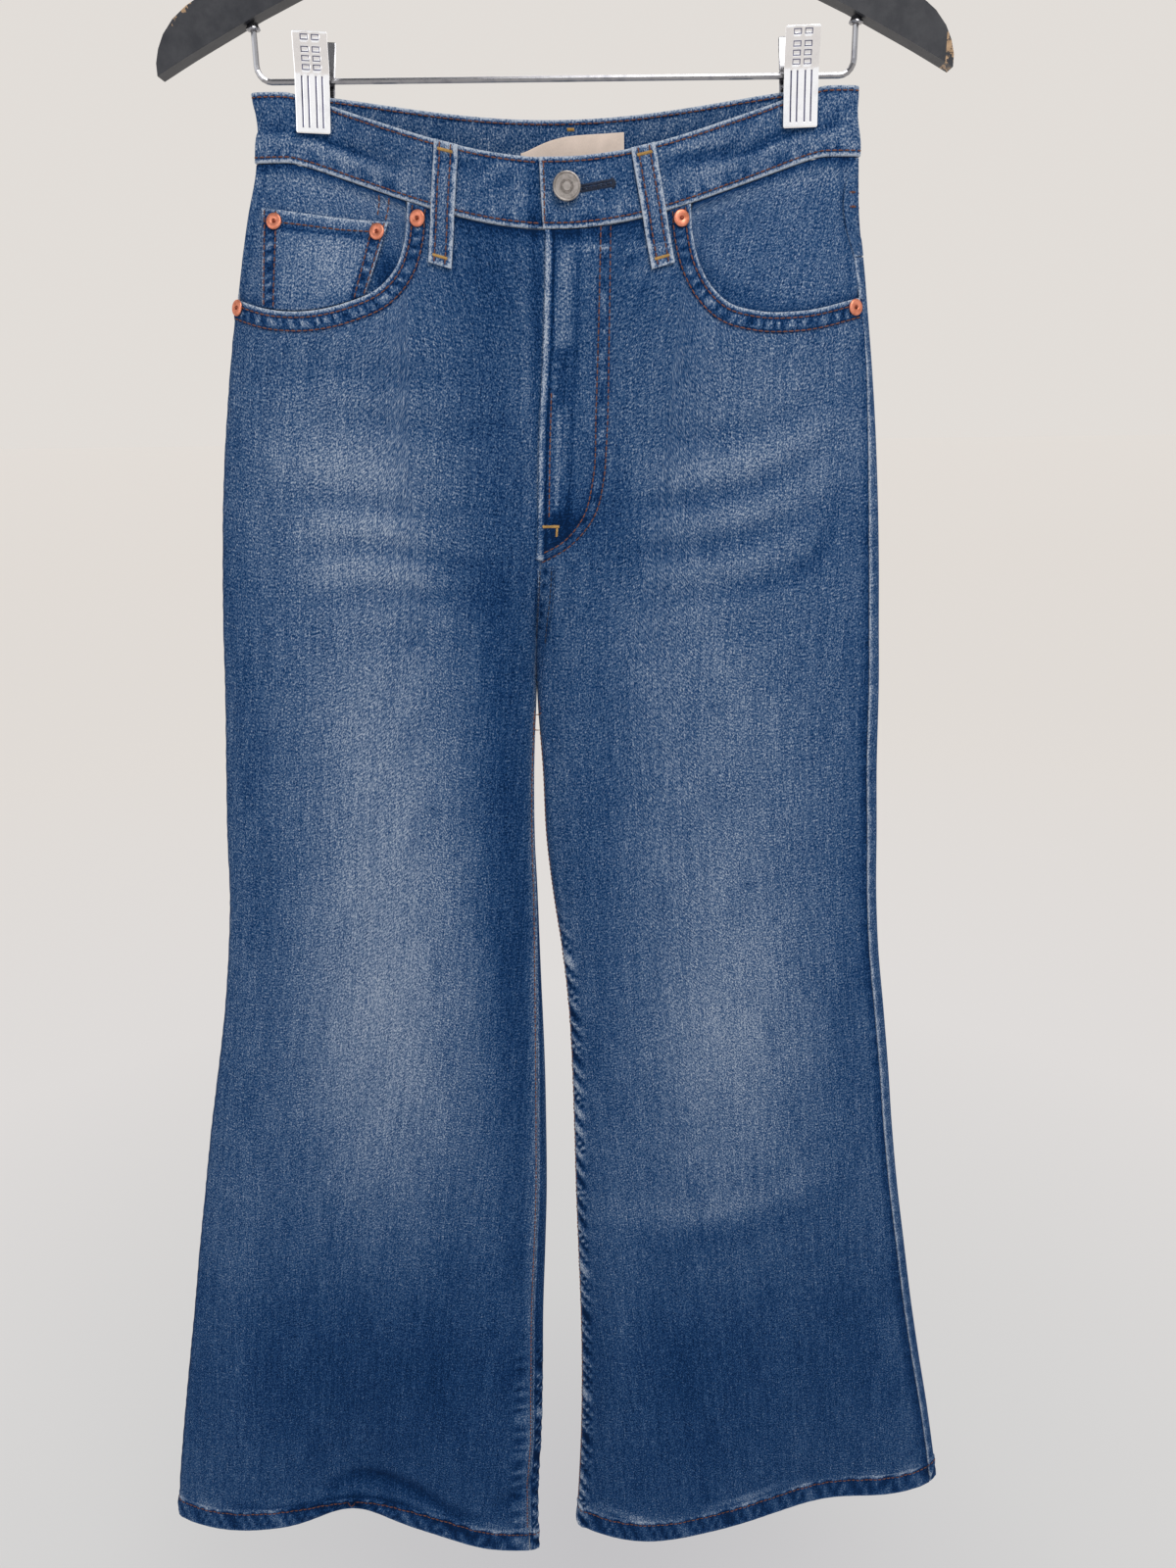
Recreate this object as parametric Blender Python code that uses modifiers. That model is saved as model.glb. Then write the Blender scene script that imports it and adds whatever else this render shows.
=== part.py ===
"""Flared jeans hanging by the waistband from a clip hanger.

Metres, +Z up, the front of the jeans faces -Y and the wearer's left is +X. The origin is the
inner top of the hanger's hook, where a rail would carry it.

The cloth of each leg is one closed loop at every level. A point of it is named by its leg, by
the angle theta (0 at the outer side, pi at the inner side, the front between them, the back
from pi on to 2 pi) and by its level, the height that it has before the waist sags and the hem
tilts. Every sewn piece is a wall between two offsets of that one surface.
"""

import math

import bmesh
import bpy
import numpy as np
from mathutils import Vector

MM = 0.001
COLLECTION = "flared_jeans"

# ---------------------------------------------------------------- driving sizes
CLOTH = 1.3 * MM                # wall of one layer of denim
SEAM_GAP = 0.3 * MM             # between pieces that touch
HEM_THICKNESS = 2.8 * MM        # the hem is folded twice, inwards
HEM_HEIGHT = 20 * MM

WAIST_TOP = -206 * MM           # top edge of the waistband at the side
BAND_HEIGHT = 35.5 * MM
WAIST_SEAM = WAIST_TOP - BAND_HEIGHT
BAND_OUT = 0.8 * MM             # the doubled waistband stands proud of the panels
BAND_IN = -1.6 * MM
LAY_GAP = 0.45 * MM             # between a panel and a piece that lies on it
BAND_LAP = 4 * MM               # the waistband's end reaches this far past the fly's edge
BAND_ROWS = (1, 0.62, 0.3, 0)   # shares of the waistband's height
LAP_LIFT = 1.4 * MM             # the buttoned end lies this far out
LAP_SINK = 1.3 * MM             # and the end below it this far in
LAP_OVER_X = (-7.2, 6, 17, 28, 35)  # points along the buttoned end, and along the end under it
LAP_UNDER_X = (-2, 12, 26)
SINK_FROM, SINK_TO = 0.56, 0.38     # theta short of the centre between which the end sinks
SIDE_THETA = 0.012              # the waistband's pieces meet here at the sides
HIP_ROW = -345 * MM             # first full row of the front panels, below the pockets
CROTCH_TOP = -440 * MM          # where the legs start to close
CROTCH = -540 * MM              # where the inseams meet the rise
HEM = -1241 * MM
HEM_SWING_START = -880 * MM      # below this the ends of the hems swing forward or back
HEM_FOLD_STEP = 2 * MM          # the hem's inner edge steps in over this height

SAG_FRONT = 39.5 * MM           # the front waist drops this far between the clips
SAG_BACK = 13 * MM
SAG_HALF_WIDTH = 150 * MM
SAG_POWER = 1.28
SAG_END = -520 * MM             # level at which the drop has eased out

BODY_POWER = 4.0                # squareness of the flattened tube
WAIST_END_POWER = 110.0         # tightness of the fold at the sides of the waistband
WAIST_SHAPE_END = -335 * MM     # the pinched waist has become a plain lens here

# ---------------------------------------------------------------- tables, in millimetres
OUTLINE_COLUMNS = ("z", "right_outer", "right_inner", "left_inner", "left_outer")
OUTLINE = (
    (-190, -168.5, -7.5, -7.5, 167.5),
    (-206, -168.5, -7.0, -7.0, 167.8),
    (-222, -166.8, -6.5, -6.5, 168.2),
    (-233, -168.8, -6.0, -6.0, 170.2),
    (-244, -170.2, -5.5, -5.5, 170.6),
    (-268, -177.0, -6.2, -6.2, 172.0),
    (-308, -186.5, -8.2, -8.2, 178.0),
    (-365, -198.0, -11.6, -11.6, 186.0),
    (-434, -208.6, -13.7, -13.7, 193.3),
    (-470, -212.5, -14.5, -14.5, 196.2),
    (-507, -216.0, -17, -17, 198.6),
    (-540, -218.5, -19, -18.2, 200.8),
    (-604, -224.4, -22.6, -15.5, 203.4),
    (-645, -228.0, -23.2, -14.5, 206.0),
    (-688, -230.8, -22.4, -10.6, 208.4),
    (-732, -236.4, -21.8, -5.1, 212.6),
    (-777, -243.8, -21.0, -1.4, 219.0),
    (-824, -253.4, -20.3, 0.2, 225.4),
    (-873, -263.8, -20.3, 1.0, 231.4),
    (-924, -273.6, -20.9, 1.4, 238.8),
    (-976, -283.6, -23.0, 2.4, 247.8),
    (-1030, -293.4, -25.6, 3.4, 257.4),
    (-1086, -304.1, -27.2, 3.6, 268.4),
    (-1145, -315.0, -29.6, 2.4, 280.6),
    (-1206, -325.6, -33.5, -0.4, 291.4),
    (-1260, -333.4, -34.5, -3.6, 297.4),
)
DEPTH_COLUMNS = ("z", "front", "back")
DEPTH = (
    (-200, 32, 10),
    (-245, 31, 12),
    (-300, 28, 15),
    (-350, 25, 17),
    (-400, 22, 18),
    (-450, 20, 18),
    (-500, 18.5, 17),
    (-560, 17.5, 17),
    (-750, 17, 17),
    (-1000, 18, 17),
    (-1250, 17, 16),
)
# How far the waist stands open at each distance from the middle: pinched under the clips.
WAIST_COLUMNS = ("x", "front", "back")
WAIST_DEPTH = (
    (0, 33, 9.5),
    (30, 31.2, 9),
    (60, 25.5, 7.2),
    (90, 15, 4.6),
    (110, 6.0, 2.8),
    (121, 2.3, 2.1),
    (146, 2.2, 2.2),
    (156, 3.0, 2.6),
    (164, 2.8, 2.5),
    (190, 2.7, 2.5),
)
# How far each seam lies inside the outline, round on the front.
SEAM_COLUMNS = ("z", "right_side", "left_side", "right_inseam")
SEAM_INSET = (
    (-200, 0, 0, 0),
    (-245, 0, 0.5, 0),
    (-313, 0, 3, 0),
    (-420, 0, 7, 0),
    (-546, 0, 8, 0),
    (-700, 0, 8, 1.5),
    (-850, 0, 8, 5.5),
    (-950, 0, 7.5, 7),
    (-1250, 0, 6.5, 7),
)
# Centre back, which lies to the left of centre front at the waist.
CENTRE_BACK_COLUMNS = ("z", "x")
CENTRE_BACK = ((-200, 6), (-245, 5), (-300, 3), (-365, -1), (-434, -8), (-507, -15), (-540, -18.6))
# Where each hem rides up and how far it swings forward, from the leg's outer side to its inner.
HEM_COLUMNS = ("share", "right_rise", "left_rise", "right_swing", "left_swing")
HEM_LINE = (
    (0, 9, 26, 0, -11),
    (0.15, 6, 20, 0, -9),
    (0.3, 8, 16, 0, -6),
    (0.45, 11, 12, 0, -2),
    (0.6, 10, 3, 0, 0),
    (0.75, 3, -3, 1, 0),
    (0.88, -9, -7, 6, 0),
    (1, -19, -7, 12, 0),
)
# The flutes of the flare: leg, face, place across the leg from its outer side, how far the cloth
# stands out (mm), the flute's width across the leg, and the level where it starts.
FLUTES = (
    ("right", "front", 0.20, 2.0, 0.16, -900),
    ("right", "front", 0.50, -9.0, 0.12, -1060),
    ("right", "front", 0.82, 9.0, 0.15, -860),
    ("right", "back", 0.36, 6.0, 0.14, -900),
    ("right", "back", 0.72, -5.0, 0.13, -980),
    ("left", "front", 0.30, -9.0, 0.16, -960),
    ("left", "front", 0.80, 8.0, 0.16, -880),
    ("left", "back", 0.28, 5.0, 0.13, -940),
    ("left", "back", 0.64, -6.0, 0.14, -900),
)
CURL_PLACE, CURL_WIDTH = 0.49, 0.11      # the right hem turns up and out here
CURL_RISE, CURL_OUT = 12 * MM, 5 * MM
CURL_START = -1190 * MM

# Pocket openings on the front, x and z, from the waist seam to the side seam.
POCKET_RIGHT = (
    (-83, -264.5), (-85.8, -285.3), (-91.2, -298.3), (-100.3, -307.9),
    (-120.2, -316.3), (-144.8, -320.5), (-165.7, -319), (-188.2, -312),
)
POCKET_LEFT = (
    (73.8, -267.5), (75.2, -283.6), (80, -299.5), (86.5, -310.2),
    (96, -318.6), (112.3, -323.2), (138.2, -323.4), (175.3, -315.4),
)
OPENING_POINTS = 11             # points along a pocket opening, and along the waist beside it
WAIST_POINTS = 6
HIP_ROWS = (0, 0.2, 0.5, 0.75, 1)   # rows of a front from its top edge to the hip
HIP_SPREAD = 0.38               # how far the columns have evened out at the hip
EVEN_DROP = 220 * MM            # and the length over which they finish doing so
SIDE_FOLD_SHARE = 0.02          # one column of the opening lies close to the side fold
LEG_ROWS = 22
# Each leg panel is one cut piece, in three solids that meet at these levels, so that each is
# flat enough for its collision to leave the leg hollow.
SECTION_LEVELS = (-560 * MM, -890 * MM)
SECTION_NAMES = ("hip", "thigh", "flare")
BACK_POINTS = 15                # points across a back panel, a yoke and each half of the waistband
YOKE_ROWS = 5
BACK_TOP_DROP = 24 * MM         # from the yoke seam's lowest point to a back's first level row
POCKET_BAND = 9.5 * MM
POCKET_BAND_OUT = 1.2 * MM
FACING = 1.0 * MM
FACING_TUCK = 0.02
FACING_SIDE_DIP = 0.7 * MM      # the facing runs in behind the side seam
FACING_SIDE_TURN = 0.05         # and stops this far round from it, in theta
FACING_SIDE_LEAST = 0.16
FACING_CORNER_DROP = 6 * MM     # its inner corner lies below the opening's top
FACING_ROWS = 5
COIN_OUT = 1.2 * MM
COIN_THICKNESS = 1.0 * MM
COIN_POINTS, COIN_ROWS = 7, 5
COIN_TOP = ((-167.5, -264.5), (-131, -269.5), (-95, -274))
COIN_RIGHT_FOOT = 0.50          # where the coin pocket's sides meet the opening, as shares of it
COIN_LEFT_FOOT = 0.865
COIN_FOOT_GAP = 0.7 * MM
# The curved stitching line that bounds the fly, x and z.
FLY_CURVE = (
    (29.4, -278), (28.2, -340), (26.6, -393), (24.6, -418),
    (18.8, -437), (9.5, -449), (-1.5, -457.5), (-11.5, -463),
)
FLY_OVERLAP, FLY_LIFT = 1.2 * MM, 0.35 * MM
FLY_ROWS = 14
FLY_TOE = 1.5 * MM              # the curve's end lies this far below the edge's
FLY_ACROSS = (0, 0.3, 0.65, 1)      # shares from the folded edge to the curve
FLY_THICKNESS = (1.5, 1.4, 1.0, 0.6)

YOKE_SIDE = -293 * MM
YOKE_CENTRE = -331 * MM
BACK_POCKET_SIZE = (142 * MM, 150 * MM)
BACK_POCKET_POINT = 22 * MM
BACK_POCKET_TOP = -352 * MM
BACK_POCKET_CENTRES = {"right": -104 * MM, "left": 101 * MM}
BACK_POCKET_TAPER = 10 * MM
BACK_POCKET_POINTS, BACK_POCKET_ROWS = 9, 7

LOOP_WIDTH = 13 * MM
# Belt loops: name, face, x of the middle of the top end, then x and z of the bottom end.
BELT_LOOPS = (
    ("belt_loop_front_right", "front", -58.8, -65.6, -298.2),
    ("belt_loop_front_left", "front", 46.6, 58.5, -299.8),
    ("belt_loop_back_right", "back", -96, -100, -272),
    ("belt_loop_back_left", "back", 104, 108, -271),
    ("belt_loop_back_centre", "back", 5, 4, -278),
)
LOOP_THICKNESS = 1.7 * MM
LOOP_ON_BAND = (0, 9, 18, 27, 36.7)     # its rows below the waist's top edge, in mm
LOOP_BELOW_BAND = 43.5 * MM     # it lies on the panel from here down

LABEL_X = (-20.8 * MM, 38.3 * MM)
LABEL_LEVELS = (-214.5 * MM, -239 * MM)
LABEL_THICKNESS = 0.8 * MM

BUTTON_PLACE = (5.5, -260.5)
BUTTON_DIAMETER = 15.2 * MM
RIVET_DIAMETER = 9.2 * MM
# Rivets: name, x, z and how far their seat lies off the cloth's outer face (mm).
RIVETS = (
    ("rivet_coin_right", -160.5, -272, 0.1),
    ("rivet_coin_left", -101.6, -278.8, 0.1),
    ("rivet_pocket_right_top", -77.1, -273.4, 1.4),
    ("rivet_pocket_right_side", -184.6, -317.6, 1.4),
    ("rivet_pocket_left_top", 68.3, -275.2, 1.4),
    ("rivet_pocket_left_side", 169.6, -321.4, 1.4),
)

BUTTON_SEAT = BAND_OUT + LAP_LIFT + SEAM_GAP

HANGER_THICKNESS = 12 * MM
HANGER_EDGE = 2.2 * MM
HANGER_HALF_WIDTH = 219 * MM
TIP_START = 150 * MM            # the arms round off from here to the tip
TIP_POWER = 8
ARM_COLUMNS = ("x", "lower", "height")
ARM = (
    (0, -114.4, 40),
    (20, -116.2, 37),
    (50, -124.8, 27),
    (100, -143.8, 25),
    (141.6, -161.3, 24),
    (165, -171.6, 24),
    (181, -179.5, 24),
    (198, -187.8, 24),
    (219, -198.8, 24),
)
NOTCH_X, NOTCH_RADIUS = 180 * MM, 4 * MM
HOOK_WIRE = 1.8 * MM
HOOK_RADIUS = 20 * MM
HOOK_SHANK = ((0, -62), (0.6, -53), (4.2, -45))     # x and z between the neck and the hook
HOOK_ARC = (-58, 205)           # degrees from the shank's end to the open end
BAR_WIRE = 1.65 * MM
BAR_LEVEL = -200.6 * MM
BAR_HALF = 165 * MM
BAR_CORNER = 8 * MM
BAR_TOP_GAP = 1.3 * MM          # the arm's lower edge slopes over the end of the wire
# Clips: name, x of the middle where it sits on the bar, and lean in degrees from upright.
CLIPS = (("right", -133.8, 3.2), ("left", 135.3, -1.4))
CLIP_WIDTH = 19 * MM
BACK_JAW_WIDTH = 21 * MM
JAW_STEEL = 1.1 * MM
FLUTE_DEPTH = 0.45 * MM
# The front jaw from its finger end to its grip: height over the bar and distance from it.
JAW_COLUMNS = ("z", "y")
JAW_PROFILE = (
    (22, 9.8), (16, 8.5), (9, 6.5), (3, 5.0), (-4, 4.6), (-12, 4.0), (-20, 3.7), (-26.6, 3.7),
)
SPRING_RADIUS, SPRING_LENGTH = 4.45 * MM, 13 * MM


# ---------------------------------------------------------------- reading the tables
def column(table, columns, name, z):
    """One named column of a table of millimetres at the heights z, on a smooth curve."""
    rows = np.array(table, float) * MM
    index = columns.index(name)
    order = np.argsort(rows[:, 0])
    keys, values = rows[order, 0], rows[order, index]
    slopes = np.gradient(values, keys)
    z = np.clip(z, keys[0], keys[-1])
    i = np.clip(np.searchsorted(keys, z) - 1, 0, len(keys) - 2)
    span = keys[i + 1] - keys[i]
    t = (z - keys[i]) / span
    return (
        values[i] * (2 * t**3 - 3 * t**2 + 1)
        + values[i + 1] * (3 * t**2 - 2 * t**3)
        + slopes[i] * span * (t**3 - 2 * t**2 + t)
        + slopes[i + 1] * span * (t**3 - t**2)
    )


def ease(value, start, end):
    """0 at start, 1 at end, smooth between them."""
    t = np.clip((value - start) / (end - start), 0, 1)
    return t * t * (3 - 2 * t)


def through(points, count):
    """Points on a smooth curve through a few x, z points in mm: a number of even steps, or shares."""
    points = np.array(points, float) * MM
    steps = np.hypot(*np.diff(points, axis=0).T)
    keys = np.concatenate([[0], np.cumsum(steps)])
    slopes = np.gradient(points, keys, axis=0)
    fine = np.linspace(0, keys[-1], 400)
    i = np.clip(np.searchsorted(keys, fine) - 1, 0, len(keys) - 2)
    span = (keys[i + 1] - keys[i])[:, None]
    t = ((fine - keys[i]) / span[:, 0])[:, None]
    path = (
        points[i] * (2 * t**3 - 3 * t**2 + 1)
        + points[i + 1] * (3 * t**2 - 2 * t**3)
        + slopes[i] * span * (t**3 - 2 * t**2 + t)
        + slopes[i + 1] * span * (t**3 - t**2)
    )
    lengths = np.concatenate([[0], np.cumsum(np.hypot(*np.diff(path, axis=0).T))])
    wanted = lengths[-1] * (np.linspace(0, 1, count) if np.isscalar(count) else np.array(count))
    return np.stack([np.interp(wanted, lengths, path[:, k]) for k in range(2)], axis=1)


# ---------------------------------------------------------------- the surface of the jeans
def sag(x, front):
    """How far the waist has dropped at x, between the clips."""
    share = np.cos(np.clip(np.abs(x) / SAG_HALF_WIDTH, 0, 1) * math.pi / 2)
    return np.where(front, SAG_FRONT, SAG_BACK) * np.maximum(share, 0) ** SAG_POWER


def crotch_closing(level):
    """0 where front and back are apart at the centre, 1 where each leg is a closed tube."""
    return ease(level, CROTCH_TOP, CROTCH)


def hem_rise(leg, share, level):
    """How far the cloth has ridden up at a place across the leg, growing towards the hem."""
    rise = column(HEM_LINE, HEM_COLUMNS, leg + "_rise", share * MM)
    return rise * ease(level, CROTCH, HEM)


def hem_swing(leg, share, level):
    """How far front and back together swing forward near the hem."""
    swing = column(HEM_LINE, HEM_COLUMNS, leg + "_swing", share * MM)
    return swing * ease(level, HEM_SWING_START, HEM)


def ends(leg, level, front):
    """The x of the outer and the inner side of a leg's row."""
    outer_z = level + hem_rise(leg, 0.0 * level, level)
    inner_z = level + hem_rise(leg, 0.0 * level + 1, level)
    outer = column(OUTLINE, OUTLINE_COLUMNS, leg + "_outer", outer_z)
    inner = column(OUTLINE, OUTLINE_COLUMNS, leg + "_inner", inner_z)
    back_centre = column(CENTRE_BACK, CENTRE_BACK_COLUMNS, "x", level)
    half_gap = SEAM_GAP / 2 * (-1 if leg == "right" else 1)
    above = 1 - crotch_closing(level)
    inner = inner + np.where(front, 0, (back_centre - inner) * above) + half_gap * above
    return outer, inner


def flutes(leg, share, level, front):
    """How far the flare's flutes push the cloth outwards."""
    out = np.zeros_like(share)
    for name, face, place, amount, width, start in FLUTES:
        if name != leg:
            continue
        wave = np.exp(-(((share - place) / width) ** 2)) * ease(level, start * MM, HEM)
        out = out + np.where(front == (face == "front"), amount * MM * wave, 0)
    return out


def surface(leg, theta, level, face):
    """Outer points of the cloth. face settles which side the open centre line belongs to."""
    theta, level = np.broadcast_arrays(np.asarray(theta, float), np.asarray(level, float))
    nudge = -1e-7 if face == "front" else 1e-7
    front = ((theta + nudge) % (2 * math.pi)) < math.pi
    outer, inner = ends(leg, level, front)
    share = (1 - np.cos(theta)) / 2
    x = outer + (inner - outer) * share

    body = np.sqrt(np.maximum(1 - (1 - share) ** BODY_POWER, 0))
    tube = np.sqrt(np.maximum(1 - np.abs(2 * share - 1) ** BODY_POWER, 0))
    lens = body + (tube - body) * crotch_closing(level)
    depth = np.where(
        front,
        column(DEPTH, DEPTH_COLUMNS, "front", level),
        column(DEPTH, DEPTH_COLUMNS, "back", level),
    )
    y = depth * lens

    waist_end = np.sqrt(np.maximum(1 - (1 - share) ** WAIST_END_POWER, 0))
    waist = waist_end * np.where(
        front,
        column(WAIST_DEPTH, WAIST_COLUMNS, "front", np.abs(x)),
        column(WAIST_DEPTH, WAIST_COLUMNS, "back", np.abs(x)),
    )
    pinched = 1 - ease(level, WAIST_SEAM + 12 * MM, WAIST_SHAPE_END)
    y = y + (waist - y) * pinched
    y = y + flutes(leg, share, level, front) * np.sin(np.clip(share, 0, 1) * math.pi) ** 0.5

    drop = sag(x, front) * ease(level, SAG_END, WAIST_SEAM)
    z = level + hem_rise(leg, share, level) - drop
    if leg == "right":
        curl = np.where(front, np.exp(-(((share - CURL_PLACE) / CURL_WIDTH) ** 2)), 0)
        curl = curl * ease(level, CURL_START, HEM)
        z = z + CURL_RISE * curl
        y = y + CURL_OUT * curl
    y = np.where(front, -y, y) - hem_swing(leg, share, level)
    return np.stack([x, y, z], axis=-1)


def normals(leg, theta, level, face):
    """Unit normals of the cloth, pointing away from the body inside it."""
    theta, level = np.broadcast_arrays(np.asarray(theta, float), np.asarray(level, float))
    step = 2e-3
    low, high = theta - step, theta + step
    open_centre = crotch_closing(level) < 1
    if face == "front":
        high = np.where(open_centre, np.minimum(high, math.pi), high)
    else:
        low = np.where(open_centre, np.maximum(low, math.pi), low)
    across = surface(leg, high, level, face) - surface(leg, low, level, face)
    drop = 0.5 * MM
    down = surface(leg, theta, level - drop, face) - surface(leg, theta, level + drop, face)
    found = np.cross(across, down)
    if leg == "left":
        found = -found
    return -found / np.linalg.norm(found, axis=-1, keepdims=True)


def offset(leg, theta, level, face, amount):
    """Points of the cloth moved out by amount."""
    amount = np.asarray(amount, float)[..., None]
    return surface(leg, theta, level, face) + normals(leg, theta, level, face) * amount


def locate(leg, x, z, face):
    """The theta and level of the point of one face that lies at x and z."""
    front = face == "front"
    level = np.array(z, float)
    for _ in range(14):
        outer, inner = ends(leg, level, front)
        share = np.clip((x - outer) / (inner - outer), 0, 1)
        level = z - hem_rise(leg, share, level) + sag(x, front) * ease(level, SAG_END, WAIST_SEAM)
    theta = np.arccos(1 - 2 * share)
    return (theta if front else 2 * math.pi - theta), level


def seam_theta(leg, which, level):
    """How far round the front a side seam or an inseam lies, as an angle from its own end."""
    name = leg + "_" + which
    if name not in SEAM_COLUMNS:
        return np.zeros_like(level)
    outer, inner = ends(leg, level, True)
    inset = np.maximum(column(SEAM_INSET, SEAM_COLUMNS, name, level), 0)
    return np.arccos(1 - 2 * inset / np.abs(inner - outer))


# ---------------------------------------------------------------- building solids
def clear_scene():
    for obj in list(bpy.data.objects):
        bpy.data.objects.remove(obj, do_unlink=True)


def make_collection(name):
    made = bpy.data.collections.new(name)
    bpy.context.scene.collection.children.link(made)
    return made


def make_material(name, color, roughness, metallic=0.0):
    made = bpy.data.materials.new(name)
    made.use_nodes = True
    shader = made.node_tree.nodes["Principled BSDF"]
    shader.inputs["Base Color"].default_value = (*color, 1)
    shader.inputs["Roughness"].default_value = roughness
    shader.inputs["Metallic"].default_value = metallic
    made.diffuse_color = (*color, 1)
    return made


def add_object(name, mesh, material):
    obj = bpy.data.objects.new(name, mesh)
    bpy.data.collections[COLLECTION].objects.link(obj)
    mesh.materials.append(material)
    mesh.shade_smooth()
    mesh.set_sharp_from_angle(angle=math.radians(40))
    return obj


def wall(name, outer, inner, material):
    """A closed wall between two grids of points, rows by columns, with a rim all round."""
    rows, columns = outer.shape[:2]
    shell = bmesh.new()
    skins = []
    for grid in (outer, inner):
        skins.append([[shell.verts.new(point) for point in row] for row in grid])
    for skin in skins:
        for r in range(rows - 1):
            for c in range(columns - 1):
                corners = (skin[r][c], skin[r][c + 1], skin[r + 1][c + 1], skin[r + 1][c])
                shell.faces.new(corners)
    out, back = skins
    for c in range(columns - 1):
        for r in (0, rows - 1):
            shell.faces.new((out[r][c], out[r][c + 1], back[r][c + 1], back[r][c]))
    for r in range(rows - 1):
        for c in (0, columns - 1):
            shell.faces.new((out[r][c], out[r + 1][c], back[r + 1][c], back[r][c]))
    bmesh.ops.recalc_face_normals(shell, faces=shell.faces)
    mesh = bpy.data.meshes.new(name)
    shell.to_mesh(mesh)
    shell.free()
    return add_object(name, mesh, material)


def cloth_wall(name, leg, theta, level, face, out, thickness, material):
    """A wall on the cloth's surface whose outer skin stands `out` from it."""
    outer = offset(leg, theta, level, face, out + np.zeros_like(theta))
    inner = offset(leg, theta, level, face, out - thickness + np.zeros_like(theta))
    return wall(name, outer, inner, material)


def placed_patch(leg, points, face):
    """Theta and level of a grid of x, z points on one face."""
    return locate(leg, points[..., 0], points[..., 1], face)


def between(first, last, count):
    """Rows of points running evenly from one line of points to another."""
    share = np.linspace(0, 1, count)[:, None, None]
    return first[None] * (1 - share) + last[None] * share


# ---------------------------------------------------------------- the legs
def panel_levels(top, rows):
    """Levels of a panel's rows from its top to the hem, with one at the hem's fold."""
    fold = HEM + HEM_HEIGHT
    body = np.linspace(top, fold, rows)
    return np.concatenate([body, [fold - HEM_FOLD_STEP, HEM + HEM_HEIGHT / 2, HEM]])


def panel_thickness(level):
    return np.where(level < HEM + HEM_HEIGHT - HEM_FOLD_STEP / 2, HEM_THICKNESS, CLOTH)


def front_top_rows(leg, pocket):
    """The rows of a front from the pocket opening and waist seam down to the hip."""
    shares = np.linspace(0, 1, OPENING_POINTS - 1)
    opening = through(pocket, np.sort(np.append(shares, 1 - SIDE_FOLD_SHARE)))[::-1]
    opening_theta, opening_level = placed_patch(leg, opening, "front")
    opening_theta[0] = seam_theta(leg, "side", opening_level[0:1])[0]
    opening_level[-1] = WAIST_SEAM - SEAM_GAP
    spread = np.linspace(0, 1, WAIST_POINTS + 1)[1:]
    along_waist = opening_theta[-1] + (math.pi - opening_theta[-1]) * spread
    top_theta = np.concatenate([opening_theta, along_waist])
    top_level = np.concatenate([opening_level, np.full(len(spread), opening_level[-1])])
    side = seam_theta(leg, "side", np.array([HIP_ROW]))[0]
    even = np.linspace(side, math.pi, len(top_theta))
    hip_theta = top_theta + (even - top_theta) * HIP_SPREAD
    hip_theta[0], hip_theta[-1] = side, math.pi
    share = np.array(HIP_ROWS)[:, None]
    theta = top_theta + (hip_theta - top_theta) * share
    level = top_level + (HIP_ROW - top_level) * share
    return theta, level


def front_panel(leg, pocket, material):
    """One front, from the waist seam to the hem, cut away along the pocket opening."""
    top_theta, top_level = front_top_rows(leg, pocket)
    count = top_theta.shape[1]
    even = np.linspace(0, 1, count)
    side = top_theta[-1][0]
    kept = (top_theta[-1] - side) / (math.pi - side)
    levels = panel_levels(HIP_ROW, LEG_ROWS)[1:]
    first = seam_theta(leg, "side", levels)
    last = math.pi - seam_theta(leg, "inseam", levels)
    straight = ease(levels, HIP_ROW, HIP_ROW - EVEN_DROP)[:, None]
    place = kept + (even - kept) * straight
    theta = np.concatenate([top_theta, first[:, None] + (last - first)[:, None] * place])
    level = np.concatenate([top_level, np.repeat(levels[:, None], count, axis=1)])
    theta, level = side_gap(leg, theta, level, "front")
    panel_sections("front_" + leg, leg, theta, level, "front", material)


def panel_sections(name, leg, theta, level, face, material):
    """A panel's solids, one below the other."""
    cuts = [int(np.argmin(np.abs(level[:, 0] - cut))) for cut in SECTION_LEVELS]
    for section, start, stop in zip(SECTION_NAMES, [0] + cuts, cuts + [len(level) - 1]):
        thetas = theta[start:stop + 1]
        levels = level[start:stop + 1].copy()
        if start:
            levels[0] -= SEAM_GAP
        outer = offset(leg, thetas, levels, face, np.zeros_like(thetas))
        inner = offset(leg, thetas, levels, face, -panel_thickness(levels))
        wall(name + "_" + section, outer, inner, material)


def side_gap(leg, theta, level, face):
    """Pulls a panel's two long edges back by half of the seam gap."""
    step = 0.02
    for edge, closed_only in ((0, face == "back"), (-1, face == "front")):
        turn = step if edge == 0 else -step
        here = surface(leg, theta[:, edge], level[:, edge], face)
        near = surface(leg, theta[:, edge] + turn, level[:, edge], face)
        reach = np.maximum(np.linalg.norm(near - here, axis=-1), SEAM_GAP)
        pull = turn * SEAM_GAP / 2 / reach
        if closed_only:
            pull = pull * crotch_closing(level[:, edge])
        theta[:, edge] = theta[:, edge] + pull
    return theta, level


def yoke_level(theta):
    """Level of the yoke seam, which falls from the side to the centre back."""
    share = (1 - np.cos(theta)) / 2
    return YOKE_SIDE + (YOKE_CENTRE - YOKE_SIDE) * share


def back_thetas(leg, level):
    """Theta along one row of a back piece, from the inseam or centre round to the side seam."""
    level = np.atleast_1d(np.asarray(level, float))
    first = math.pi - seam_theta(leg, "inseam", level)
    last = 2 * math.pi + seam_theta(leg, "side", level)
    return first[:, None] + (last - first)[:, None] * np.linspace(0, 1, BACK_POINTS)


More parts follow.
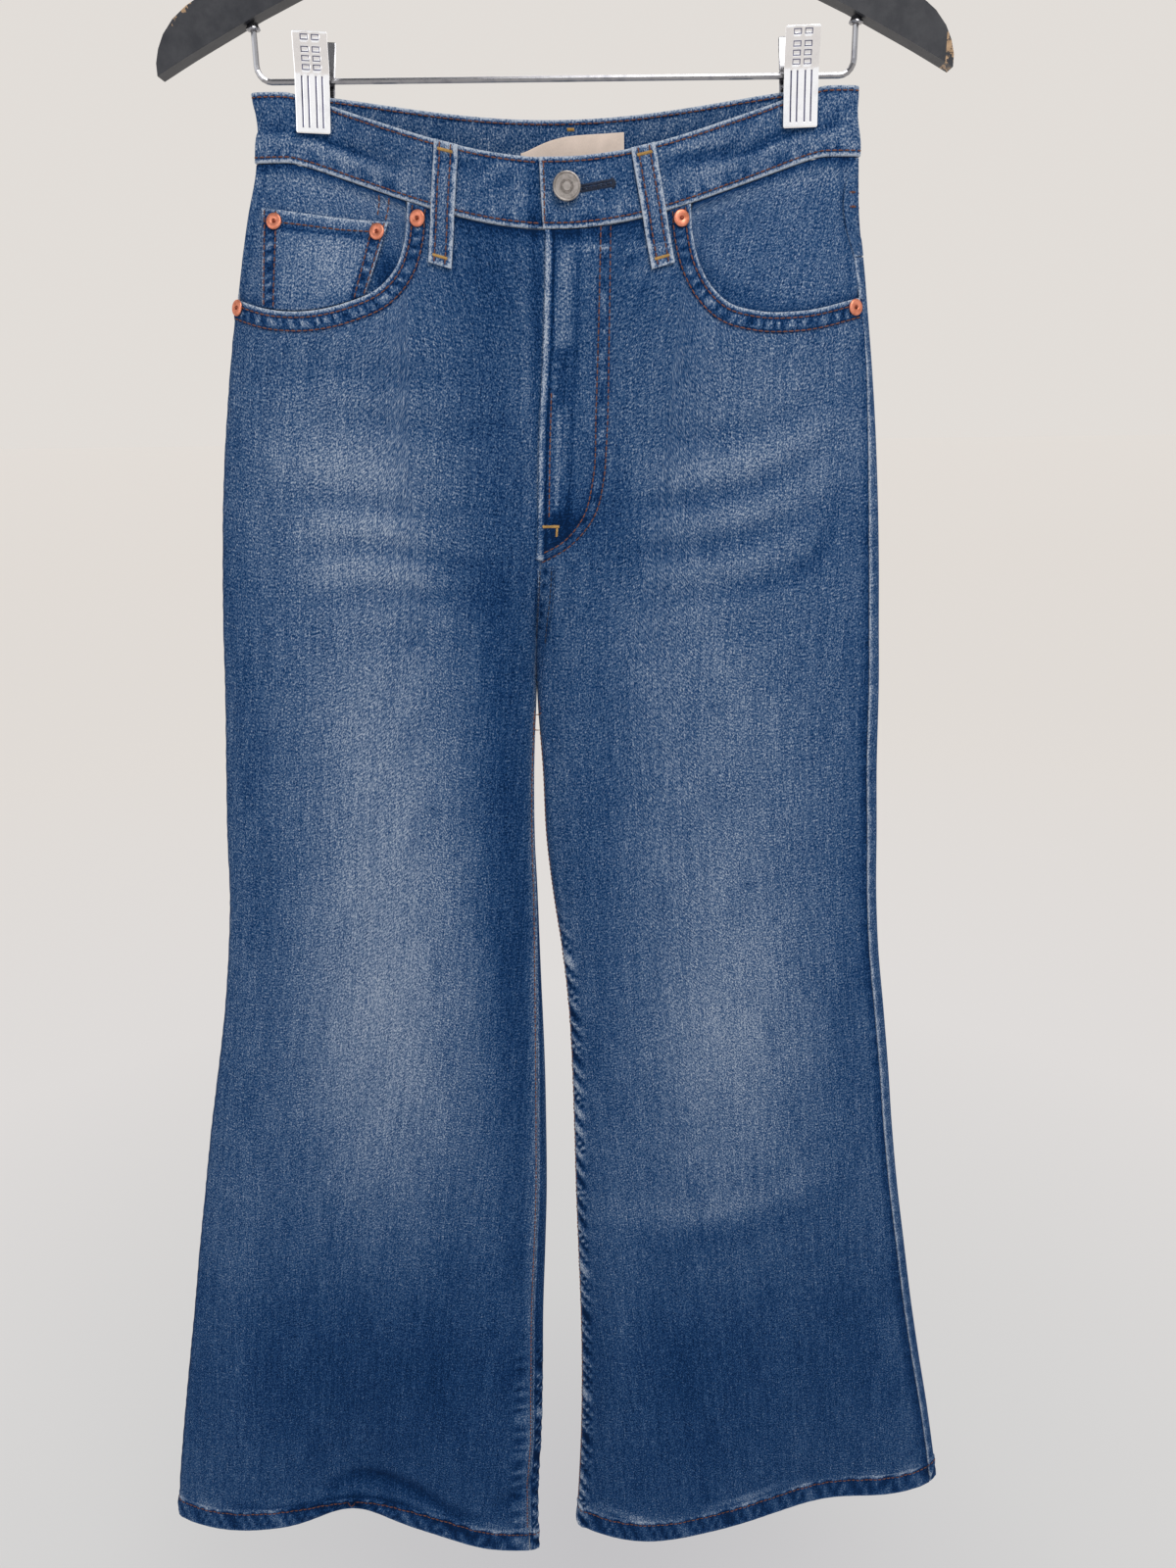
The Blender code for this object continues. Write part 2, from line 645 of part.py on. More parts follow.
def back_panel(leg, material):
    """One back, from the yoke seam to the hem."""
    level_rows = panel_levels(YOKE_CENTRE - BACK_TOP_DROP, LEG_ROWS)
    theta = back_thetas(leg, level_rows)
    level = np.repeat(level_rows[:, None], BACK_POINTS, axis=1)
    top_theta = back_thetas(leg, [YOKE_SIDE])
    top_level = yoke_level(top_theta) - SEAM_GAP
    theta = np.concatenate([top_theta, theta])
    level = np.concatenate([top_level, level])
    theta, level = side_gap(leg, theta, level, "back")
    panel_sections("back_" + leg, leg, theta, level, "back", material)


def yoke(leg, material):
    """The back yoke between the waist seam and the back panel."""
    top = np.full(BACK_POINTS, WAIST_SEAM - SEAM_GAP)
    theta = back_thetas(leg, np.linspace(WAIST_SEAM, YOKE_SIDE, YOKE_ROWS))
    bottom = yoke_level(theta[-1])
    share = np.linspace(0, 1, YOKE_ROWS)[:, None]
    level = top[None] * (1 - share) + bottom[None] * share
    theta, level = side_gap(leg, theta, level, "back")
    return cloth_wall("yoke_" + leg, leg, theta, level, "back", 0.0, CLOTH, material)


# ---------------------------------------------------------------- pockets
def opening_edge(pocket, count, away):
    """The pocket opening moved sideways by `away`, onto the front panel."""
    path = through(pocket, count)
    run = np.gradient(path, axis=0)
    run /= np.linalg.norm(run, axis=1, keepdims=True)
    turn = 1 if pocket[0][0] < 0 else -1
    side = np.stack([-run[:, 1], run[:, 0]], axis=1) * turn
    return path + side * away


def pocket_band(leg, pocket, material):
    """The turned and stitched edge of a front pocket."""
    shares = np.append(np.linspace(0, 1, 2 * OPENING_POINTS - 3)[:-1], 1 - SIDE_FOLD_SHARE)
    lines = [opening_edge(pocket, shares, away) for away in (0.0, POCKET_BAND)]
    theta, level = placed_patch(leg, np.stack(lines), "front")
    level = np.minimum(level, WAIST_SEAM - SEAM_GAP)
    thickness = POCKET_BAND_OUT - LAY_GAP
    out = np.full(len(shares), POCKET_BAND_OUT)
    out[-1] += LAY_GAP
    return cloth_wall("pocket_band_" + leg, leg, theta, level, "front", out, thickness, material)


def pocket_facing(leg, pocket, material):
    """The denim behind a pocket opening, on the front's own points moved in."""
    theta, level = front_top_rows(leg, pocket)
    theta, level = theta[:2, :OPENING_POINTS], level[:2, :OPENING_POINTS]
    top_level = np.full(OPENING_POINTS, WAIST_SEAM - SEAM_GAP)
    side = float(seam_theta(leg, "side", top_level)[0])
    corner = theta[0, -1]
    top_theta = np.linspace(side, corner - FACING_TUCK, OPENING_POINTS)
    theta[:, 0] = np.maximum(theta[:, 0] + FACING_SIDE_TURN, FACING_SIDE_LEAST)
    top_theta[0] = max(side + FACING_SIDE_TURN, FACING_SIDE_LEAST)
    level[:, -1] -= FACING_CORNER_DROP
    share = np.linspace(0, 1, FACING_ROWS + 1)[:-1, None]
    theta = np.concatenate([top_theta + (theta[0] - top_theta) * share, theta])
    level = np.concatenate([top_level + (level[0] - top_level) * share, level])
    out = np.full(OPENING_POINTS, -CLOTH - LAY_GAP)
    out[0] -= FACING_SIDE_DIP
    return cloth_wall("pocket_facing_" + leg, leg, theta, level, "front", out, FACING, material)


def coin_pocket(material):
    """The small pocket sewn on the right facing."""
    shares = np.linspace(COIN_LEFT_FOOT, COIN_RIGHT_FOOT, COIN_POINTS)
    foot = opening_edge(POCKET_RIGHT, shares[::-1], -COIN_FOOT_GAP)[::-1]
    top = through(COIN_TOP, COIN_POINTS)
    theta, level = placed_patch("right", between(top, foot, COIN_ROWS), "front")
    out = -CLOTH + COIN_OUT
    wall_of = COIN_THICKNESS
    return cloth_wall("coin_pocket", "right", theta, level, "front", out, wall_of, material)


def back_pocket(leg, material):
    """A plain patch pocket on the back."""
    width, height = BACK_POCKET_SIZE
    centre = BACK_POCKET_CENTRES[leg]
    across = np.linspace(-0.5, 0.5, BACK_POCKET_POINTS)[None]
    down = np.linspace(0, 1, BACK_POCKET_ROWS)[:, None]
    x = centre + across * (width - BACK_POCKET_TAPER * down)
    point = BACK_POCKET_POINT * (1 - 2 * np.abs(across))
    z = BACK_POCKET_TOP - down * (height - BACK_POCKET_POINT + point)
    theta, level = placed_patch(leg, np.stack([x, z], axis=-1), "back")
    out = LAY_GAP + CLOTH
    return cloth_wall("back_pocket_" + leg, leg, theta, level, "back", out, CLOTH, material)


# ---------------------------------------------------------------- pieces placed by x and level
def theta_at(leg, x, level, face):
    """The theta of a point of one face from its x and its level."""
    outer, inner = ends(leg, level, face == "front")
    theta = np.arccos(np.clip(1 - 2 * (x - outer) / (inner - outer), -1, 1))
    return theta if face == "front" else 2 * math.pi - theta


def face_points(x, level, face, out):
    """Points of the front or the back at x and level, on whichever leg they belong to."""
    x, level, out = np.broadcast_arrays(x, level, np.asarray(out, float))
    found = {}
    for leg in ("right", "left"):
        theta = theta_at(leg, x, level, face)
        found[leg] = offset(leg, theta, level, face, out)
    centre = ends("right", level, face == "front")[1]
    return np.where((x < centre)[..., None], found["right"], found["left"])


def level_of(x, z, face):
    """The level of the point of a face that lies at x and z."""
    leg = "right" if x < 0 else "left"
    return float(locate(leg, np.array([x]), np.array([z]), face)[1][0])


def face_normal(x, z, face):
    """A point of a face at x and z, and the direction out of it."""
    level = np.array([level_of(x, z, face)])
    here = face_points(np.array([x]), level, face, 0.0)[0]
    out = face_points(np.array([x]), level, face, 1 * MM)[0]
    return here, (out - here) / np.linalg.norm(out - here)


# ---------------------------------------------------------------- waistband, fly, loops, label
def band_skins(*stretches):
    """Outer and inner points of a waistband piece, from its stretches of leg, face, thetas, lift."""
    level = (WAIST_SEAM + BAND_HEIGHT * np.array(BAND_ROWS))[:, None]
    skins = []
    for base in (BAND_OUT, BAND_IN):
        parts = []
        for leg, face, thetas, lift in stretches:
            theta, levels = np.broadcast_arrays(thetas[None], level)
            parts.append(offset(leg, theta, levels, face, base + lift[None] + 0 * theta))
        skins.append(np.concatenate(parts, axis=1))
    return skins


def waistbands(material):
    """The back piece and the two front pieces, the left one lapping over the right one."""
    right_half = np.linspace(2 * math.pi - SIDE_THETA, math.pi, BACK_POINTS)
    left_half = right_half[::-1][1:]
    outer, inner = band_skins(
        ("right", "back", right_half, 0 * right_half),
        ("left", "back", left_half, 0 * left_half),
    )
    wall("waistband_back", outer, inner, material)

    shown = np.linspace(SIDE_THETA, math.pi - SINK_FROM, BACK_POINTS - 1)
    shown = np.append(shown, math.pi - SINK_TO)
    sunk = np.where(shown > math.pi - SINK_FROM + 0.01, -LAP_SINK, 0)
    under_x = np.array(LAP_UNDER_X) * MM
    under = theta_at("left", under_x, 0 * under_x + WAIST_SEAM, "front")
    outer, inner = band_skins(
        ("right", "front", shown, sunk),
        ("left", "front", under, 0 * under - LAP_SINK),
    )
    wall("waistband_front_right", outer, inner, material)

    lap_x = np.array(LAP_OVER_X) * MM
    lap = theta_at("left", lap_x, 0 * lap_x + WAIST_SEAM, "front")
    thetas = np.concatenate([lap, np.linspace(lap[-1], SIDE_THETA, BACK_POINTS - 1)[1:]])
    lift = np.where(thetas > lap[-1] + 0.01, LAP_LIFT, 0)
    outer, inner = band_skins(("left", "front", thetas, lift))
    for skin in (outer, inner):
        skin[:, 0, 0] -= BAND_LAP
    wall("waistband_front_left", outer, inner, material)


def fly(material):
    """The left front's folded fly edge and the cloth under the curved stitching line."""
    right_edge = through(FLY_CURVE, FLY_ROWS)
    edge_z = np.linspace(right_edge[0, 1], right_edge[-1, 1] + FLY_TOE, FLY_ROWS)
    level = np.array([level_of(-1 * MM, z, "front") for z in edge_z])
    centre = ends("left", level, True)[1]
    across = np.array(FLY_ACROSS)
    x = centre[:, None] + (right_edge[:, 0] - centre)[:, None] * across
    z = edge_z[:, None] + (right_edge[:, 1] - edge_z)[:, None] * across
    levels = locate("left", x, z, "front")[1]
    levels = np.minimum(levels, WAIST_SEAM - SEAM_GAP)
    outer = face_points(x, levels, "front", LAY_GAP + np.array(FLY_THICKNESS) * MM)
    inner = face_points(x, levels, "front", LAY_GAP + 0 * x)
    skins = []
    for skin in (outer, inner):
        folded = skin[:, :1] - np.array([FLY_OVERLAP, FLY_LIFT, 0])
        skins.append(np.concatenate([folded, skin], axis=1))
    wall("fly", *skins, material)


def belt_loop(name, face, top_x, foot_x, foot_z, material):
    """One belt loop, from the waistband's top edge to below the waist seam."""
    foot = level_of(foot_x * MM, foot_z * MM, face)
    on_band = WAIST_TOP - np.array(LOOP_ON_BAND) * MM
    level = np.append(on_band, np.linspace(WAIST_TOP - LOOP_BELOW_BAND, foot, 3))
    share = (level - WAIST_TOP) / (foot - WAIST_TOP)
    middle = (top_x + (foot_x - top_x) * share) * MM
    x = middle[:, None] + LOOP_WIDTH * np.array([-0.5, 0, 0.5])[None]
    under = np.where(level > WAIST_TOP - LOOP_BELOW_BAND + 1e-6, BAND_OUT, 0) + LAY_GAP
    outer = face_points(x, level[:, None], face, under[:, None] + LOOP_THICKNESS)
    inner = face_points(x, level[:, None], face, under[:, None])
    wall(name, outer, inner, material)


def label(material):
    """The bare woven label inside the back of the waistband."""
    x = np.linspace(*LABEL_X, 6)[None]
    level = np.linspace(*LABEL_LEVELS, 3)[:, None]
    near = BAND_IN - LAY_GAP
    outer = face_points(x, level, "back", near)
    inner = face_points(x, level, "back", near - LABEL_THICKNESS)
    wall("label", outer, inner, material)


# ---------------------------------------------------------------- turned trims
def turned(name, profile, place, direction, steps, material, closed=False):
    """A profile of radius and height in mm, turned about `direction` at `place`."""
    mesh = bpy.data.meshes.new(name)
    points = [(radius * MM, 0, height * MM) for radius, height in profile]
    edges = [(i, i + 1) for i in range(len(points) - 1)]
    if closed:
        edges.append((len(points) - 1, 0))
    mesh.from_pydata(points, edges, [])
    obj = add_object(name, mesh, material)
    obj.location = place
    obj.rotation_euler = Vector((0, 0, 1)).rotation_difference(Vector(direction)).to_euler()
    screw = obj.modifiers.new("Turn", "SCREW")
    screw.steps = screw.render_steps = steps
    screw.use_merge_vertices = True
    screw.merge_threshold = 1e-5
    screw.use_smooth_shade = True
    return obj


def button(material):
    """The shank button, with a raised rim and a ring round its middle."""
    radius = BUTTON_DIAMETER / 2 / MM
    place, out = face_normal(BUTTON_PLACE[0] * MM, BUTTON_PLACE[1] * MM, "front")
    profile = (
        (0, 3.1), (1.6, 3.1), (2.1, 2.7), (2.6, 3.2), (4.6, 3.4), (radius - 1.2, 3.7),
        (radius, 3.1), (radius, 2.3), (radius - 1.0, 1.7), (3.4, 1.4), (3.4, 0), (0, 0),
    )
    turned("button", profile, place + out * BUTTON_SEAT, out, 24, material)


def rivet(name, x, z, seat, material):
    """One pocket rivet: a domed ring with a nub."""
    radius = RIVET_DIAMETER / 2 / MM
    place, out = face_normal(x * MM, z * MM, "front")
    profile = (
        (0, 1.9), (0.9, 1.8), (1.3, 0.9), (radius * 0.62, 1.15), (radius * 0.93, 0.85),
        (radius, 0.3), (radius - 0.2, 0), (0, 0),
    )
    turned(name, profile, place + out * (seat * MM + SEAM_GAP), out, 14, material)


# ---------------------------------------------------------------- the hanger
def hanger_outline():
    """The outline of the wooden hanger, x and z, counter-clockwise."""
    tip = HANGER_HALF_WIDTH
    xs = np.array([0, 20, 40, 60, 85, 110, 135, 160, 189, 199, 207, 213, 216.5, 218.4]) * MM
    lower = column(ARM, ARM_COLUMNS, "lower", xs)
    share = np.clip((xs - TIP_START) / (tip - TIP_START), 0, 1)
    height = column(ARM, ARM_COLUMNS, "height", xs) * np.sqrt(1 - share**TIP_POWER)
    edge_z = float(np.interp(NOTCH_X, xs, lower + height)) - 1 * MM
    notch = [
        (NOTCH_X - NOTCH_RADIUS * math.cos(a), edge_z - NOTCH_RADIUS * math.sin(a))
        for a in np.linspace(0.25, math.pi - 0.25, 7)
    ]
    upper = sorted(list(zip(xs, lower + height)) + notch)
    right = list(zip(xs, lower)) + upper[::-1]
    left = [(-x, z) for x, z in right[::-1] if x > 0]
    return right + left


def hanger_body(material):
    """The flat wooden hanger, extruded from its outline with eased edges."""
    curve = bpy.data.curves.new("hanger_body", "CURVE")
    curve.dimensions = "2D"
    curve.fill_mode = "BOTH"
    curve.extrude = HANGER_THICKNESS / 2
    outline = hanger_outline()
    spline = curve.splines.new("POLY")
    spline.points.add(len(outline) - 1)
    for point, (x, z) in zip(spline.points, outline):
        point.co = (x, z, 0, 1)
    spline.use_cyclic_u = True
    curve.materials.append(material)
    obj = bpy.data.objects.new("hanger_body", curve)
    bpy.data.collections[COLLECTION].objects.link(obj)
    obj.rotation_euler = (math.radians(90), 0, 0)
    weld = obj.modifiers.new("Close caps", "WELD")
    weld.merge_threshold = 1e-5
    bevel = obj.modifiers.new("Eased edges", "BEVEL")
    bevel.width = HANGER_EDGE
    bevel.segments = 2
    bevel.limit_method = "ANGLE"
    bevel.angle_limit = math.radians(60)


def wire(name, points, radius, material, resolution=2):
    """A round wire through points, with closed ends."""
    curve = bpy.data.curves.new(name, "CURVE")
    curve.dimensions = "3D"
    curve.bevel_depth = radius
    curve.bevel_resolution = resolution
    curve.use_fill_caps = True
    spline = curve.splines.new("POLY")
    spline.points.add(len(points) - 1)
    for point, (x, z) in zip(spline.points, points):
        point.co = (x, 0, z, 1)
    curve.materials.append(material)
    obj = bpy.data.objects.new(name, curve)
    bpy.data.collections[COLLECTION].objects.link(obj)


def hook(material):
    """The wire hook, from the hanger's neck round over the rail."""
    radius = HOOK_RADIUS + HOOK_WIRE
    neck = column(ARM, ARM_COLUMNS, "lower", 0.0) + column(ARM, ARM_COLUMNS, "height", 0.0)
    shank = [(0, float(neck) + SEAM_GAP)] + [(x * MM, z * MM) for x, z in HOOK_SHANK]
    turn = np.radians(np.linspace(*HOOK_ARC, 22))
    arc = [(radius * math.cos(a), radius * math.sin(a) - HOOK_RADIUS) for a in turn]
    wire("hook", shank + arc, HOOK_WIRE, material)


def bar(material):
    """The wire that the clips slide on, bent up into both arms."""
    top = float(column(ARM, ARM_COLUMNS, "lower", BAR_HALF)) - BAR_TOP_GAP
    corner = [
        (BAR_HALF - BAR_CORNER * (1 - math.cos(a)), BAR_LEVEL + BAR_CORNER * (1 - math.sin(a)))
        for a in np.radians(np.linspace(0, 90, 6))
    ]
    right = [(BAR_HALF, top)] + corner
    left = [(-x, z) for x, z in right[::-1]]
    wire("bar", right + left, BAR_WIRE, material)


def clip(name, x, lean, material):
    """A spring clip: a fluted front jaw, a plain back jaw and the spring round the bar."""
    place = (x * MM, 0, BAR_LEVEL)
    z = np.array([row[0] for row in JAW_PROFILE]) * MM
    y = np.array([row[1] for row in JAW_PROFILE]) * MM
    for side, width, columns in (("front", CLIP_WIDTH, 11), ("back", BACK_JAW_WIDTH, 3)):
        across = np.linspace(-0.5, 0.5, columns) * width
        grid = np.zeros((len(z), columns, 3))
        grid[..., 0] = across[None]
        grid[..., 1] = y[:, None] * (-1 if side == "front" else 1)
        grid[..., 2] = z[:, None]
        out = grid.copy()
        groove = np.zeros((len(z), columns))
        if side == "front":
            groove[3:-1, 2:-1:2] = FLUTE_DEPTH
        thick = JAW_STEEL - groove
        out[..., 1] += thick * (-1 if side == "front" else 1)
        jaw = wall("clip_" + name + "_jaw_" + side, out, grid, material)
        jaw.location = place
        jaw.rotation_euler = (0, math.radians(lean), 0)
    ring = (
        (SPRING_RADIUS / MM, SPRING_LENGTH / 2 / MM),
        (SPRING_RADIUS / MM, -SPRING_LENGTH / 2 / MM),
        ((BAR_WIRE + SEAM_GAP) / MM, -SPRING_LENGTH / 2 / MM),
        ((BAR_WIRE + SEAM_GAP) / MM, SPRING_LENGTH / 2 / MM),
    )
    turned("clip_" + name + "_spring", ring, place, (1, 0, 0), 14, material, closed=True)


def main():
    clear_scene()
    make_collection(COLLECTION)
    denim = make_material("denim", (0.10, 0.19, 0.36), 0.9)
    cream = make_material("label_cotton", (0.80, 0.76, 0.66), 0.85)
    nickel = make_material("button_metal", (0.45, 0.44, 0.43), 0.38, 1.0)
    copper = make_material("rivet_copper", (0.75, 0.34, 0.22), 0.35, 1.0)
    black = make_material("hanger_lacquer", (0.02, 0.022, 0.025), 0.45)
    chrome = make_material("chrome", (0.80, 0.80, 0.81), 0.12, 1.0)

    front_panel("right", POCKET_RIGHT, denim)
    front_panel("left", POCKET_LEFT, denim)
    for leg in ("right", "left"):
        back_panel(leg, denim)
        yoke(leg, denim)
        back_pocket(leg, denim)
    pocket_facing("right", POCKET_RIGHT, denim)
    pocket_facing("left", POCKET_LEFT, denim)
    pocket_band("right", POCKET_RIGHT, denim)
    pocket_band("left", POCKET_LEFT, denim)
    coin_pocket(denim)
    waistbands(denim)
    fly(denim)
    for name, face, top_x, foot_x, foot_z in BELT_LOOPS:
        belt_loop(name, face, top_x, foot_x, foot_z, denim)
    label(cream)
    button(nickel)
    for name, x, z, seat in RIVETS:
        rivet(name, x, z, seat, copper)
    hanger_body(black)
    hook(chrome)
    bar(chrome)
    for name, x, lean in CLIPS:
        clip(name, x, lean, chrome)


main()
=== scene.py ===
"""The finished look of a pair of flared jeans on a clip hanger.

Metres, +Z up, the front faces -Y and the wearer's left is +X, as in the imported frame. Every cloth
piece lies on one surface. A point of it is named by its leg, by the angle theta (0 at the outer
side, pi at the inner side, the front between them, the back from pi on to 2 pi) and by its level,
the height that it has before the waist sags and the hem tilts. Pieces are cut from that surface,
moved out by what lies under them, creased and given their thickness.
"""

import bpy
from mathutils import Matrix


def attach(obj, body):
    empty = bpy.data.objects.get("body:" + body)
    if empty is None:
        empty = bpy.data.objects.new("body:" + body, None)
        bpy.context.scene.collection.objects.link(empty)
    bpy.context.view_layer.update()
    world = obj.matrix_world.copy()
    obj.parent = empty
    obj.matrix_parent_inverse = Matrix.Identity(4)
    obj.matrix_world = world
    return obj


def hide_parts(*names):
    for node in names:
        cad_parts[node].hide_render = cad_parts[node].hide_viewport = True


bl_info = {
    "name": "Flared jeans on a clip hanger",
    "version": (1, 0, 0),
    "blender": (4, 5, 0),
    "location": "View3D > Sidebar > Jeans",
    "description": "Cuts, sews, trims and hangs a pair of flared jeans",
    "category": "Object",
}

from collections import namedtuple
from math import cos, pi, radians, sin

import bmesh
import bpy
import numpy as np
from mathutils import Matrix, Vector
from mathutils.bvhtree import BVHTree

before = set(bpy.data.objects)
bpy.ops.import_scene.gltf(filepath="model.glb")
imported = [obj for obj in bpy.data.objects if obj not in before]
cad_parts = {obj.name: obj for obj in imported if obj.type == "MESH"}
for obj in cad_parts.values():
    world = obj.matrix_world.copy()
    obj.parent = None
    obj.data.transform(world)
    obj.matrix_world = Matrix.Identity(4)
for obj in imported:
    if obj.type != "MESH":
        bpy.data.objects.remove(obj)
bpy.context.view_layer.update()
MM = 0.001
LEGS = ("right", "left")  # of the wearer

# ---- driving sizes
CLOTH = 1.3 * MM  # wall of one layer of denim
SEAM_GAP = 0.3 * MM  # between pieces that touch
HEM_THICKNESS = 2.8 * MM  # the hem is folded twice, inwards
HEM_HEIGHT = 20 * MM

WAIST_TOP = -206 * MM  # top edge of the waistband at the side
BAND_HEIGHT = 35.5 * MM
WAIST_SEAM = WAIST_TOP - BAND_HEIGHT
PANEL_TOP = WAIST_SEAM - SEAM_GAP
BAND_OUT = 0.8 * MM  # the doubled waistband stands proud of the panels
BAND_IN = -1.6 * MM
LAY_GAP = 0.45 * MM  # between a panel and a piece that lies on it
BAND_LAP = 4 * MM  # the waistband's end reaches this far past the fly's edge
LAP_LIFT = 1.4 * MM  # the buttoned end lies this far out
LAP_SINK = 1.3 * MM  # and the end below it this far in
LAP_UNDER_X = (-2, 26)  # mm: the end below reaches from here to here
LAP_FULL, LAP_END = 27 * MM, 38 * MM  # the buttoned end is fully lifted, and lies flat again
SINK_FROM, SINK_TO = 0.56, 0.38  # theta short of the centre between which the end sinks
SIDE_THETA = 0.012  # the waistband's pieces meet here at the sides
HIP_ROW = -345 * MM  # first full row of the front panels, below the pockets
CROTCH_TOP = -440 * MM  # where the legs start to close
CROTCH = -540 * MM  # where the inseams meet the rise
HEM = -1241 * MM
HEM_FOLD = HEM + HEM_HEIGHT  # upper edge of the turned-up hem
HEM_SWING_START = -880 * MM  # below this the ends of the hems swing forward or back

SAG_FRONT = 39.5 * MM  # the front waist drops this far between the clips
SAG_BACK = 13 * MM
SAG_HALF_WIDTH = 150 * MM
SAG_POWER = 1.28
SAG_END = -520 * MM  # level at which the drop has eased out

BODY_POWER = 4.0  # squareness of the flattened tube
WAIST_END_POWER = 110.0  # tightness of the fold at the sides of the waistband
WAIST_SHAPE_END = -335 * MM  # the pinched waist has become a plain lens here

# ---- tables, in millimetres
OUTLINE = (
    ("z", "right_outer", "right_inner", "left_inner", "left_outer"),
    (-190, -168.5, -7.5, -7.5, 167.5), (-206, -168.5, -7.0, -7.0, 167.8),
    (-222, -166.8, -6.5, -6.5, 168.2), (-233, -168.8, -6.0, -6.0, 170.2),
    (-244, -170.2, -5.5, -5.5, 170.6), (-268, -177.0, -6.2, -6.2, 172.0),
    (-308, -186.5, -8.2, -8.2, 178.0), (-365, -198.0, -11.6, -11.6, 186.0),
    (-434, -208.6, -13.7, -13.7, 193.3), (-470, -212.5, -14.5, -14.5, 196.2),
    (-507, -216.0, -17, -17, 198.6), (-540, -218.5, -19, -18.2, 200.8),
    (-604, -224.4, -22.6, -15.5, 203.4), (-645, -228.0, -23.2, -14.5, 206.0),
    (-688, -230.8, -22.4, -10.6, 208.4), (-732, -236.4, -21.8, -5.1, 212.6),
    (-777, -243.8, -21.0, -1.4, 219.0), (-824, -253.4, -20.3, 0.2, 225.4),
    (-873, -263.8, -20.3, 1.0, 231.4), (-924, -273.6, -20.9, 1.4, 238.8),
    (-976, -283.6, -23.0, 2.4, 247.8), (-1030, -293.4, -25.6, 3.4, 257.4),
    (-1086, -304.1, -27.2, 3.6, 268.4), (-1145, -315.0, -29.6, 2.4, 280.6),
    (-1206, -325.6, -33.5, -0.4, 291.4), (-1260, -333.4, -34.5, -3.6, 297.4),
)
DEPTH = (
    ("z", "front", "back"),
    (-200, 32, 10), (-245, 31, 12), (-300, 28, 15), (-350, 25, 17), (-400, 22, 18), (-450, 20, 18),
    (-500, 18.5, 17), (-560, 17.5, 17), (-750, 17, 17), (-1000, 18, 17), (-1250, 17, 16),
)
# How far the waist stands open at each distance from the middle: pinched under the clips.
WAIST_DEPTH = (
    ("x", "front", "back"),
    (0, 33, 9.5), (30, 31.2, 9), (60, 25.5, 7.2), (90, 15, 4.6), (110, 6.0, 2.8), (121, 2.3, 2.1),
    (146, 2.2, 2.2), (156, 3.0, 2.6), (164, 2.8, 2.5), (190, 2.7, 2.5),
)
# How far each seam lies inside the outline, round on the front.
SEAM_INSET = (
    ("z", "right_side", "left_side", "right_inseam"),
    (-200, 0, 0, 0), (-240, 0, 1, 0), (-247, 0, 5, 0), (-313, 0, 4, 0), (-420, 0, 7, 0),
    (-546, 0, 8, 0), (-700, 0, 8, 1.5), (-850, 0, 8, 5.5), (-950, 0, 7.5, 7), (-1250, 0, 6.5, 7),
)
# Centre back, which lies to the left of centre front at the waist.
CENTRE_BACK = (("z", "x"), (-200, 6), (-245, 5), (-300, 3), (-365, -1), (-434, -8), (-507, -15), (-540, -18.6))
# Where each hem rides up and how far it swings forward, from the leg's outer side to its inner.
HEM_LINE = (
    ("share", "right_rise", "left_rise", "right_swing", "left_swing"),
    (0, 9, 26, 0, -11), (0.15, 6, 20, 0, -9), (0.3, 8, 16, 0, -6), (0.45, 11, 12, 0, -2),
    (0.6, 10, 3, 0, 0), (0.75, 3, -3, 1, 0), (0.88, -9, -7, 6, 0), (1, -19, -7, 12, 0),
)
# The flutes of the flare: leg, face, place across the leg from its outer side, how far the cloth
# stands out (mm), the flute's width across the leg, and the level where it starts.
FLUTES = (
    ("right", "front", 0.20, 2.0, 0.16, -900),
    ("right", "front", 0.50, -9.0, 0.12, -1060),
    ("right", "front", 0.82, 9.0, 0.15, -860),
    ("right", "back", 0.36, 6.0, 0.14, -900),
    ("right", "back", 0.72, -5.0, 0.13, -980),
    ("left", "front", 0.30, -9.0, 0.16, -960),
    ("left", "front", 0.80, 8.0, 0.16, -880),
    ("left", "back", 0.28, 5.0, 0.13, -940),
    ("left", "back", 0.64, -6.0, 0.14, -900),
)
CURL_PLACE, CURL_WIDTH = 0.49, 0.11  # the right hem turns up and out here
CURL_RISE, CURL_OUT = 12 * MM, 5 * MM
CURL_START = -1190 * MM
CURL_X, CURL_REACH = 186, 36  # mm: where the right hem rolls outwards
PALE_FOLD_TOP = -760 * MM
PUCKER_TOPS = {"right": -1020 * MM, "left": -680 * MM}  # the inseams pucker below here

# Pocket openings on the front, x and z, from the waist seam to the side seam.
POCKET_RIGHT = (
    (-83, -264.5), (-85.8, -285.3), (-91.2, -298.3), (-100.3, -307.9),
    (-120.2, -316.3), (-144.8, -320.5), (-165.7, -319), (-188.2, -312),
)
POCKET_LEFT = (
    (73.8, -267.5), (75.2, -283.6), (80, -299.5), (86.5, -310.2),
    (96, -318.6), (112.3, -323.2), (138.2, -323.4), (175.3, -315.4),
)
POCKET_LENGTH = 0.165  # along a front pocket's opening
POCKET_EDGE_WIDTH = 11.4 * MM
POCKETS = {"right": POCKET_RIGHT, "left": POCKET_LEFT}
EVEN_LEVEL = -0.9  # the columns of a panel are evenly spaced at this level
HIP_SPREAD = 0.38  # how far the columns have evened out at the hip
EVEN_DROP = 220 * MM  # and the length over which they finish doing so
SIDE_FOLD_SHARE = 0.02  # one column of the opening lies close to the side fold
BACK_TOP_DROP = 24 * MM  # from the yoke seam's lowest point to a back's first level row
POCKET_BAND_OUT = 1.2 * MM
FACING = 1.0 * MM
FACING_TUCK = 0.02
FACING_CORNER_DROP = 6 * MM  # its inner corner lies below the opening's top
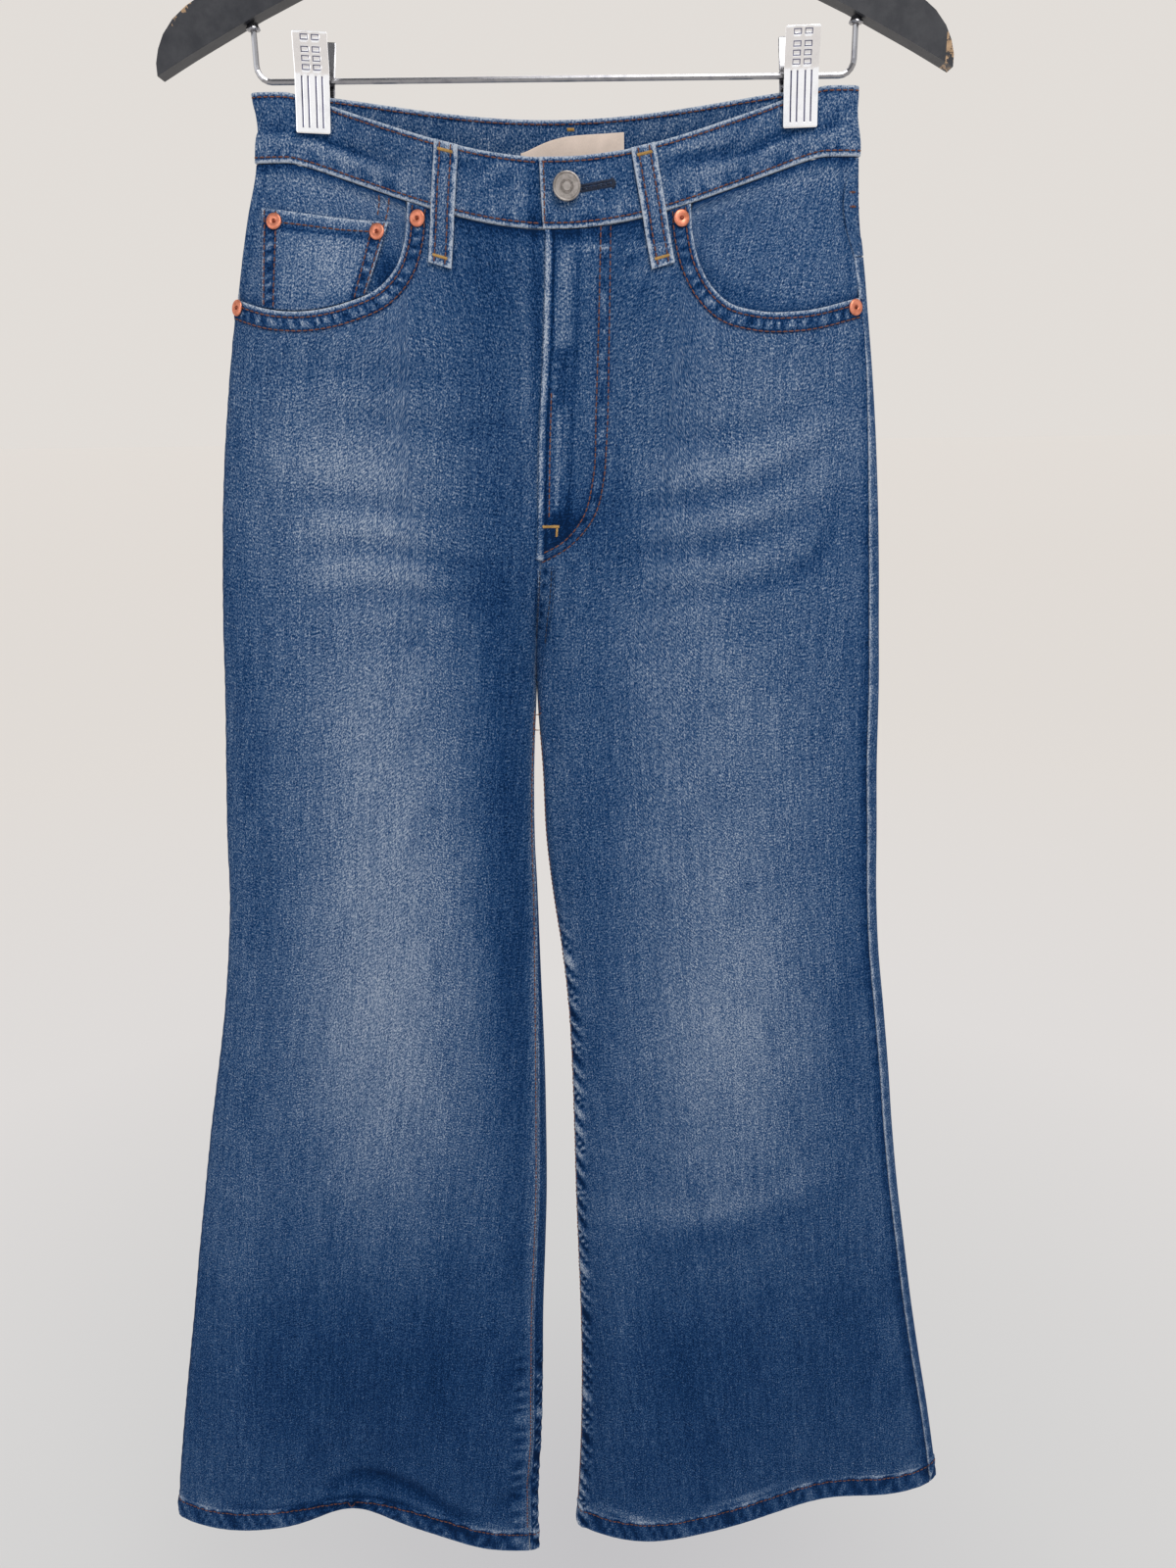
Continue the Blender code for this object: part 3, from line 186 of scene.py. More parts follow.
COIN_OUT = 1.2 * MM
COIN_THICKNESS = 1.0 * MM
COIN_TOP = ((-167.5, -264.5), (-131, -269.5), (-95, -274))
COIN_RIGHT_FOOT = 0.42  # where the coin pocket's sides meet the opening, as shares of it
COIN_LEFT_FOOT = 0.865
COIN_FOOT_GAP = 0.7 * MM
# The curved stitching line that bounds the fly, x and z.
FLY_CURVE = (
    (29.4, -278), (28.2, -340), (26.6, -393), (24.6, -418),
    (18.8, -437), (9.5, -449), (-1.5, -457.5), (-11.5, -463),
)
FLY_OVERLAP, FLY_LIFT = 1.2 * MM, 0.35 * MM
FLY_TOE = 1.5 * MM  # the curve's end lies this far below the edge's
FLY_ACROSS = (0, 0.3, 0.65, 1)  # shares from the folded edge to the curve
FLY_RISE = (1.75, 1.6, 0.95, 0.2)  # and how far the fly stands out there (mm)
FLY_TICKS = (-351, -357.5, -362, -368, -433)  # heights of its small worn spots (mm)
RISE_FROM, RISE_TO = -467.5 * MM, -541 * MM
RISE_WIDTH, RISE_OVERLAP = 8.4 * MM, 1.2 * MM

YOKE_SIDE = -293 * MM
YOKE_CENTRE = -331 * MM
BACK_POCKET_SIZE = (142 * MM, 150 * MM)
BACK_POCKET_POINT = 22 * MM
BACK_POCKET_TOP = -352 * MM
BACK_POCKET_CENTRES = {"right": -104 * MM, "left": 101 * MM}
BACK_POCKET_TAPER = 10 * MM

LOOP_WIDTH = 13 * MM
# Belt loops: name, face, x of the middle of the top end, then x and z of the bottom end.
BELT_LOOPS = (
    ("belt_loop_front_right", "front", -58.8, -65.6, -298.2),
    ("belt_loop_front_left", "front", 46.6, 58.5, -299.8),
    ("belt_loop_back_right", "back", -96, -100, -272),
    ("belt_loop_back_left", "back", 104, 108, -271),
    ("belt_loop_back_centre", "back", 5, 4, -278),
)
LOOP_THICKNESS = 1.7 * MM
LOOP_ON_BAND = 36.7 * MM  # it lies on the waistband down to here
LOOP_BELOW_BAND = 43.5 * MM  # it lies on the panel from here down

LABEL_X = (-20.8 * MM, 38.3 * MM)
LABEL_LEVELS = (-214.5 * MM, -239 * MM)
LABEL_THICKNESS = 0.8 * MM
LABEL_DROOP = 9 * MM
LABEL_FOLD = 27 * MM

BUTTON_PLACE = (5.5, -260.5)
BUTTON_DIAMETER = 15.2 * MM
RIVET_DIAMETER = 9.2 * MM
# Rivets: name, x, z and how far their seat lies off the cloth's outer face (mm).
RIVETS = (
    ("rivet_coin_right", -160.5, -272, 0.1),
    ("rivet_coin_left", -101.6, -278.8, 0.1),
    ("rivet_pocket_right_top", -77.1, -273.4, 1.4),
    ("rivet_pocket_right_side", -184.6, -317.6, 1.4),
    ("rivet_pocket_left_top", 68.3, -275.2, 1.4),
    ("rivet_pocket_left_side", 169.6, -321.4, 1.4),
)

BUTTON_SEAT = BAND_OUT + LAP_LIFT + SEAM_GAP
BUTTONHOLE = ((13.5, -261.3), (29.4, -258.6))
THREAD = 0.38 * MM

ARM = (
    ("x", "lower", "height"),
    (0, -114.4, 40), (20, -116.2, 37), (50, -124.8, 27), (100, -143.8, 25), (141.6, -161.3, 24),
    (165, -171.6, 24), (181, -179.5, 24), (198, -187.8, 24), (219, -198.8, 24),
)
BAR_LEVEL = -200.6 * MM
BAR_HALF = 165 * MM
# Clips: name, x of the middle where it sits on the bar, and lean in degrees from upright.
CLIPS = (("right", -133.8, 3.2), ("left", 135.3, -1.4))
CLIP_WIDTH = 19 * MM
BACK_JAW_WIDTH = 21 * MM
JAW_STEEL = 1.1 * MM
FLUTE_DEPTH = 0.45 * MM
# The front jaw from its finger end to its grip: height over the bar and distance from it.
JAW_PROFILE = (
    (22, 9.8), (16, 8.5), (9, 6.5), (3, 5.0), (-4, 4.6), (-12, 4.0), (-20, 3.7), (-26.6, 3.7),
)
SPRING_RADIUS, SPRING_LENGTH, SPRING_WIRE = 4.45 * MM, 13 * MM, 0.62 * MM


# ---- reading the tables
def hermite(values, slopes, i, t, span):
    """Between the keys i and i + 1, a share t of their span on, with the given slopes."""
    return (
        values[i] * (2 * t**3 - 3 * t**2 + 1)
        + values[i + 1] * (3 * t**2 - 2 * t**3)
        + slopes[i] * span * (t**3 - 2 * t**2 + t)
        + slopes[i + 1] * span * (t**3 - t**2)
    )


def column(table, name, z):
    """One named column of a table of millimetres at the heights z, on a smooth curve."""
    rows = np.array(table[1:], float) * MM
    rows = rows[np.argsort(rows[:, 0])]
    keys, values = rows[:, 0], rows[:, table[0].index(name)]
    z = np.clip(z, keys[0], keys[-1])
    i = np.clip(np.searchsorted(keys, z) - 1, 0, len(keys) - 2)
    span = keys[i + 1] - keys[i]
    return hermite(values, np.gradient(values, keys), i, (z - keys[i]) / span, span)


def ease(value, start, end):
    """0 at start, 1 at end, smooth between them."""
    t = np.clip((value - start) / (end - start), 0, 1)
    return t * t * (3 - 2 * t)


def bell(value, middle, width):
    """1 at the middle, falling off smoothly on both sides of it."""
    return np.exp(-(((value - middle) / width) ** 2))


def ease_mm(value, start, end):
    return ease(value, start * MM, end * MM)


def bell_mm(value, middle, width):
    return bell(value, middle * MM, width * MM)


def through(points, count):
    """Points on a smooth curve through a few x, z points in mm: a number of even steps, or shares."""
    points = np.reshape(points, (-1, 2)).astype(float) * MM
    steps = np.hypot(*np.diff(points, axis=0).T)
    keys = np.concatenate([[0], np.cumsum(steps)])
    slopes = np.gradient(points, keys, axis=0)
    fine = np.linspace(0, keys[-1], 400)
    i = np.clip(np.searchsorted(keys, fine) - 1, 0, len(keys) - 2)
    span = (keys[i + 1] - keys[i])[:, None]
    path = hermite(points, slopes, i, ((fine - keys[i]) / span[:, 0])[:, None], span)
    lengths = np.concatenate([[0], np.cumsum(np.hypot(*np.diff(path, axis=0).T))])
    wanted = lengths[-1] * (np.linspace(0, 1, count) if np.isscalar(count) else np.array(count))
    return np.stack([np.interp(wanted, lengths, path[:, k]) for k in range(2)], axis=1)


# ---- the surface of the jeans
def sag(x, front):
    """How far the waist has dropped at x, between the clips."""
    share = np.cos(np.clip(np.abs(x) / SAG_HALF_WIDTH, 0, 1) * pi / 2)
    return np.where(front, SAG_FRONT, SAG_BACK) * np.maximum(share, 0) ** SAG_POWER


def crotch_closing(level):
    """0 where front and back are apart at the centre, 1 where each leg is a closed tube."""
    return ease(level, CROTCH_TOP, CROTCH)


def hem_rise(leg, share, level):
    """How far the cloth has ridden up at a place across the leg, growing towards the hem."""
    rise = column(HEM_LINE, leg + "_rise", share * MM)
    return rise * ease(level, CROTCH, HEM)


def hem_swing(leg, share, level):
    """How far front and back together swing forward near the hem."""
    swing = column(HEM_LINE, leg + "_swing", share * MM)
    return swing * ease(level, HEM_SWING_START, HEM)


def ends(leg, level, front):
    """The x of the outer and the inner side of a leg's row."""
    outer_z = level + hem_rise(leg, 0.0 * level, level)
    inner_z = level + hem_rise(leg, 0.0 * level + 1, level)
    outer = column(OUTLINE, leg + "_outer", outer_z)
    inner = column(OUTLINE, leg + "_inner", inner_z)
    back_centre = column(CENTRE_BACK, "x", level)
    half_gap = SEAM_GAP / 2 * (-1 if leg == "right" else 1)
    above = 1 - crotch_closing(level)
    inner = inner + np.where(front, 0, (back_centre - inner) * above) + half_gap * above
    return outer, inner


def flutes(leg, share, level, front):
    """How far the flare's flutes push the cloth outwards."""
    out = np.zeros_like(share)
    for name, face, place, amount, width, start in FLUTES:
        if name != leg:
            continue
        wave = bell(share, place, width) * ease(level, start * MM, HEM)
        out = out + np.where(front == (face == "front"), amount * MM * wave, 0)
    return out


def paired(theta, level):
    return np.broadcast_arrays(np.asarray(theta, float), np.asarray(level, float))


def on_front(theta, face):
    """Where the front is. face settles which side the open centre line belongs to."""
    nudge = -1e-7 if face == "front" else 1e-7
    return ((theta + nudge) % (2 * pi)) < pi


def faced(table, front, z):
    """A table's front or back column at the heights z."""
    return np.where(front, column(table, "front", z), column(table, "back", z))


def surface(leg, theta, level, face):
    """Outer points of the cloth."""
    theta, level = paired(theta, level)
    front = on_front(theta, face)
    outer, inner = ends(leg, level, front)
    share = (1 - np.cos(theta)) / 2
    x = outer + (inner - outer) * share

    body = np.sqrt(np.maximum(1 - (1 - share) ** BODY_POWER, 0))
    tube = np.sqrt(np.maximum(1 - np.abs(2 * share - 1) ** BODY_POWER, 0))
    lens = body + (tube - body) * crotch_closing(level)
    y = faced(DEPTH, front, level) * lens

    waist_end = np.sqrt(np.maximum(1 - (1 - share) ** WAIST_END_POWER, 0))
    waist = waist_end * faced(WAIST_DEPTH, front, np.abs(x))
    pinched = 1 - ease(level, WAIST_SEAM + 12 * MM, WAIST_SHAPE_END)
    y = y + (waist - y) * pinched
    y = y + flutes(leg, share, level, front) * np.sin(np.clip(share, 0, 1) * pi) ** 0.5

    drop = sag(x, front) * ease(level, SAG_END, WAIST_SEAM)
    z = level + hem_rise(leg, share, level) - drop
    if leg == "right":
        curl = np.where(front, bell(share, CURL_PLACE, CURL_WIDTH), 0)
        z = z + CURL_RISE * curl * ease(level, HEM_FOLD, HEM)
        y = y + CURL_OUT * curl * ease(level, CURL_START, HEM)
    y = np.where(front, -y, y) - hem_swing(leg, share, level)
    return np.stack([x, y, z], axis=-1)


def normals(leg, theta, level, face):
    """Unit normals of the cloth, pointing away from the body inside it."""
    theta, level = paired(theta, level)
    step = 2e-3
    low, high = theta - step, theta + step
    open_centre = crotch_closing(level) < 1
    if face == "front":
        high = np.where(open_centre, np.minimum(high, pi), high)
    else:
        low = np.where(open_centre, np.maximum(low, pi), low)
    across = surface(leg, high, level, face) - surface(leg, low, level, face)
    drop = 0.5 * MM
    down = surface(leg, theta, level - drop, face) - surface(leg, theta, level + drop, face)
    found = np.cross(across, down)
    if leg == "left":
        found = -found
    return -found / np.linalg.norm(found, axis=-1, keepdims=True)


def locate(leg, x, z, face):
    """The theta and level of the point of one face that lies at x and z."""
    front = face == "front"
    level = np.array(z, float)
    for _ in range(14):
        outer, inner = ends(leg, level, front)
        share = np.clip((x - outer) / (inner - outer), 0, 1)
        level = z - hem_rise(leg, share, level) + sag(x, front) * ease(level, SAG_END, WAIST_SEAM)
    theta = np.arccos(1 - 2 * share)
    return (theta if front else 2 * pi - theta), level


def seam_theta(leg, which, level):
    """How far round the front a side seam or an inseam lies, as an angle from its own end."""
    name = leg + "_" + which
    if name not in SEAM_INSET[0]:
        return np.zeros_like(level)
    outer, inner = ends(leg, level, True)
    inset = np.maximum(column(SEAM_INSET, name, level), 0)
    return np.arccos(1 - 2 * inset / np.abs(inner - outer))


# ---- folds, wear and painted shade
# Soft folds of the cloth: depth (mm, inwards below 0), half width (mm), how much paler the fold is worn (below
# 0, how much darker: partly kept dye, partly painted shade), and the x, z points (mm) that it runs through.
FRONT_FOLDS = (
    (-0.9, 7, -0.10, (-181, -423, -136, -426, -102, -431, -61, -435)),
    (-1.0, 7, -0.12, (-162, -454, -114, -453, -69, -464, -33, -472)),
    (-0.8, 8, -0.10, (-165, -486, -114, -482, -69, -484, -27, -489)),
    (-0.8, 8, -0.10, (-155, -377, -110, -380, -68, -386, -19, -386)),
    (0.7, 10, 0.08, (-167, -442, -120, -441, -73, -447)),
    (0.7, 10, 0.08, (-169, -471, -116, -467, -69, -474)),
    (-0.5, 10, -0.06, (-149, -513, -94, -511, -40, -518)),
    (0.6, 9, 0.08, (-179, -402, -135, -405, -89, -414)),
    (-0.6, 8, -0.08, (-182, -356, -136, -351, -86, -357, -40, -354)),
    (-1.0, 7, -0.12, (29, -431, 78, -428, 113, -420, 170, -387)),
    (-1.0, 8, -0.12, (29, -457, 79, -456, 114, -449, 169, -426)),
    (-0.9, 8, -0.10, (38, -487, 115, -479, 157, -464, 173, -441)),
    (-0.7, 8, -0.08, (39, -388, 85, -391, 130, -381, 169, -365)),
    (-0.7, 6, -0.08, (172, -417, 165, -440, 156, -458, 140, -475)),
    (0.7, 10, 0.08, (50, -473, 110, -465, 156, -448)),
    (0.8, 10, 0.10, (39, -413, 85, -411, 131, -401, 170, -378)),
    (0.7, 9, 0.08, (39, -444, 86, -440, 132, -431, 170, -406)),
    (-0.5, 10, -0.06, (39, -519, 99, -510, 159, -493)),
    # The waistband's rolls: each dark groove is a painted shadow, each pale ridge is worn paler.
    (-2.2, 2.6, -0.40, (-174, -225, -167, -225, -149, -226, -133, -229, -116, -236, -96, -244, -80, -250)),
    (1.2, 3.2, 0.22, (-174, -228, -167, -229, -149, -229, -133, -232, -116, -240, -96, -247, -80, -253)),
    (-2.0, 2.6, -0.40, (167, -226, 159, -226, 140, -228, 123, -232, 106, -240, 85, -245, 72, -249)),
    (1.1, 3.2, 0.20, (167, -228, 160, -229, 141, -231, 123, -235, 106, -242, 86, -248, 72, -252)),
    (0.6, 3, 0.20, (-66, -236, -52, -241, -40, -243)),
    (-0.7, 3, -0.20, (-70, -243, -52, -247, -36, -249)),
    (0.6, 3, 0.20, (56, -243, 80, -238, 104, -231)),
    (-0.7, 3, -0.18, (56, -247, 80, -242, 104, -235)),
    (-0.7, 3.5, -0.10, (-147, -230, -144, -237, -137, -245)),
    (0.5, 2.4, 0.14, (15, -270, 15, -276)),
    (0.5, 2.4, 0.14, (20, -269, 21, -275)),
    (0.5, 2.4, 0.12, (26, -268, 27, -274)),
    (0.5, 2.4, 0.12, (33, -267, 33, -273)),
    (-0.7, 5, -0.10, (16, -252, 25, -249, 39, -252)),
    # The fold over the right hem's curl is painted darker: painted shadow.
    (-2.4, 7, -0.25, (-210, -1202, -176, -1187, -133, -1192, -102, -1212, -72, -1223)),
    (-2.6, 5, -0.15, (-69, -1210, -48, -1194, -27, -1178)),
    (1.6, 8, 0.06, (-59, -1170, -40, -1151, -34, -1112)),
    (-1.4, 16, -0.05, (-81, -882, -97, -1009, -109, -1150)),
    (1.2, 18, 0.05, (-232, -855, -258, -1007, -282, -1167)),
    (-1.2, 15, -0.05, (74, -977, 83, -1076, 96, -1213)),
    (1.2, 16, 0.05, (38, -859, 32, -1011, 26, -1191)),
    (-1.0, 14, -0.04, (195, -935, 216, -1059, 242, -1175)),
    (0.8, 14, 0.03, (155, -1013, 170, -1115, 186, -1204)),
    (-0.8, 5, -0.15, (72, -288, 81, -300, 97, -312, 128, -318)),
    (0.7, 4, 0.12, (-8, -470, -9, -491, -12, -509)),
    (-0.8, 4, -0.15, (-13, -467, -15, -491, -17, -515)),
)
BACK_FOLDS = (
    (-1.4, 9, -0.10, (-190, -505, -140, -528, -90, -532, -45, -520)),
    (1.1, 10, 0.08, (-186, -530, -138, -550, -92, -555, -50, -545)),
    (-1.2, 9, -0.08, (-180, -556, -130, -574, -80, -577)),
    (-1.3, 9, -0.10, (182, -498, 135, -524, 84, -530, 30, -516)),
    (1.0, 11, 0.08, (180, -524, 132, -548, 80, -553)),
    (-1.0, 9, -0.08, (176, -552, 120, -571, 66, -570)),
    (-1.1, 8, -0.07, (-200, -735, -150, -752, -95, -748, -55, -738)),
    (-0.9, 9, -0.06, (-195, -765, -140, -780, -80, -774)),
    (-1.1, 8, -0.07, (196, -728, 140, -748, 80, -745, 30, -732)),
    (-0.9, 10, -0.06, (200, -762, 150, -779, 90, -776)),
    (-1.5, 18, -0.05, (-150, -820, -168, -1000, -182, -1190)),
    (1.3, 18, 0.05, (-95, -850, -88, -1010, -85, -1190)),
    (-1.4, 17, -0.05, (128, -840, 146, -1010, 160, -1190)),
    (1.2, 18, 0.05, (60, -860, 58, -1010, 52, -1190)),
    (-0.9, 5, -0.10, (-150, -232, -100, -239, -50, -243)),
    (-0.9, 5, -0.10, (150, -232, 100, -238, 50, -243)),
)
# Where the cloth is faded or kept dark, some dark places being painted shade: x, z, half width, half height
# (mm) and how much.
FRONT_FADES_AND_SHADE = (
    (-118, -602, 52, 219, 0.21), (-140, -801, 58, 131, 0.17), (101, -592, 62, 157, 0.13),
    (109, -800, 52, 120, 0.21), (-130, -402, 62, 60, 0.12), (120, -384, 66, 56, 0.12),
    # (-39, -671): a dark band down the right thigh's inner side, partly kept dye and partly painted shade where
    # the leg turns away.
    (-131, -291, 30, 20, 0.10), (75, -504, 46, 46, 0.06), (-39, -671, 20, 296, -0.20),
    # (-203, -588), (20, -644) and (195, -731): the same dark bands down the thighs' other sides, partly kept
    # dye and partly painted shade.
    (-203, -588, 14, 210, -0.05), (20, -644, 18, 226, -0.06), (195, -731, 17, 250, -0.05),
    (-38, -302, 30, 30, -0.10), (42, -303, 25, 30, -0.06), (30, -433, 17, 28, -0.10),
    (4, -435, 12, 17, -0.20), (-180, -1085, 170, 108, -0.20), (128, -1085, 180, 108, -0.17),
    # (-12, -355): a narrow dark band beside the fly's folded edge, painted shadow.
    (-120, -1210, 190, 60, -0.07), (130, -1210, 190, 60, -0.07), (-12, -355, 3.4, 85, -0.16),
    # (-4, -282): a thin dark band just under the waistband at the centre front, painted shadow.
    (-19, -340, 2.6, 60, 0.08), (-9, -505, 5, 30, -0.10), (-4, -282, 50, 5, -0.08),
)
BACK_FADES = (
    (-105, -470, 62, 75, 0.20), (103, -470, 62, 75, 0.20), (-118, -700, 55, 130, 0.10),
    (112, -700, 55, 130, 0.10), (-135, -860, 55, 90, 0.06), (125, -860, 55, 90, 0.06),
    (0, -660, 26, 300, -0.14), (-180, -1100, 170, 120, -0.18), (140, -1100, 170, 120, -0.18),
)
# Worn lines and dark lines, some dark ones being painted shadow: half width (mm), how much, and the points that
# they run through.
FRONT_WORN_AND_SHADOW_LINES = (
    (14, -0.07, (9, -951, 81, -961, 138, -946, 202, -910)),
    (12, 0.08, (10, -929, 81, -937, 137, -923, 200, -885)),
    (2.2, 0.14, (34, -291, 52, -290, 70, -293)),
    (3.0, 0.10, (33, -305, 50, -303, 62, -306)),
    (3.0, -0.10, (32, -285, 45, -284, 60, -287)),
    # A dark line beside the buttoned end of the waistband: painted shadow.
    (1.5, -0.40, (-12.2, -236, -12.4, -262, -12.8, -290)),
    (1.5, 0.30, (-8.6, -236, -8.8, -262, -9.2, -290)),
    # A dark line along the fold over the right hem's curl: painted shadow.
    (3.4, -0.34, (-285, -1207, -222, -1212, -194, -1208, -166, -1208, -127, -1214, -97, -1227, -64, -1246)),
    (2.6, 0.22, (9, -1217, 38, -1222, 62, -1226)),
    (2.6, 0.22, (100, -1214, 140, -1206, 170, -1198)),
)
# For each face: its folds, its faded places and places of painted shade, and its lines.
MARKS = (
    ("front", FRONT_FOLDS, FRONT_FADES_AND_SHADE, FRONT_WORN_AND_SHADOW_LINES),
    ("back", BACK_FOLDS, BACK_FADES, ()),
)
BASE_FADE = 0.42
# Share of a fold's colour that goes into the cloth: its worn ridge paler, its trough darker, partly painted
# shade.
FOLD_WEAR_AND_SHADE = 0.95
EDGE_STEPS = (0, 0.12, 0.4, 0.9, 1.8)  # mm from a cut edge at which it is rounded
EDGE_WEAR_AND_SHADE_WIDTH = 1.6 * MM  # width of the strip along an edge that wear makes paler and a painted shadow makes darker
REVERSE_FADE = 0.12  # the cloth's inner side is this much paler
FOLD_SIDE_FADE = 0.035  # folds die out over this share of the leg at its sides
CLIP_MIDDLE, CLIP_FOOT = 134.5 * MM, -232.5 * MM
CLIP_REACH = 15 * MM  # and under the clips, which hold the waistband flat


def stroke(points, width, x, z):
    """How strongly a soft line through x, z points (mm) marks each place."""
    path = through(points, 14)
    width = width * MM
    low, high = path.min(0) - 2.6 * width, path.max(0) + 2.6 * width
    near = (x > low[0]) & (x < high[0]) & (z > low[1]) & (z < high[1])
    marks = np.zeros_like(x)
    if not near.any():
        return marks
    px, pz = x[near][:, None], z[near][:, None]
    start, run = path[:-1], np.diff(path, axis=0)
    t = (px - start[:, 0]) * run[:, 0] + (pz - start[:, 1]) * run[:, 1]
    t = np.clip(t / (run**2).sum(1), 0, 1)
    gap = np.hypot(px - start[:, 0] - t * run[:, 0], pz - start[:, 1] - t * run[:, 1])
    best = gap.argmin(1)
    rows = np.arange(len(best))
    along = (best + t[rows, best]) / len(run)
    taper = np.sin(pi * np.clip(along, 0, 1)) ** 0.7
    marks[near] = bell(gap[rows, best], 0, width) * taper
    return marks


def waver(s, length, phase=0.0):
    """An uneven wave along s, about 1 high, with the given average length."""
    turn = s * 2 * pi / length
    return np.sin(turn + 1.25 * np.sin(turn * 0.29 + phase) + 0.8 * np.sin(turn * 0.61 + 2 + phase))


def relief(x, z, share, front):
    """How far the listed folds and the cloth's own unevenness lift it (m)."""
    strength = bpy.context.scene.jeans.fold_strength
    lift = np.zeros_like(x)
    for face, folds, _, _ in MARKS:
        marks = [depth * MM * stroke(points, width, x, z) for depth, width, _, points in folds]
        lift = lift + np.where(front == (face == "front"), sum(marks), 0)
    turn = np.where(front, 0.0, 1.7)
    soft = (
        np.sin(x / 0.031 + 1.3 * np.sin(z / 0.083 + turn) + turn)
        + 0.7 * np.sin(x / 0.017 - z / 0.13 + 2 + turn)
        + 0.6 * np.sin(z / 0.041 + 1.1 * np.sin(x / 0.05) + turn)
    )
    lift = lift + soft * 0.28 * MM * ease(z, -0.29, -0.42)
    calm = np.minimum(ease(share, 0, FOLD_SIDE_FADE), 1)
    calm = calm * np.where(z < CROTCH, ease(1 - share, 0, FOLD_SIDE_FADE), 1)
    calm = np.maximum(calm, 0.8 * ease(z, WAIST_SEAM - 4 * MM, WAIST_SEAM))
    held = np.exp(-(((np.abs(x) - CLIP_MIDDLE) / CLIP_REACH) ** 4)) * (z > CLIP_FOOT)
    return lift * calm * (1 - held) * strength


def wear_and_shading(x, z, front):
    """How pale the cloth is at each place, from 0 (as dyed) to 1 (white with wear): paler with wear, darker
    with painted shade.
    """
    fade = np.zeros_like(x)
    for face, folds, fades, lines in MARKS:
        marks = [
            amount * np.exp(-(((x - cx * MM) / (rx * MM)) ** 2 + ((z - cz * MM) / (rz * MM)) ** 2))
            for cx, cz, rx, rz, amount in fades
        ]
        marks += [amount * stroke(points, width, x, z) for width, amount, points in lines]
        marks += [FOLD_WEAR_AND_SHADE * amount * stroke(points, width, x, z) for _, width, amount, points in folds]
        fade = fade + np.where(front == (face == "front"), sum(marks), 0)
    return BASE_FADE + fade * bpy.context.scene.jeans.wear_and_shade_strength


# ---- placing points on the cloth
# A patch's last field is how pale its cloth is, paler with wear and darker with painted shade.
Patch = namedtuple("Patch", "base normal lift fade")


def on_leg(leg, theta, level, face):
    """A patch of the cloth at theta and level, with its folds, wear and painted shade."""
    theta, level = paired(theta, level)
    base = surface(leg, theta, level, face)
    front = on_front(theta, face)
    share = (1 - np.cos(theta)) / 2
    lift = relief(base[..., 0], base[..., 2], share, front)
    fade = wear_and_shading(base[..., 0], base[..., 2], front)
    return Patch(base, normals(leg, theta, level, face), lift, fade)


def theta_at(leg, x, level, face):
    """The theta of a point of one face from its x and its level."""
    outer, inner = ends(leg, level, face == "front")
    theta = np.arccos(np.clip(1 - 2 * (x - outer) / (inner - outer), -1, 1))
    return theta if face == "front" else 2 * pi - theta


def on_face(x, level, face):
    """A patch of the front or the back at x and level, on whichever leg it belongs to."""
    x, level = np.broadcast_arrays(np.asarray(x, float), np.asarray(level, float))
    found = {}
    for leg in LEGS:
        found[leg] = on_leg(leg, theta_at(leg, x, level, face), level, face)
    on_right = x < ends("right", level, face == "front")[1]
    picked = []
    for right, left in zip(found["right"], found["left"]):
        mask = on_right[..., None] if right.ndim > x.ndim else on_right
        picked.append(np.where(mask, right, left))
    return Patch(*picked)


def level_of(x, z, face):
    """The level of the point of a face that lies at x and z."""
    leg = "right" if x < 0 else "left"
    return float(locate(leg, np.array([x]), np.array([z]), face)[1][0])


def face_normal(x, z, face):
    """A point of a face at x and z, and the direction out of it."""
    level = np.array([level_of(x, z, face)])
    patch = on_face(np.array([x]), level, face)
    return patch.base[0], patch.normal[0]


def centre_front(heights):
    """The levels of some heights on the centre front, and its x there."""
    level = np.array([level_of(-1 * MM, z, "front") for z in heights])
    return level, ends("left", level, True)[1]


def beside(*patches):
    """Patches of the same rows, set side by side."""
    return Patch(*[np.concatenate(parts, axis=1) for parts in zip(*patches)])


def spread(count, length, first=True, last=True):
    """Shares from 0 to 1, close together at the ends where a cut edge is rounded."""
    near = np.array(EDGE_STEPS) * MM / length
    start = near[-1] if first else 0
    stop = 1 - near[-1] if last else 1
    parts = [np.linspace(start, stop, count)]
    if first:
        parts.insert(0, near[:-1])
    if last:
        parts.append(1 - near[:-1][::-1])
    return np.concatenate(parts)


def rows_over(length, step, first=True, last=True):
    """The same for a length that is divided into steps."""
    return spread(int(length / step), length, first, last)


def even_places(leg, face, level, first, last, step):
    """Places 0 to 1 between two thetas, about step apart along the cloth."""
    fine = np.linspace(0, 1, 900)
    points = surface(leg, first + (last - first) * fine, np.full(900, level), face)
    arc = np.concatenate([[0], np.cumsum(np.linalg.norm(np.diff(points, axis=0), axis=1))])
    wanted = spread(int(round(arc[-1] / step)), arc[-1]) * arc[-1]
    return np.interp(wanted, arc, fine)


def arcs(points, axis):
    """Distance along a grid's rows or columns from its first edge."""
    steps = np.linalg.norm(np.diff(points, axis=axis), axis=-1)
    total = np.cumsum(steps, axis=axis)
    return np.concatenate([np.zeros_like(total.take([0], axis)), total], axis=axis)


def edge_distances(points):
    """Distances of each grid point from the top, bottom, first and last edge."""
    down, across = arcs(points, 0), arcs(points, 1)
    return down, down[-1:] - down, across, across[:, -1:] - across


# ---- sewing pieces together
def tidy_object(name, mesh, material):
    obj = bpy.data.objects.new(name, mesh)
    bpy.context.scene.collection.objects.link(obj)
    mesh.materials.append(material)
    return obj


def hung_cloth(obj, points, nodes):
    """Ties a finished cloth piece to the frame and hides the frame's solids that it stands for."""
    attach(obj, "root")
    if nodes:
        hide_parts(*nodes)
    rows, columns = arcs(points, 1)[:, -1], arcs(points, 0)[-1]


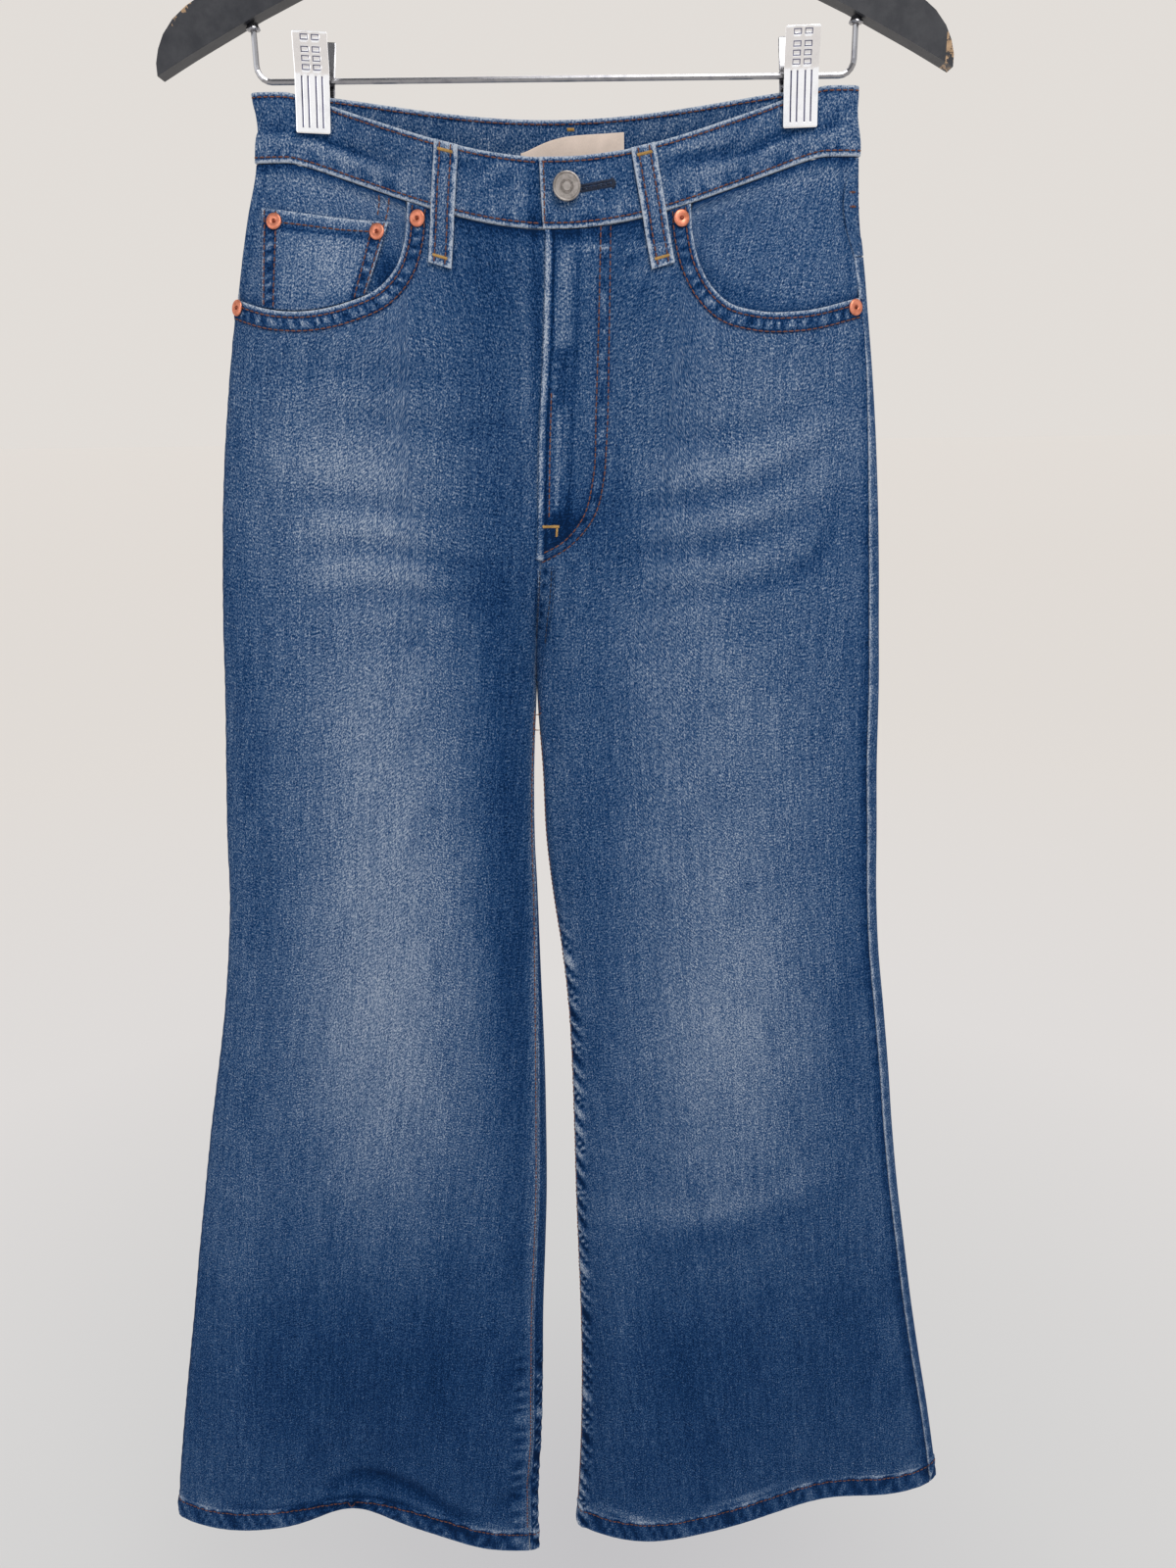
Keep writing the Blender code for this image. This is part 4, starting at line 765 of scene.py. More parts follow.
def sew(name, patch, out, thickness, worn_and_shaded=(0, 0, 0, 0), fade=0.0, nodes=None, material=None, reverse=1.0):
    """A cloth piece of the given thickness whose outer skin stands `out` from the surface.

    The four edge amounts make its top, bottom, first and last edges paler with wear, and darker with a painted
    shadow where an amount is below 0; the other amount, of wear and painted shade, is added all over.
    """
    points = patch.base + patch.normal * (patch.lift + out)[..., None]
    edges = edge_distances(points)
    thickness = np.broadcast_to(np.asarray(thickness, float), patch.lift.shape)
    radius = thickness * 0.48
    share = np.clip(np.minimum.reduce(edges) / radius, 0, 1)
    roll = radius * (1 - np.sqrt(1 - (1 - share) ** 2))
    outer = patch.base + patch.normal * (patch.lift + out - roll)[..., None]
    inner = patch.base + patch.normal * (patch.lift + out - thickness + roll)[..., None]
    fade = patch.fade + fade
    # Each edge is paler with wear, and darker with a painted shadow where its amount is below 0.
    for distance, amount in zip(edges, worn_and_shaded):
        fade = fade + amount * bell(distance, 0, EDGE_WEAR_AND_SHADE_WIDTH)

    rows, columns = outer.shape[:2]
    shift = rows * columns
    index = np.arange(shift).reshape(rows, columns)
    quads = np.stack([index[:-1, :-1], index[:-1, 1:], index[1:, 1:], index[1:, :-1]], -1).reshape(-1, 4)
    rim = np.concatenate([index[0, :-1], index[:-1, -1], index[-1, :0:-1], index[:0:-1, 0]])
    rim_next = np.roll(rim, -1)
    sides = np.stack([rim_next, rim, rim + shift, rim_next + shift], -1)
    faces = np.concatenate([quads, quads[:, ::-1] + shift, sides])
    flat = outer.reshape(-1, 3)
    first, second, _, fourth = quads[len(quads) // 2]
    facing = np.cross(flat[second] - flat[first], flat[fourth] - flat[first])
    facing = facing @ patch.normal.reshape(-1, 3)[first]
    across = arcs(points, 1)
    across = across - across[:, columns // 2:columns // 2 + 1]
    if facing < 0:
        faces = faces[:, ::-1]
    else:
        across = -across
    mesh = bpy.data.meshes.new(name + "_cloth")
    mesh.from_pydata(np.concatenate([flat, inner.reshape(-1, 3)]).tolist(), [], faces.tolist())
    uv = np.stack([across.reshape(-1), -arcs(points, 0).reshape(-1)], -1)
    corners = np.zeros(len(mesh.loops), dtype=np.int32)
    mesh.loops.foreach_get("vertex_index", corners)
    layer = mesh.uv_layers.new(name="Cloth")
    layer.data.foreach_set("uv", np.concatenate([uv, uv])[corners].astype(np.float32).reshape(-1))
    for label, values in (
        ("fade", np.concatenate([fade.reshape(-1), fade.reshape(-1) + REVERSE_FADE * reverse])),
        ("reverse", np.repeat([0.0, reverse], shift)),
    ):
        mesh.attributes.new(label, "FLOAT", "POINT").data.foreach_set("value", values.astype(np.float32))
    mesh.shade_smooth()
    obj = tidy_object(name + "_cloth", mesh, material or finish_of("denim"))
    if nodes is None or nodes:
        hung_cloth(obj, points, nodes or [name])
    return obj


# ---- the legs
def seam_relief(leg, side, inner, level):
    """Lift, wear and painted shade beside a panel's side seam and inseam, from the distances to them."""
    turn = level / MM
    side_pucker = waver(turn, 15.5) * ease_mm(side, 9, 3)
    inner_pucker = waver(turn + inner / MM * 0.9, 12.0, 1.0) * ease_mm(inner, 14, 7)
    inner_pucker = inner_pucker * ease(level, PUCKER_TOPS[leg], PUCKER_TOPS[leg] - 60 * MM)
    lift = 0.35 * MM * ease_mm(side, 11, 8.5) + 0.12 * MM * side_pucker
    lift = lift + 0.6 * MM * ease_mm(inner, 11, 7.5)
    lift = lift + 0.7 * MM * inner_pucker * ease_mm(inner, 0.4, 2.4)
    fade = 0.06 * side_pucker + 0.55 * inner_pucker * ease_mm(inner, 1.5, 3.5)
    # Painted shade: a dark line along the inseam's stitching.
    fade = fade - 0.20 * bell_mm(inner, 2.4, 1.2)
    pale = 0.34 * bell_mm(inner, 5.2, 0.9)
    fade = fade + pale * ease(level, PALE_FOLD_TOP, PALE_FOLD_TOP - 60 * MM)
    return lift, fade


def hem_relief(x, level, front):
    """Lift, wear and painted shade of the turned-up hem, roped by its stitching."""
    along = (x if front else -x) / MM
    inside = ease(level, HEM_FOLD + 0.5 * MM, HEM_FOLD - 0.5 * MM)
    rope = waver(along + (level - HEM) / MM * 0.42, 10.5, 0.6)
    band = inside * ease(level, HEM - 1 * MM, HEM + 4 * MM)
    above = bell_mm(level - HEM_FOLD, 4, 4)
    lift = 0.75 * MM * inside + 0.42 * MM * rope * band + 0.25 * MM * above * waver(along, 17.0)
    curl = bell(x / MM, -CURL_X, CURL_REACH) * front
    lift = lift + 4.5 * MM * curl * np.sin(pi * ease(level, HEM_FOLD, HEM))
    # The groove along the hem's stitching is pressed in and also painted darker: painted shade.
    groove = bell_mm(level - HEM_FOLD, -2.6, 1.1)
    lift = lift - 0.35 * MM * groove
    patchy = 0.5 + 0.5 * waver(along, 43.0, 1.0)
    fade = 0.20 * rope * band - 0.09 * inside + 0.12 * above * patchy
    fade = fade + (0.12 + 0.22 * patchy) * bell(level, HEM_FOLD, 1.5 * MM)
    fade = fade - 0.26 * groove + 0.16 * bell(level, HEM, 2.0 * MM)
    return lift, fade


def leg_levels(top, step, first):
    """Levels of a panel's rows down to the hem, close together at the hem's fold."""
    body = np.linspace(top, HEM_FOLD + 8 * MM, int((top - HEM_FOLD) / step))
    near = HEM_FOLD + np.array([5, 3, 1.6, 0.8, 0.3, -0.2, -0.7, -1.4, -2.6, -4]) * MM
    foot = HEM + spread(8, HEM_HEIGHT - 4 * MM, True, False)[::-1] * (HEM_HEIGHT - 4 * MM)
    levels = np.concatenate([body, near, foot[1:]])
    return levels if first else levels[1:]


def leg_panel(leg, theta, level, face, worn_and_shaded):
    """A front or a back with its seams and its hem."""
    patch = on_leg(leg, theta, level, face)
    top, _, first, last = edge_distances(patch.base)
    side, inner = (first, last) if face == "front" else (last, first)
    below = ease(level, CROTCH_TOP + 20 * MM, CROTCH)
    lift, fade = seam_relief(leg, side, np.where(below > 0, inner, 1.0), level)
    hem_lift, hem_wear_and_shade = hem_relief(patch.base[..., 0], level, face == "front")
    # Painted shadow: the front is darker just below the waist seam, under the waistband.
    if face == "front":
        fade = fade - 0.16 * bell_mm(top, 0, 4)
    patch = patch._replace(lift=patch.lift + lift + hem_lift, fade=patch.fade + fade + hem_wear_and_shade)
    thickness = CLOTH + (HEM_THICKNESS - CLOTH) * ease(level, HEM_FOLD, HEM_FOLD - 1 * MM)
    name = face + "_" + leg
    nodes = [name + part for part in ("_hip", "_thigh", "_flare")]
    return sew(name, patch, 0.0, thickness + hem_lift.clip(0) * 0.4, worn_and_shaded, nodes=nodes)


def opening_rows(leg, count):
    """Top and hip rows of a front beside the pocket opening: theta and level, from the side."""
    opening = through(POCKETS[leg], 1 - spread(count, POCKET_LENGTH, True, False))
    theta, level = locate(leg, opening[:, 0], opening[:, 1], "front")
    theta[0] = seam_theta(leg, "side", level[0:1])[0]
    return theta, np.minimum(level, PANEL_TOP)


def front_panel(leg):
    """One front, from the pocket opening and the waist seam down to the hem."""
    step = cloth_step()
    opening_theta, opening_level = opening_rows(leg, int(POCKET_LENGTH / step))
    reach = rows_over(0.085, step, False, True)[1:]
    waist_theta = opening_theta[-1] + (pi - opening_theta[-1]) * reach
    top_theta = np.concatenate([opening_theta, waist_theta])
    top_level = np.concatenate([opening_level, np.full(len(reach), PANEL_TOP)])
    count = len(top_theta)
    side = seam_theta(leg, "side", np.array([HIP_ROW]))[0]
    place = even_places(leg, "front", EVEN_LEVEL, 0.0, pi, step)
    place = np.interp(np.linspace(0, 1, count), np.linspace(0, 1, len(place)), place)
    place[:5] = np.array(EDGE_STEPS) * MM / 0.3
    place[-5:] = 1 - np.array(EDGE_STEPS)[::-1] * MM / 0.3
    top_place = (top_theta - top_theta[0]) / (pi - top_theta[0])
    hip_place = top_place + (place - top_place) * HIP_SPREAD
    hip_theta = side + (pi - side) * hip_place
    share = rows_over(0.1, step, True, False)[:, None]
    theta = top_theta + (hip_theta - top_theta) * share
    level = top_level + (HIP_ROW - top_level) * share
    levels = leg_levels(HIP_ROW, step, False)
    first = seam_theta(leg, "side", levels)
    last = pi - seam_theta(leg, "inseam", levels)
    straight = ease(levels, HIP_ROW, HIP_ROW - EVEN_DROP)[:, None]
    places = hip_place + (place - hip_place) * straight
    theta = np.concatenate([theta, first[:, None] + (last - first)[:, None] * places])
    level = np.concatenate([level, np.repeat(levels[:, None], count, axis=1)])
    pull_edges(leg, theta, level, "front")
    # Edge amounts: the top edge is darker, a painted shadow under the waistband; the side edge is darker; the
    # hem and the inner edge are paler with wear.
    return leg_panel(leg, theta, level, "front", (-0.25, 0.1, -0.30, 0.34))


def pull_edges(leg, theta, level, face):
    """Draws a panel's two long edges back by half of the seam gap."""
    for edge, closed_only in ((0, face == "back"), (-1, face == "front")):
        turn = 0.02 if edge == 0 else -0.02
        here = surface(leg, theta[:, edge], level[:, edge], face)
        near = surface(leg, theta[:, edge] + turn, level[:, edge], face)
        reach = np.maximum(np.linalg.norm(near - here, axis=-1), SEAM_GAP)
        pull = turn * SEAM_GAP / 2 / reach
        if closed_only:
            pull = pull * crotch_closing(level[:, edge])
        rest = 1 - np.abs(theta - theta[:, edge:edge + 1 or None][:, :1]) / pi
        theta += pull[:, None] * np.clip(rest, 0, 1)


def yoke_level(theta):
    """Level of the yoke seam, which falls from the side to the centre back."""
    share = (1 - np.cos(theta)) / 2
    return YOKE_SIDE + (YOKE_CENTRE - YOKE_SIDE) * share


def back_grid(leg, level, step):
    """Theta along the rows of a back piece, from the inseam or centre round to the side seam."""
    level = np.atleast_1d(np.asarray(level, float))
    first = pi - seam_theta(leg, "inseam", level)
    last = 2 * pi + seam_theta(leg, "side", level)
    place = even_places(leg, "back", EVEN_LEVEL, pi, 2 * pi, step)
    return first[:, None] + (last - first)[:, None] * place


def back_panel(leg):
    """One back, from the yoke seam to the hem."""
    step = cloth_step()
    levels = leg_levels(YOKE_CENTRE - BACK_TOP_DROP, step, True)
    theta = back_grid(leg, levels, step)
    level = np.repeat(levels[:, None], theta.shape[1], axis=1)
    top_theta = back_grid(leg, [YOKE_SIDE], step)
    top_level = yoke_level(top_theta) - SEAM_GAP
    share = rows_over(0.05, step, True, False)[:-1, None]
    theta = np.concatenate([top_theta + (theta[:1] - top_theta) * share, theta])
    level = np.concatenate([top_level + (level[:1] - top_level) * share, level])
    pull_edges(leg, theta, level, "back")
    return leg_panel(leg, theta, level, "back", (0.1, 0.1, 0.3, 0.48))


def yoke(leg):
    """The back yoke between the waist seam and the back."""
    step = cloth_step()
    share = rows_over(0.085, step)[:, None]
    theta = back_grid(leg, WAIST_SEAM + (YOKE_SIDE - WAIST_SEAM) * share[:, 0], step)
    bottom = yoke_level(theta[-1])
    level = PANEL_TOP * (1 - share) + bottom[None] * share
    pull_edges(leg, theta, level, "back")
    patch = on_leg(leg, theta, level, "back")
    felled = 0.5 * MM * ease_mm(edge_distances(patch.base)[1], 11, 8)
    patch = patch._replace(lift=patch.lift + felled)
    return sew("yoke_" + leg, patch, 0.0, CLOTH + felled * 0.5, (0, 0.2, 0.16, 0.1))


# ---- pockets
def opening_edge(leg, shares, away):
    """A pocket's opening moved sideways by `away`, onto the front."""
    path = through(POCKETS[leg], shares)
    run = np.gradient(path, axis=0)
    run /= np.linalg.norm(run, axis=1, keepdims=True)
    turn = 1 if leg == "right" else -1
    return path + np.stack([-run[:, 1], run[:, 0]], axis=1) * turn * away


def between(first, last, shares):
    """Rows of points running from one line of points to another."""
    share = np.asarray(shares)[:, None, None]
    return first[None] * (1 - share) + last[None] * share


def pocket_edge(leg):
    """The turned edge of a front pocket, which thins out at its second row of stitches."""
    step = cloth_step() * 0.8
    shares = rows_over(POCKET_LENGTH, step) * (1 - SIDE_FOLD_SHARE)
    width = POCKET_EDGE_WIDTH
    across = spread(9, width) * width
    lines = np.stack([opening_edge(leg, shares, away) for away in across])
    theta, level = locate(leg, lines[..., 0], lines[..., 1], "front")
    patch = on_leg(leg, theta, np.minimum(level, PANEL_TOP), "front")
    away = across[:, None] + 0 * theta
    tick = waver(shares[None] * POCKET_LENGTH / MM + away * 300, 7.5, 0.4) * bell_mm(away, 6.6, 2.4)
    out = 0.3 * MM + (POCKET_BAND_OUT - 0.3 * MM) * ease(away, width, width - 3.2 * MM)
    out = out + 0.16 * MM * tick + LAY_GAP * ease(shares, 0.95, 1)[None]
    fade = 0.34 * tick - 0.08
    # Painted shade: darker along each row of stitches.
    for row in POCKET_ROWS:
        fade = fade - 0.26 * bell_mm(away, row, 0.9)
    return sew("pocket_band_" + leg, patch, out, out - 0.12 * MM, (0.62, 0, 0.1, 0.1), fade)


def pocket_facing(leg):
    """The denim that shows in a front pocket, running in under its edge."""
    step = cloth_step()
    theta, level = opening_rows(leg, int(POCKET_LENGTH / step))
    side = float(seam_theta(leg, "side", np.array([HIP_ROW]))[0])
    tuck_theta = theta + (side + (theta - theta[0]) * 0.9 - theta) * 0.1
    tuck_level = level + (HIP_ROW - level) * 0.2
    corner = theta[-1]
    top_level = np.full(len(theta), PANEL_TOP)
    top_side = float(seam_theta(leg, "side", top_level)[0])
    top_theta = np.interp(np.linspace(0, 1, len(theta)), [0, 1], [top_side, corner - FACING_TUCK])
    for line in (theta, tuck_theta, top_theta):
        line[0] = side_theta_of(line, top_side, side)
        line[1:] = np.maximum(line[1:], line[0] + 0.004 * np.arange(1, len(line)))
    drop = FACING_CORNER_DROP * ease(np.linspace(0, 1, len(theta)), 0.9, 1)
    level, tuck_level = level - drop, tuck_level - drop
    share = rows_over(0.07, step, True, False)[:, None]
    rows = np.concatenate([top_theta + (theta - top_theta) * share, tuck_theta[None]])
    levels = np.concatenate([top_level + (level - top_level) * share, tuck_level[None]])
    patch = on_leg(leg, rows, levels, "front")
    top, bottom, first, _ = edge_distances(patch.base)
    rim = np.maximum(ease_mm(top, 9, 1.5), ease_mm(first, 8, 1.5))
    rim = rim * ease_mm(bottom, 5, 14)
    out = -(CLOTH + LAY_GAP) * (1 - rim) - 0.05 * MM * rim
    strip = bell_mm(first, 7, 1.3) * ease_mm(bottom, 5, 14)
    # Painted shadows: darker where the facing runs in under the pocket's edge and along its top under the
    # waistband.
    shade = 0.03 - 0.36 * bell_mm(bottom, 0, 7) - 0.36 * bell_mm(top, 0, 2.6)
    shade = shade + 0.10 * bell_mm(top, 9, 5) - 0.14 * strip
    # Painted shadow of the coin pocket on the right facing.
    if leg == "right":
        across, down = patch.base[..., 0] + 0.097, patch.base[..., 2] + 0.301
        shade = shade - 0.42 * np.exp(-((across / 0.009) ** 2) - (down / 0.013) ** 2)
    return sew("pocket_facing_" + leg, patch, out, FACING, fade=shade)


def side_theta_of(line, top_side, hip_side):
    """Where a row of the facing starts, just round from the side seam."""
    return min(max(line[0], min(top_side, hip_side)) + 0.014, line[1])


def coin_pocket():
    """The small pocket sewn on the right facing."""
    step = cloth_step() * 0.5
    shares = COIN_LEFT_FOOT + (COIN_RIGHT_FOOT - COIN_LEFT_FOOT) * rows_over(0.07, step)
    foot = opening_edge("right", shares[::-1], -COIN_FOOT_GAP)[::-1]
    top = through(COIN_TOP, rows_over(0.07, step))
    grid = between(top, foot, rows_over(0.045, step))
    theta, level = locate("right", grid[..., 0], grid[..., 1], "front")
    patch = on_leg("right", theta, level, "front")
    up, down, left, right = edge_distances(patch.base)
    hem = ease_mm(up, 7.2, 6.4)
    sides = np.maximum(ease_mm(left, 9, 8), ease_mm(right, 9, 8))
    near = np.minimum(left, right)
    tick = waver(up / MM + near * 400, 7.0, 1.3) * bell_mm(near, 5, 2.2) * ease_mm(up, 9, 12)
    out = -CLOTH + COIN_OUT + 0.35 * MM * hem + 0.18 * MM * sides + 0.12 * MM * tick
    fade = 0.06 + 0.36 * tick - 0.16 * sides
    # Painted shade: darker along the rows of stitches, along the hem's row, in a band just under the hem and
    # towards the corner where the bottom meets the last edge.
    for row in COIN_ROWS_IN:
        fade = fade - 0.26 * bell_mm(near, row, 0.9) * ease_mm(up, 5, 7)
    fade = fade - 0.20 * bell_mm(up, COIN_HEM, 0.9) - 0.34 * bell_mm(up, 9.2, 1.7)
    fade = fade - 0.14 * ease_mm(down, 9, 2) * ease_mm(right, 40, 10)
    return sew("coin_pocket", patch, out, COIN_THICKNESS, (0.42, 0, 0.42, 0.46), fade)


def back_pocket(leg):
    """A plain patch pocket on the back, with a deep hem at its top."""
    step = cloth_step()
    width, height = BACK_POCKET_SIZE
    across = (rows_over(width, step) - 0.5)[None]
    down = rows_over(height, step)[:, None]
    x = BACK_POCKET_CENTRES[leg] + across * (width - BACK_POCKET_TAPER * down)
    point = BACK_POCKET_POINT * (1 - 2 * np.abs(across))
    z = BACK_POCKET_TOP - down * (height - BACK_POCKET_POINT + point)
    theta, level = locate(leg, x, z, "back")
    patch = on_leg(leg, theta, level, "back")
    top, bottom, left, right = edge_distances(patch.base)
    hem = ease_mm(top, 18, 17)
    near = np.minimum.reduce([bottom, left, right])
    tick = waver(top / MM + near * 300, 9.0) * bell_mm(near, 4.5, 2)
    out = LAY_GAP + CLOTH + 0.4 * MM * hem + 0.12 * MM * tick
    fade = 0.05 + 0.14 * tick - 0.12 * bell_mm(top, 18.5, 2)
    return sew("back_pocket_" + leg, patch, out, CLOTH, (0.2, 0.18, 0.18, 0.18), fade)


# ---- waistband, fly, loops, label
def band_levels():
    rows = np.sort(np.append(spread(12, BAND_HEIGHT), np.array([2.6, 33.1]) * MM / BAND_HEIGHT))
    return (WAIST_SEAM + BAND_HEIGHT * (1 - rows))[:, None]


def band_piece(name, patch, lift):
    """A stretch of the doubled waistband, with its seams' ridges and stitched-down edges."""
    top, bottom, _, _ = edge_distances(patch.base)
    ridge = np.maximum(ease_mm(top, 9, 7), ease_mm(bottom, 9, 7))
    groove = bell_mm(top, 2.6, 0.9) + bell_mm(bottom, 2.9, 0.9)
    along = patch.base[..., 0] / MM
    tick = waver(along + bottom * 500, 11.0) * bell_mm(bottom, 5.5, 2.4)
    out = BAND_OUT + lift + 0.22 * MM * ridge - 0.22 * MM * groove + 0.14 * MM * tick
    # The stitched grooves are also painted darker: painted shade.
    fade = 0.07 - 0.34 * groove + 0.20 * tick
    blotch = waver(along * 0.7 + top * 900, 21.0, 0.8) * waver(along + 40, 47.0, 2.0)
    fade = fade - 0.05 * bell_mm(top, 13, 5) + 0.07 * blotch
    return sew(name, patch, out, BAND_OUT - BAND_IN, (0.55, 0.62, 0.62, 0.62), fade, reverse=0.0)


def band_thetas(leg, face, first, last):
    places = even_places(leg, face, WAIST_SEAM + BAND_HEIGHT / 2, first, last, cloth_step())
    return first + (last - first) * places


def waistbands():
    """The back piece and the two front pieces, the left one lapping over the right one."""
    levels = band_levels()
    right = band_thetas("right", "back", 2 * pi - SIDE_THETA, pi)
    left = band_thetas("left", "back", pi, 2 * pi - SIDE_THETA)
    back = beside(
        on_leg("right", right[None, :-4], levels, "back"),
        on_leg("left", left[None, 4:], levels, "back"),
    )
    made = [band_piece("waistband_back", back, 0.0)]

    shown = band_thetas("right", "front", SIDE_THETA, pi - SINK_TO)[:-4]
    sunk = -LAP_SINK * ease(shown, pi - SINK_FROM, pi - SINK_TO)
    under_x = LAP_UNDER_X[0] * MM + spread(10, 0.028, False, True) * (LAP_UNDER_X[1] - LAP_UNDER_X[0]) * MM
    under = theta_at("left", under_x, 0 * under_x + WAIST_SEAM, "front")
    front = beside(on_leg("right", shown[None], levels, "front"), on_leg("left", under[None], levels, "front"))
    lift = np.concatenate([sunk, 0 * under - LAP_SINK])[None] + 0 * levels
    made.append(band_piece("waistband_front_right", front, lift))

    rest = band_thetas("left", "front", pi, SIDE_THETA)[4:]
    reach = BAND_LAP + np.concatenate([[0], np.array([0.12, 0.4, 0.9, 1.8, 3.0]) * -MM])
    thetas = np.concatenate([np.full(len(reach), rest[0]), rest[1:]])
    patch = on_leg("left", thetas[None], levels, "front")
    base = patch.base.copy()
    base[:, :len(reach), 0] -= reach[None]
    x = base[0, :, 0]
    lift = LAP_LIFT * ease(x, LAP_END, LAP_FULL)[None] + 0 * levels
    made.append(band_piece("waistband_front_left", patch._replace(base=base), lift))
    return made


def fly():
    """The folded fly edge of the left front, and the cloth inside the curved stitching line."""
    rows = rows_over(0.185, cloth_step() * 0.6)
    across = spread(24, 0.033)
    right_edge = through(FLY_CURVE, rows)
    edge_z = right_edge[0, 1] + (right_edge[-1, 1] + FLY_TOE - right_edge[0, 1]) * rows
    centre = centre_front(edge_z)[1]
    x = centre[:, None] + (right_edge[:, 0] - centre)[:, None] * across
    z = edge_z[:, None] + (right_edge[:, 1] - edge_z)[:, None] * across
    levels = np.minimum(locate("left", x, z, "front")[1], PANEL_TOP)
    patch = on_face(np.maximum(x, centre[:, None] + 1e-6), levels, "front")
    base = patch.base.copy()
    lap = np.clip(1 - (x - centre[:, None]) / (2.5 * MM), 0, 1)
    base[..., 0] -= FLY_OVERLAP * lap
    thickness = np.interp(across, FLY_ACROSS, FLY_RISE)[None] * MM + 0 * x
    _, _, left, right = edge_distances(base)
    groove = bell_mm(left, 4.6, 0.9) * ease(z, -0.438, -0.425)
    teeth = np.sin(left / (1.0 * MM)) * ease_mm(left, 17, 13) * ease_mm(left, 5.5, 7)
    out = 0.12 * MM + thickness + FLY_LIFT * lap
    out = out + 0.12 * MM * teeth * ease(z, -0.43, -0.40) - 0.35 * MM * groove
    return sew("fly", patch._replace(base=base), out, thickness, fade=fly_wear_and_shade(left / MM, right / MM, z / MM))


def fly_wear_and_shade(left, right, z):
    """How pale the fly is, paler with wear and darker with painted shade, by the distance from its fold, from
    its curve and the height, in mm.
    """
    panel = ease(left, 5.5, 9) * ease(left, 19, 12)
    streaks = np.sin(left * 1.2 + 0.4) * ease(left, 5.5, 7) * ease(left, 18, 15)
    upper = ease(z, -345, -339) * ease(z, -284, -294)
    lower = ease(z, -369, -380) * ease(z, -438, -428)
    # Paler with wear along the fold; the dark line beside it is the painted shadow of the stitch row.
    wear = (0.46 + 0.08 * waver(z, 23.0)) * bell(left, 1.4, 1.7) - 0.40 * bell(left, 4.7, 1.0)
    wear = wear + panel * (0.15 * upper + 0.08 * lower - 0.16 * (1 - upper) * (1 - lower))
    wear = wear + streaks * (0.03 * upper + 0.13 * lower)
    # Darker in a column at 18.5 mm; darker at the top, under the waistband, as painted shadow.
    wear = wear - 0.16 * bell(left, 18.5, 1.8) - 0.16 * ease(z, -288, -283)
    wear = wear + 0.22 * bell(z, -290.5, 1.5) * ease(left, 14, 19)
    for tick in FLY_TICKS:
        wear = wear + 0.26 * np.exp(-(((z - tick) / 1.2) ** 2) - ((left - 7.5) / 2.6) ** 2)
    between = bell(right, 3.6, 1.7)
    wear = wear + between * (0.16 * waver(z, 14.0, 0.7) - 0.02)
    # Painted shade along the two curved rows of stitches.
    wear = wear - 0.16 * bell(right, 0.6, 0.7) - 0.16 * bell(right, 6.6, 0.8)
    return wear - 0.16 * ease(z, -428, -440) * ease(right, 3, 8)


def rise_seam():
    """The twice-stitched seam that runs from the fly's foot down between the legs."""
    rows = spread(30, 0.09)
    z = RISE_FROM + (RISE_TO - RISE_FROM) * rows
    level, centre = centre_front(z)
    width = RISE_WIDTH * (1 - 0.72 * ease(rows, 0.3, 1))
    x = centre[:, None] + 1e-6 + width[:, None] * spread(8, RISE_WIDTH)
    patch = on_leg("left", theta_at("left", x, level[:, None], "front"), level[:, None] + 0 * x, "front")
    base = patch.base.copy()
    _, _, left, right = edge_distances(base)
    lap = np.clip(1 - left / (2.5 * MM), 0, 1)
    base[..., 0] -= RISE_OVERLAP * lap * (1 - ease(rows, 0.75, 1))[:, None]
    turn = waver(z / MM, 9.0)[:, None] * bell_mm(left, 3.6, 1.6)
    wear = 0.50 * bell_mm(left, 0, 1.4) - 0.04 + 0.22 * turn - 0.16 * bell_mm(right, 0, 1.2)
    wear = wear * (1 - 0.7 * ease(rows, 0.45, 1))[:, None]
    out = 1.1 * MM + 0.3 * MM * lap + 0.12 * MM * turn
    piece = sew("rise_seam", patch._replace(base=base), out, 0.95 * MM, fade=wear, nodes=())
    hung_cloth(piece, base, ())
    return piece


def belt_loop(name, face, top_x, foot_x, foot_z):
    """One belt loop, from the waistband's top edge to below the waist seam."""
    foot = level_of(foot_x * MM, foot_z * MM, face)
    share = spread(36, WAIST_TOP - foot)
    level = WAIST_TOP - share * (WAIST_TOP - foot)
    middle = (top_x + (foot_x - top_x) * share) * MM
    across = spread(11, LOOP_WIDTH) - 0.5
    x = middle[:, None] + LOOP_WIDTH * across[None]
    patch = on_face(x, level[:, None], face)
    on_band = ease(level, WAIST_TOP - LOOP_BELOW_BAND, WAIST_TOP - LOOP_ON_BAND)
    top, bottom, left, right = edge_distances(patch.base)
    near = np.minimum(left, right)
    tacked = bell_mm(top, 4.4, 1.4) + bell_mm(bottom, 5.0, 1.4)
    tick = waver(top / MM, 8.0, top_x) * bell_mm(near, 1.6, 1.2)
    under = (BAND_OUT * on_band)[:, None] + LAY_GAP
    out = under + LOOP_THICKNESS - 0.3 * MM * tacked + 0.35 * MM * bell_mm(near, 4.2, 2.0) * 0.4
    # Painted shade along the loop's rows of stitches.
    fade = 0.12 + 0.18 * tick - 0.26 * bell_mm(near, 3.5, 0.9)
    return sew(name, patch, out, LOOP_THICKNESS - 0.25 * MM, (0.42, 0.5, 0.62, 0.55), fade)


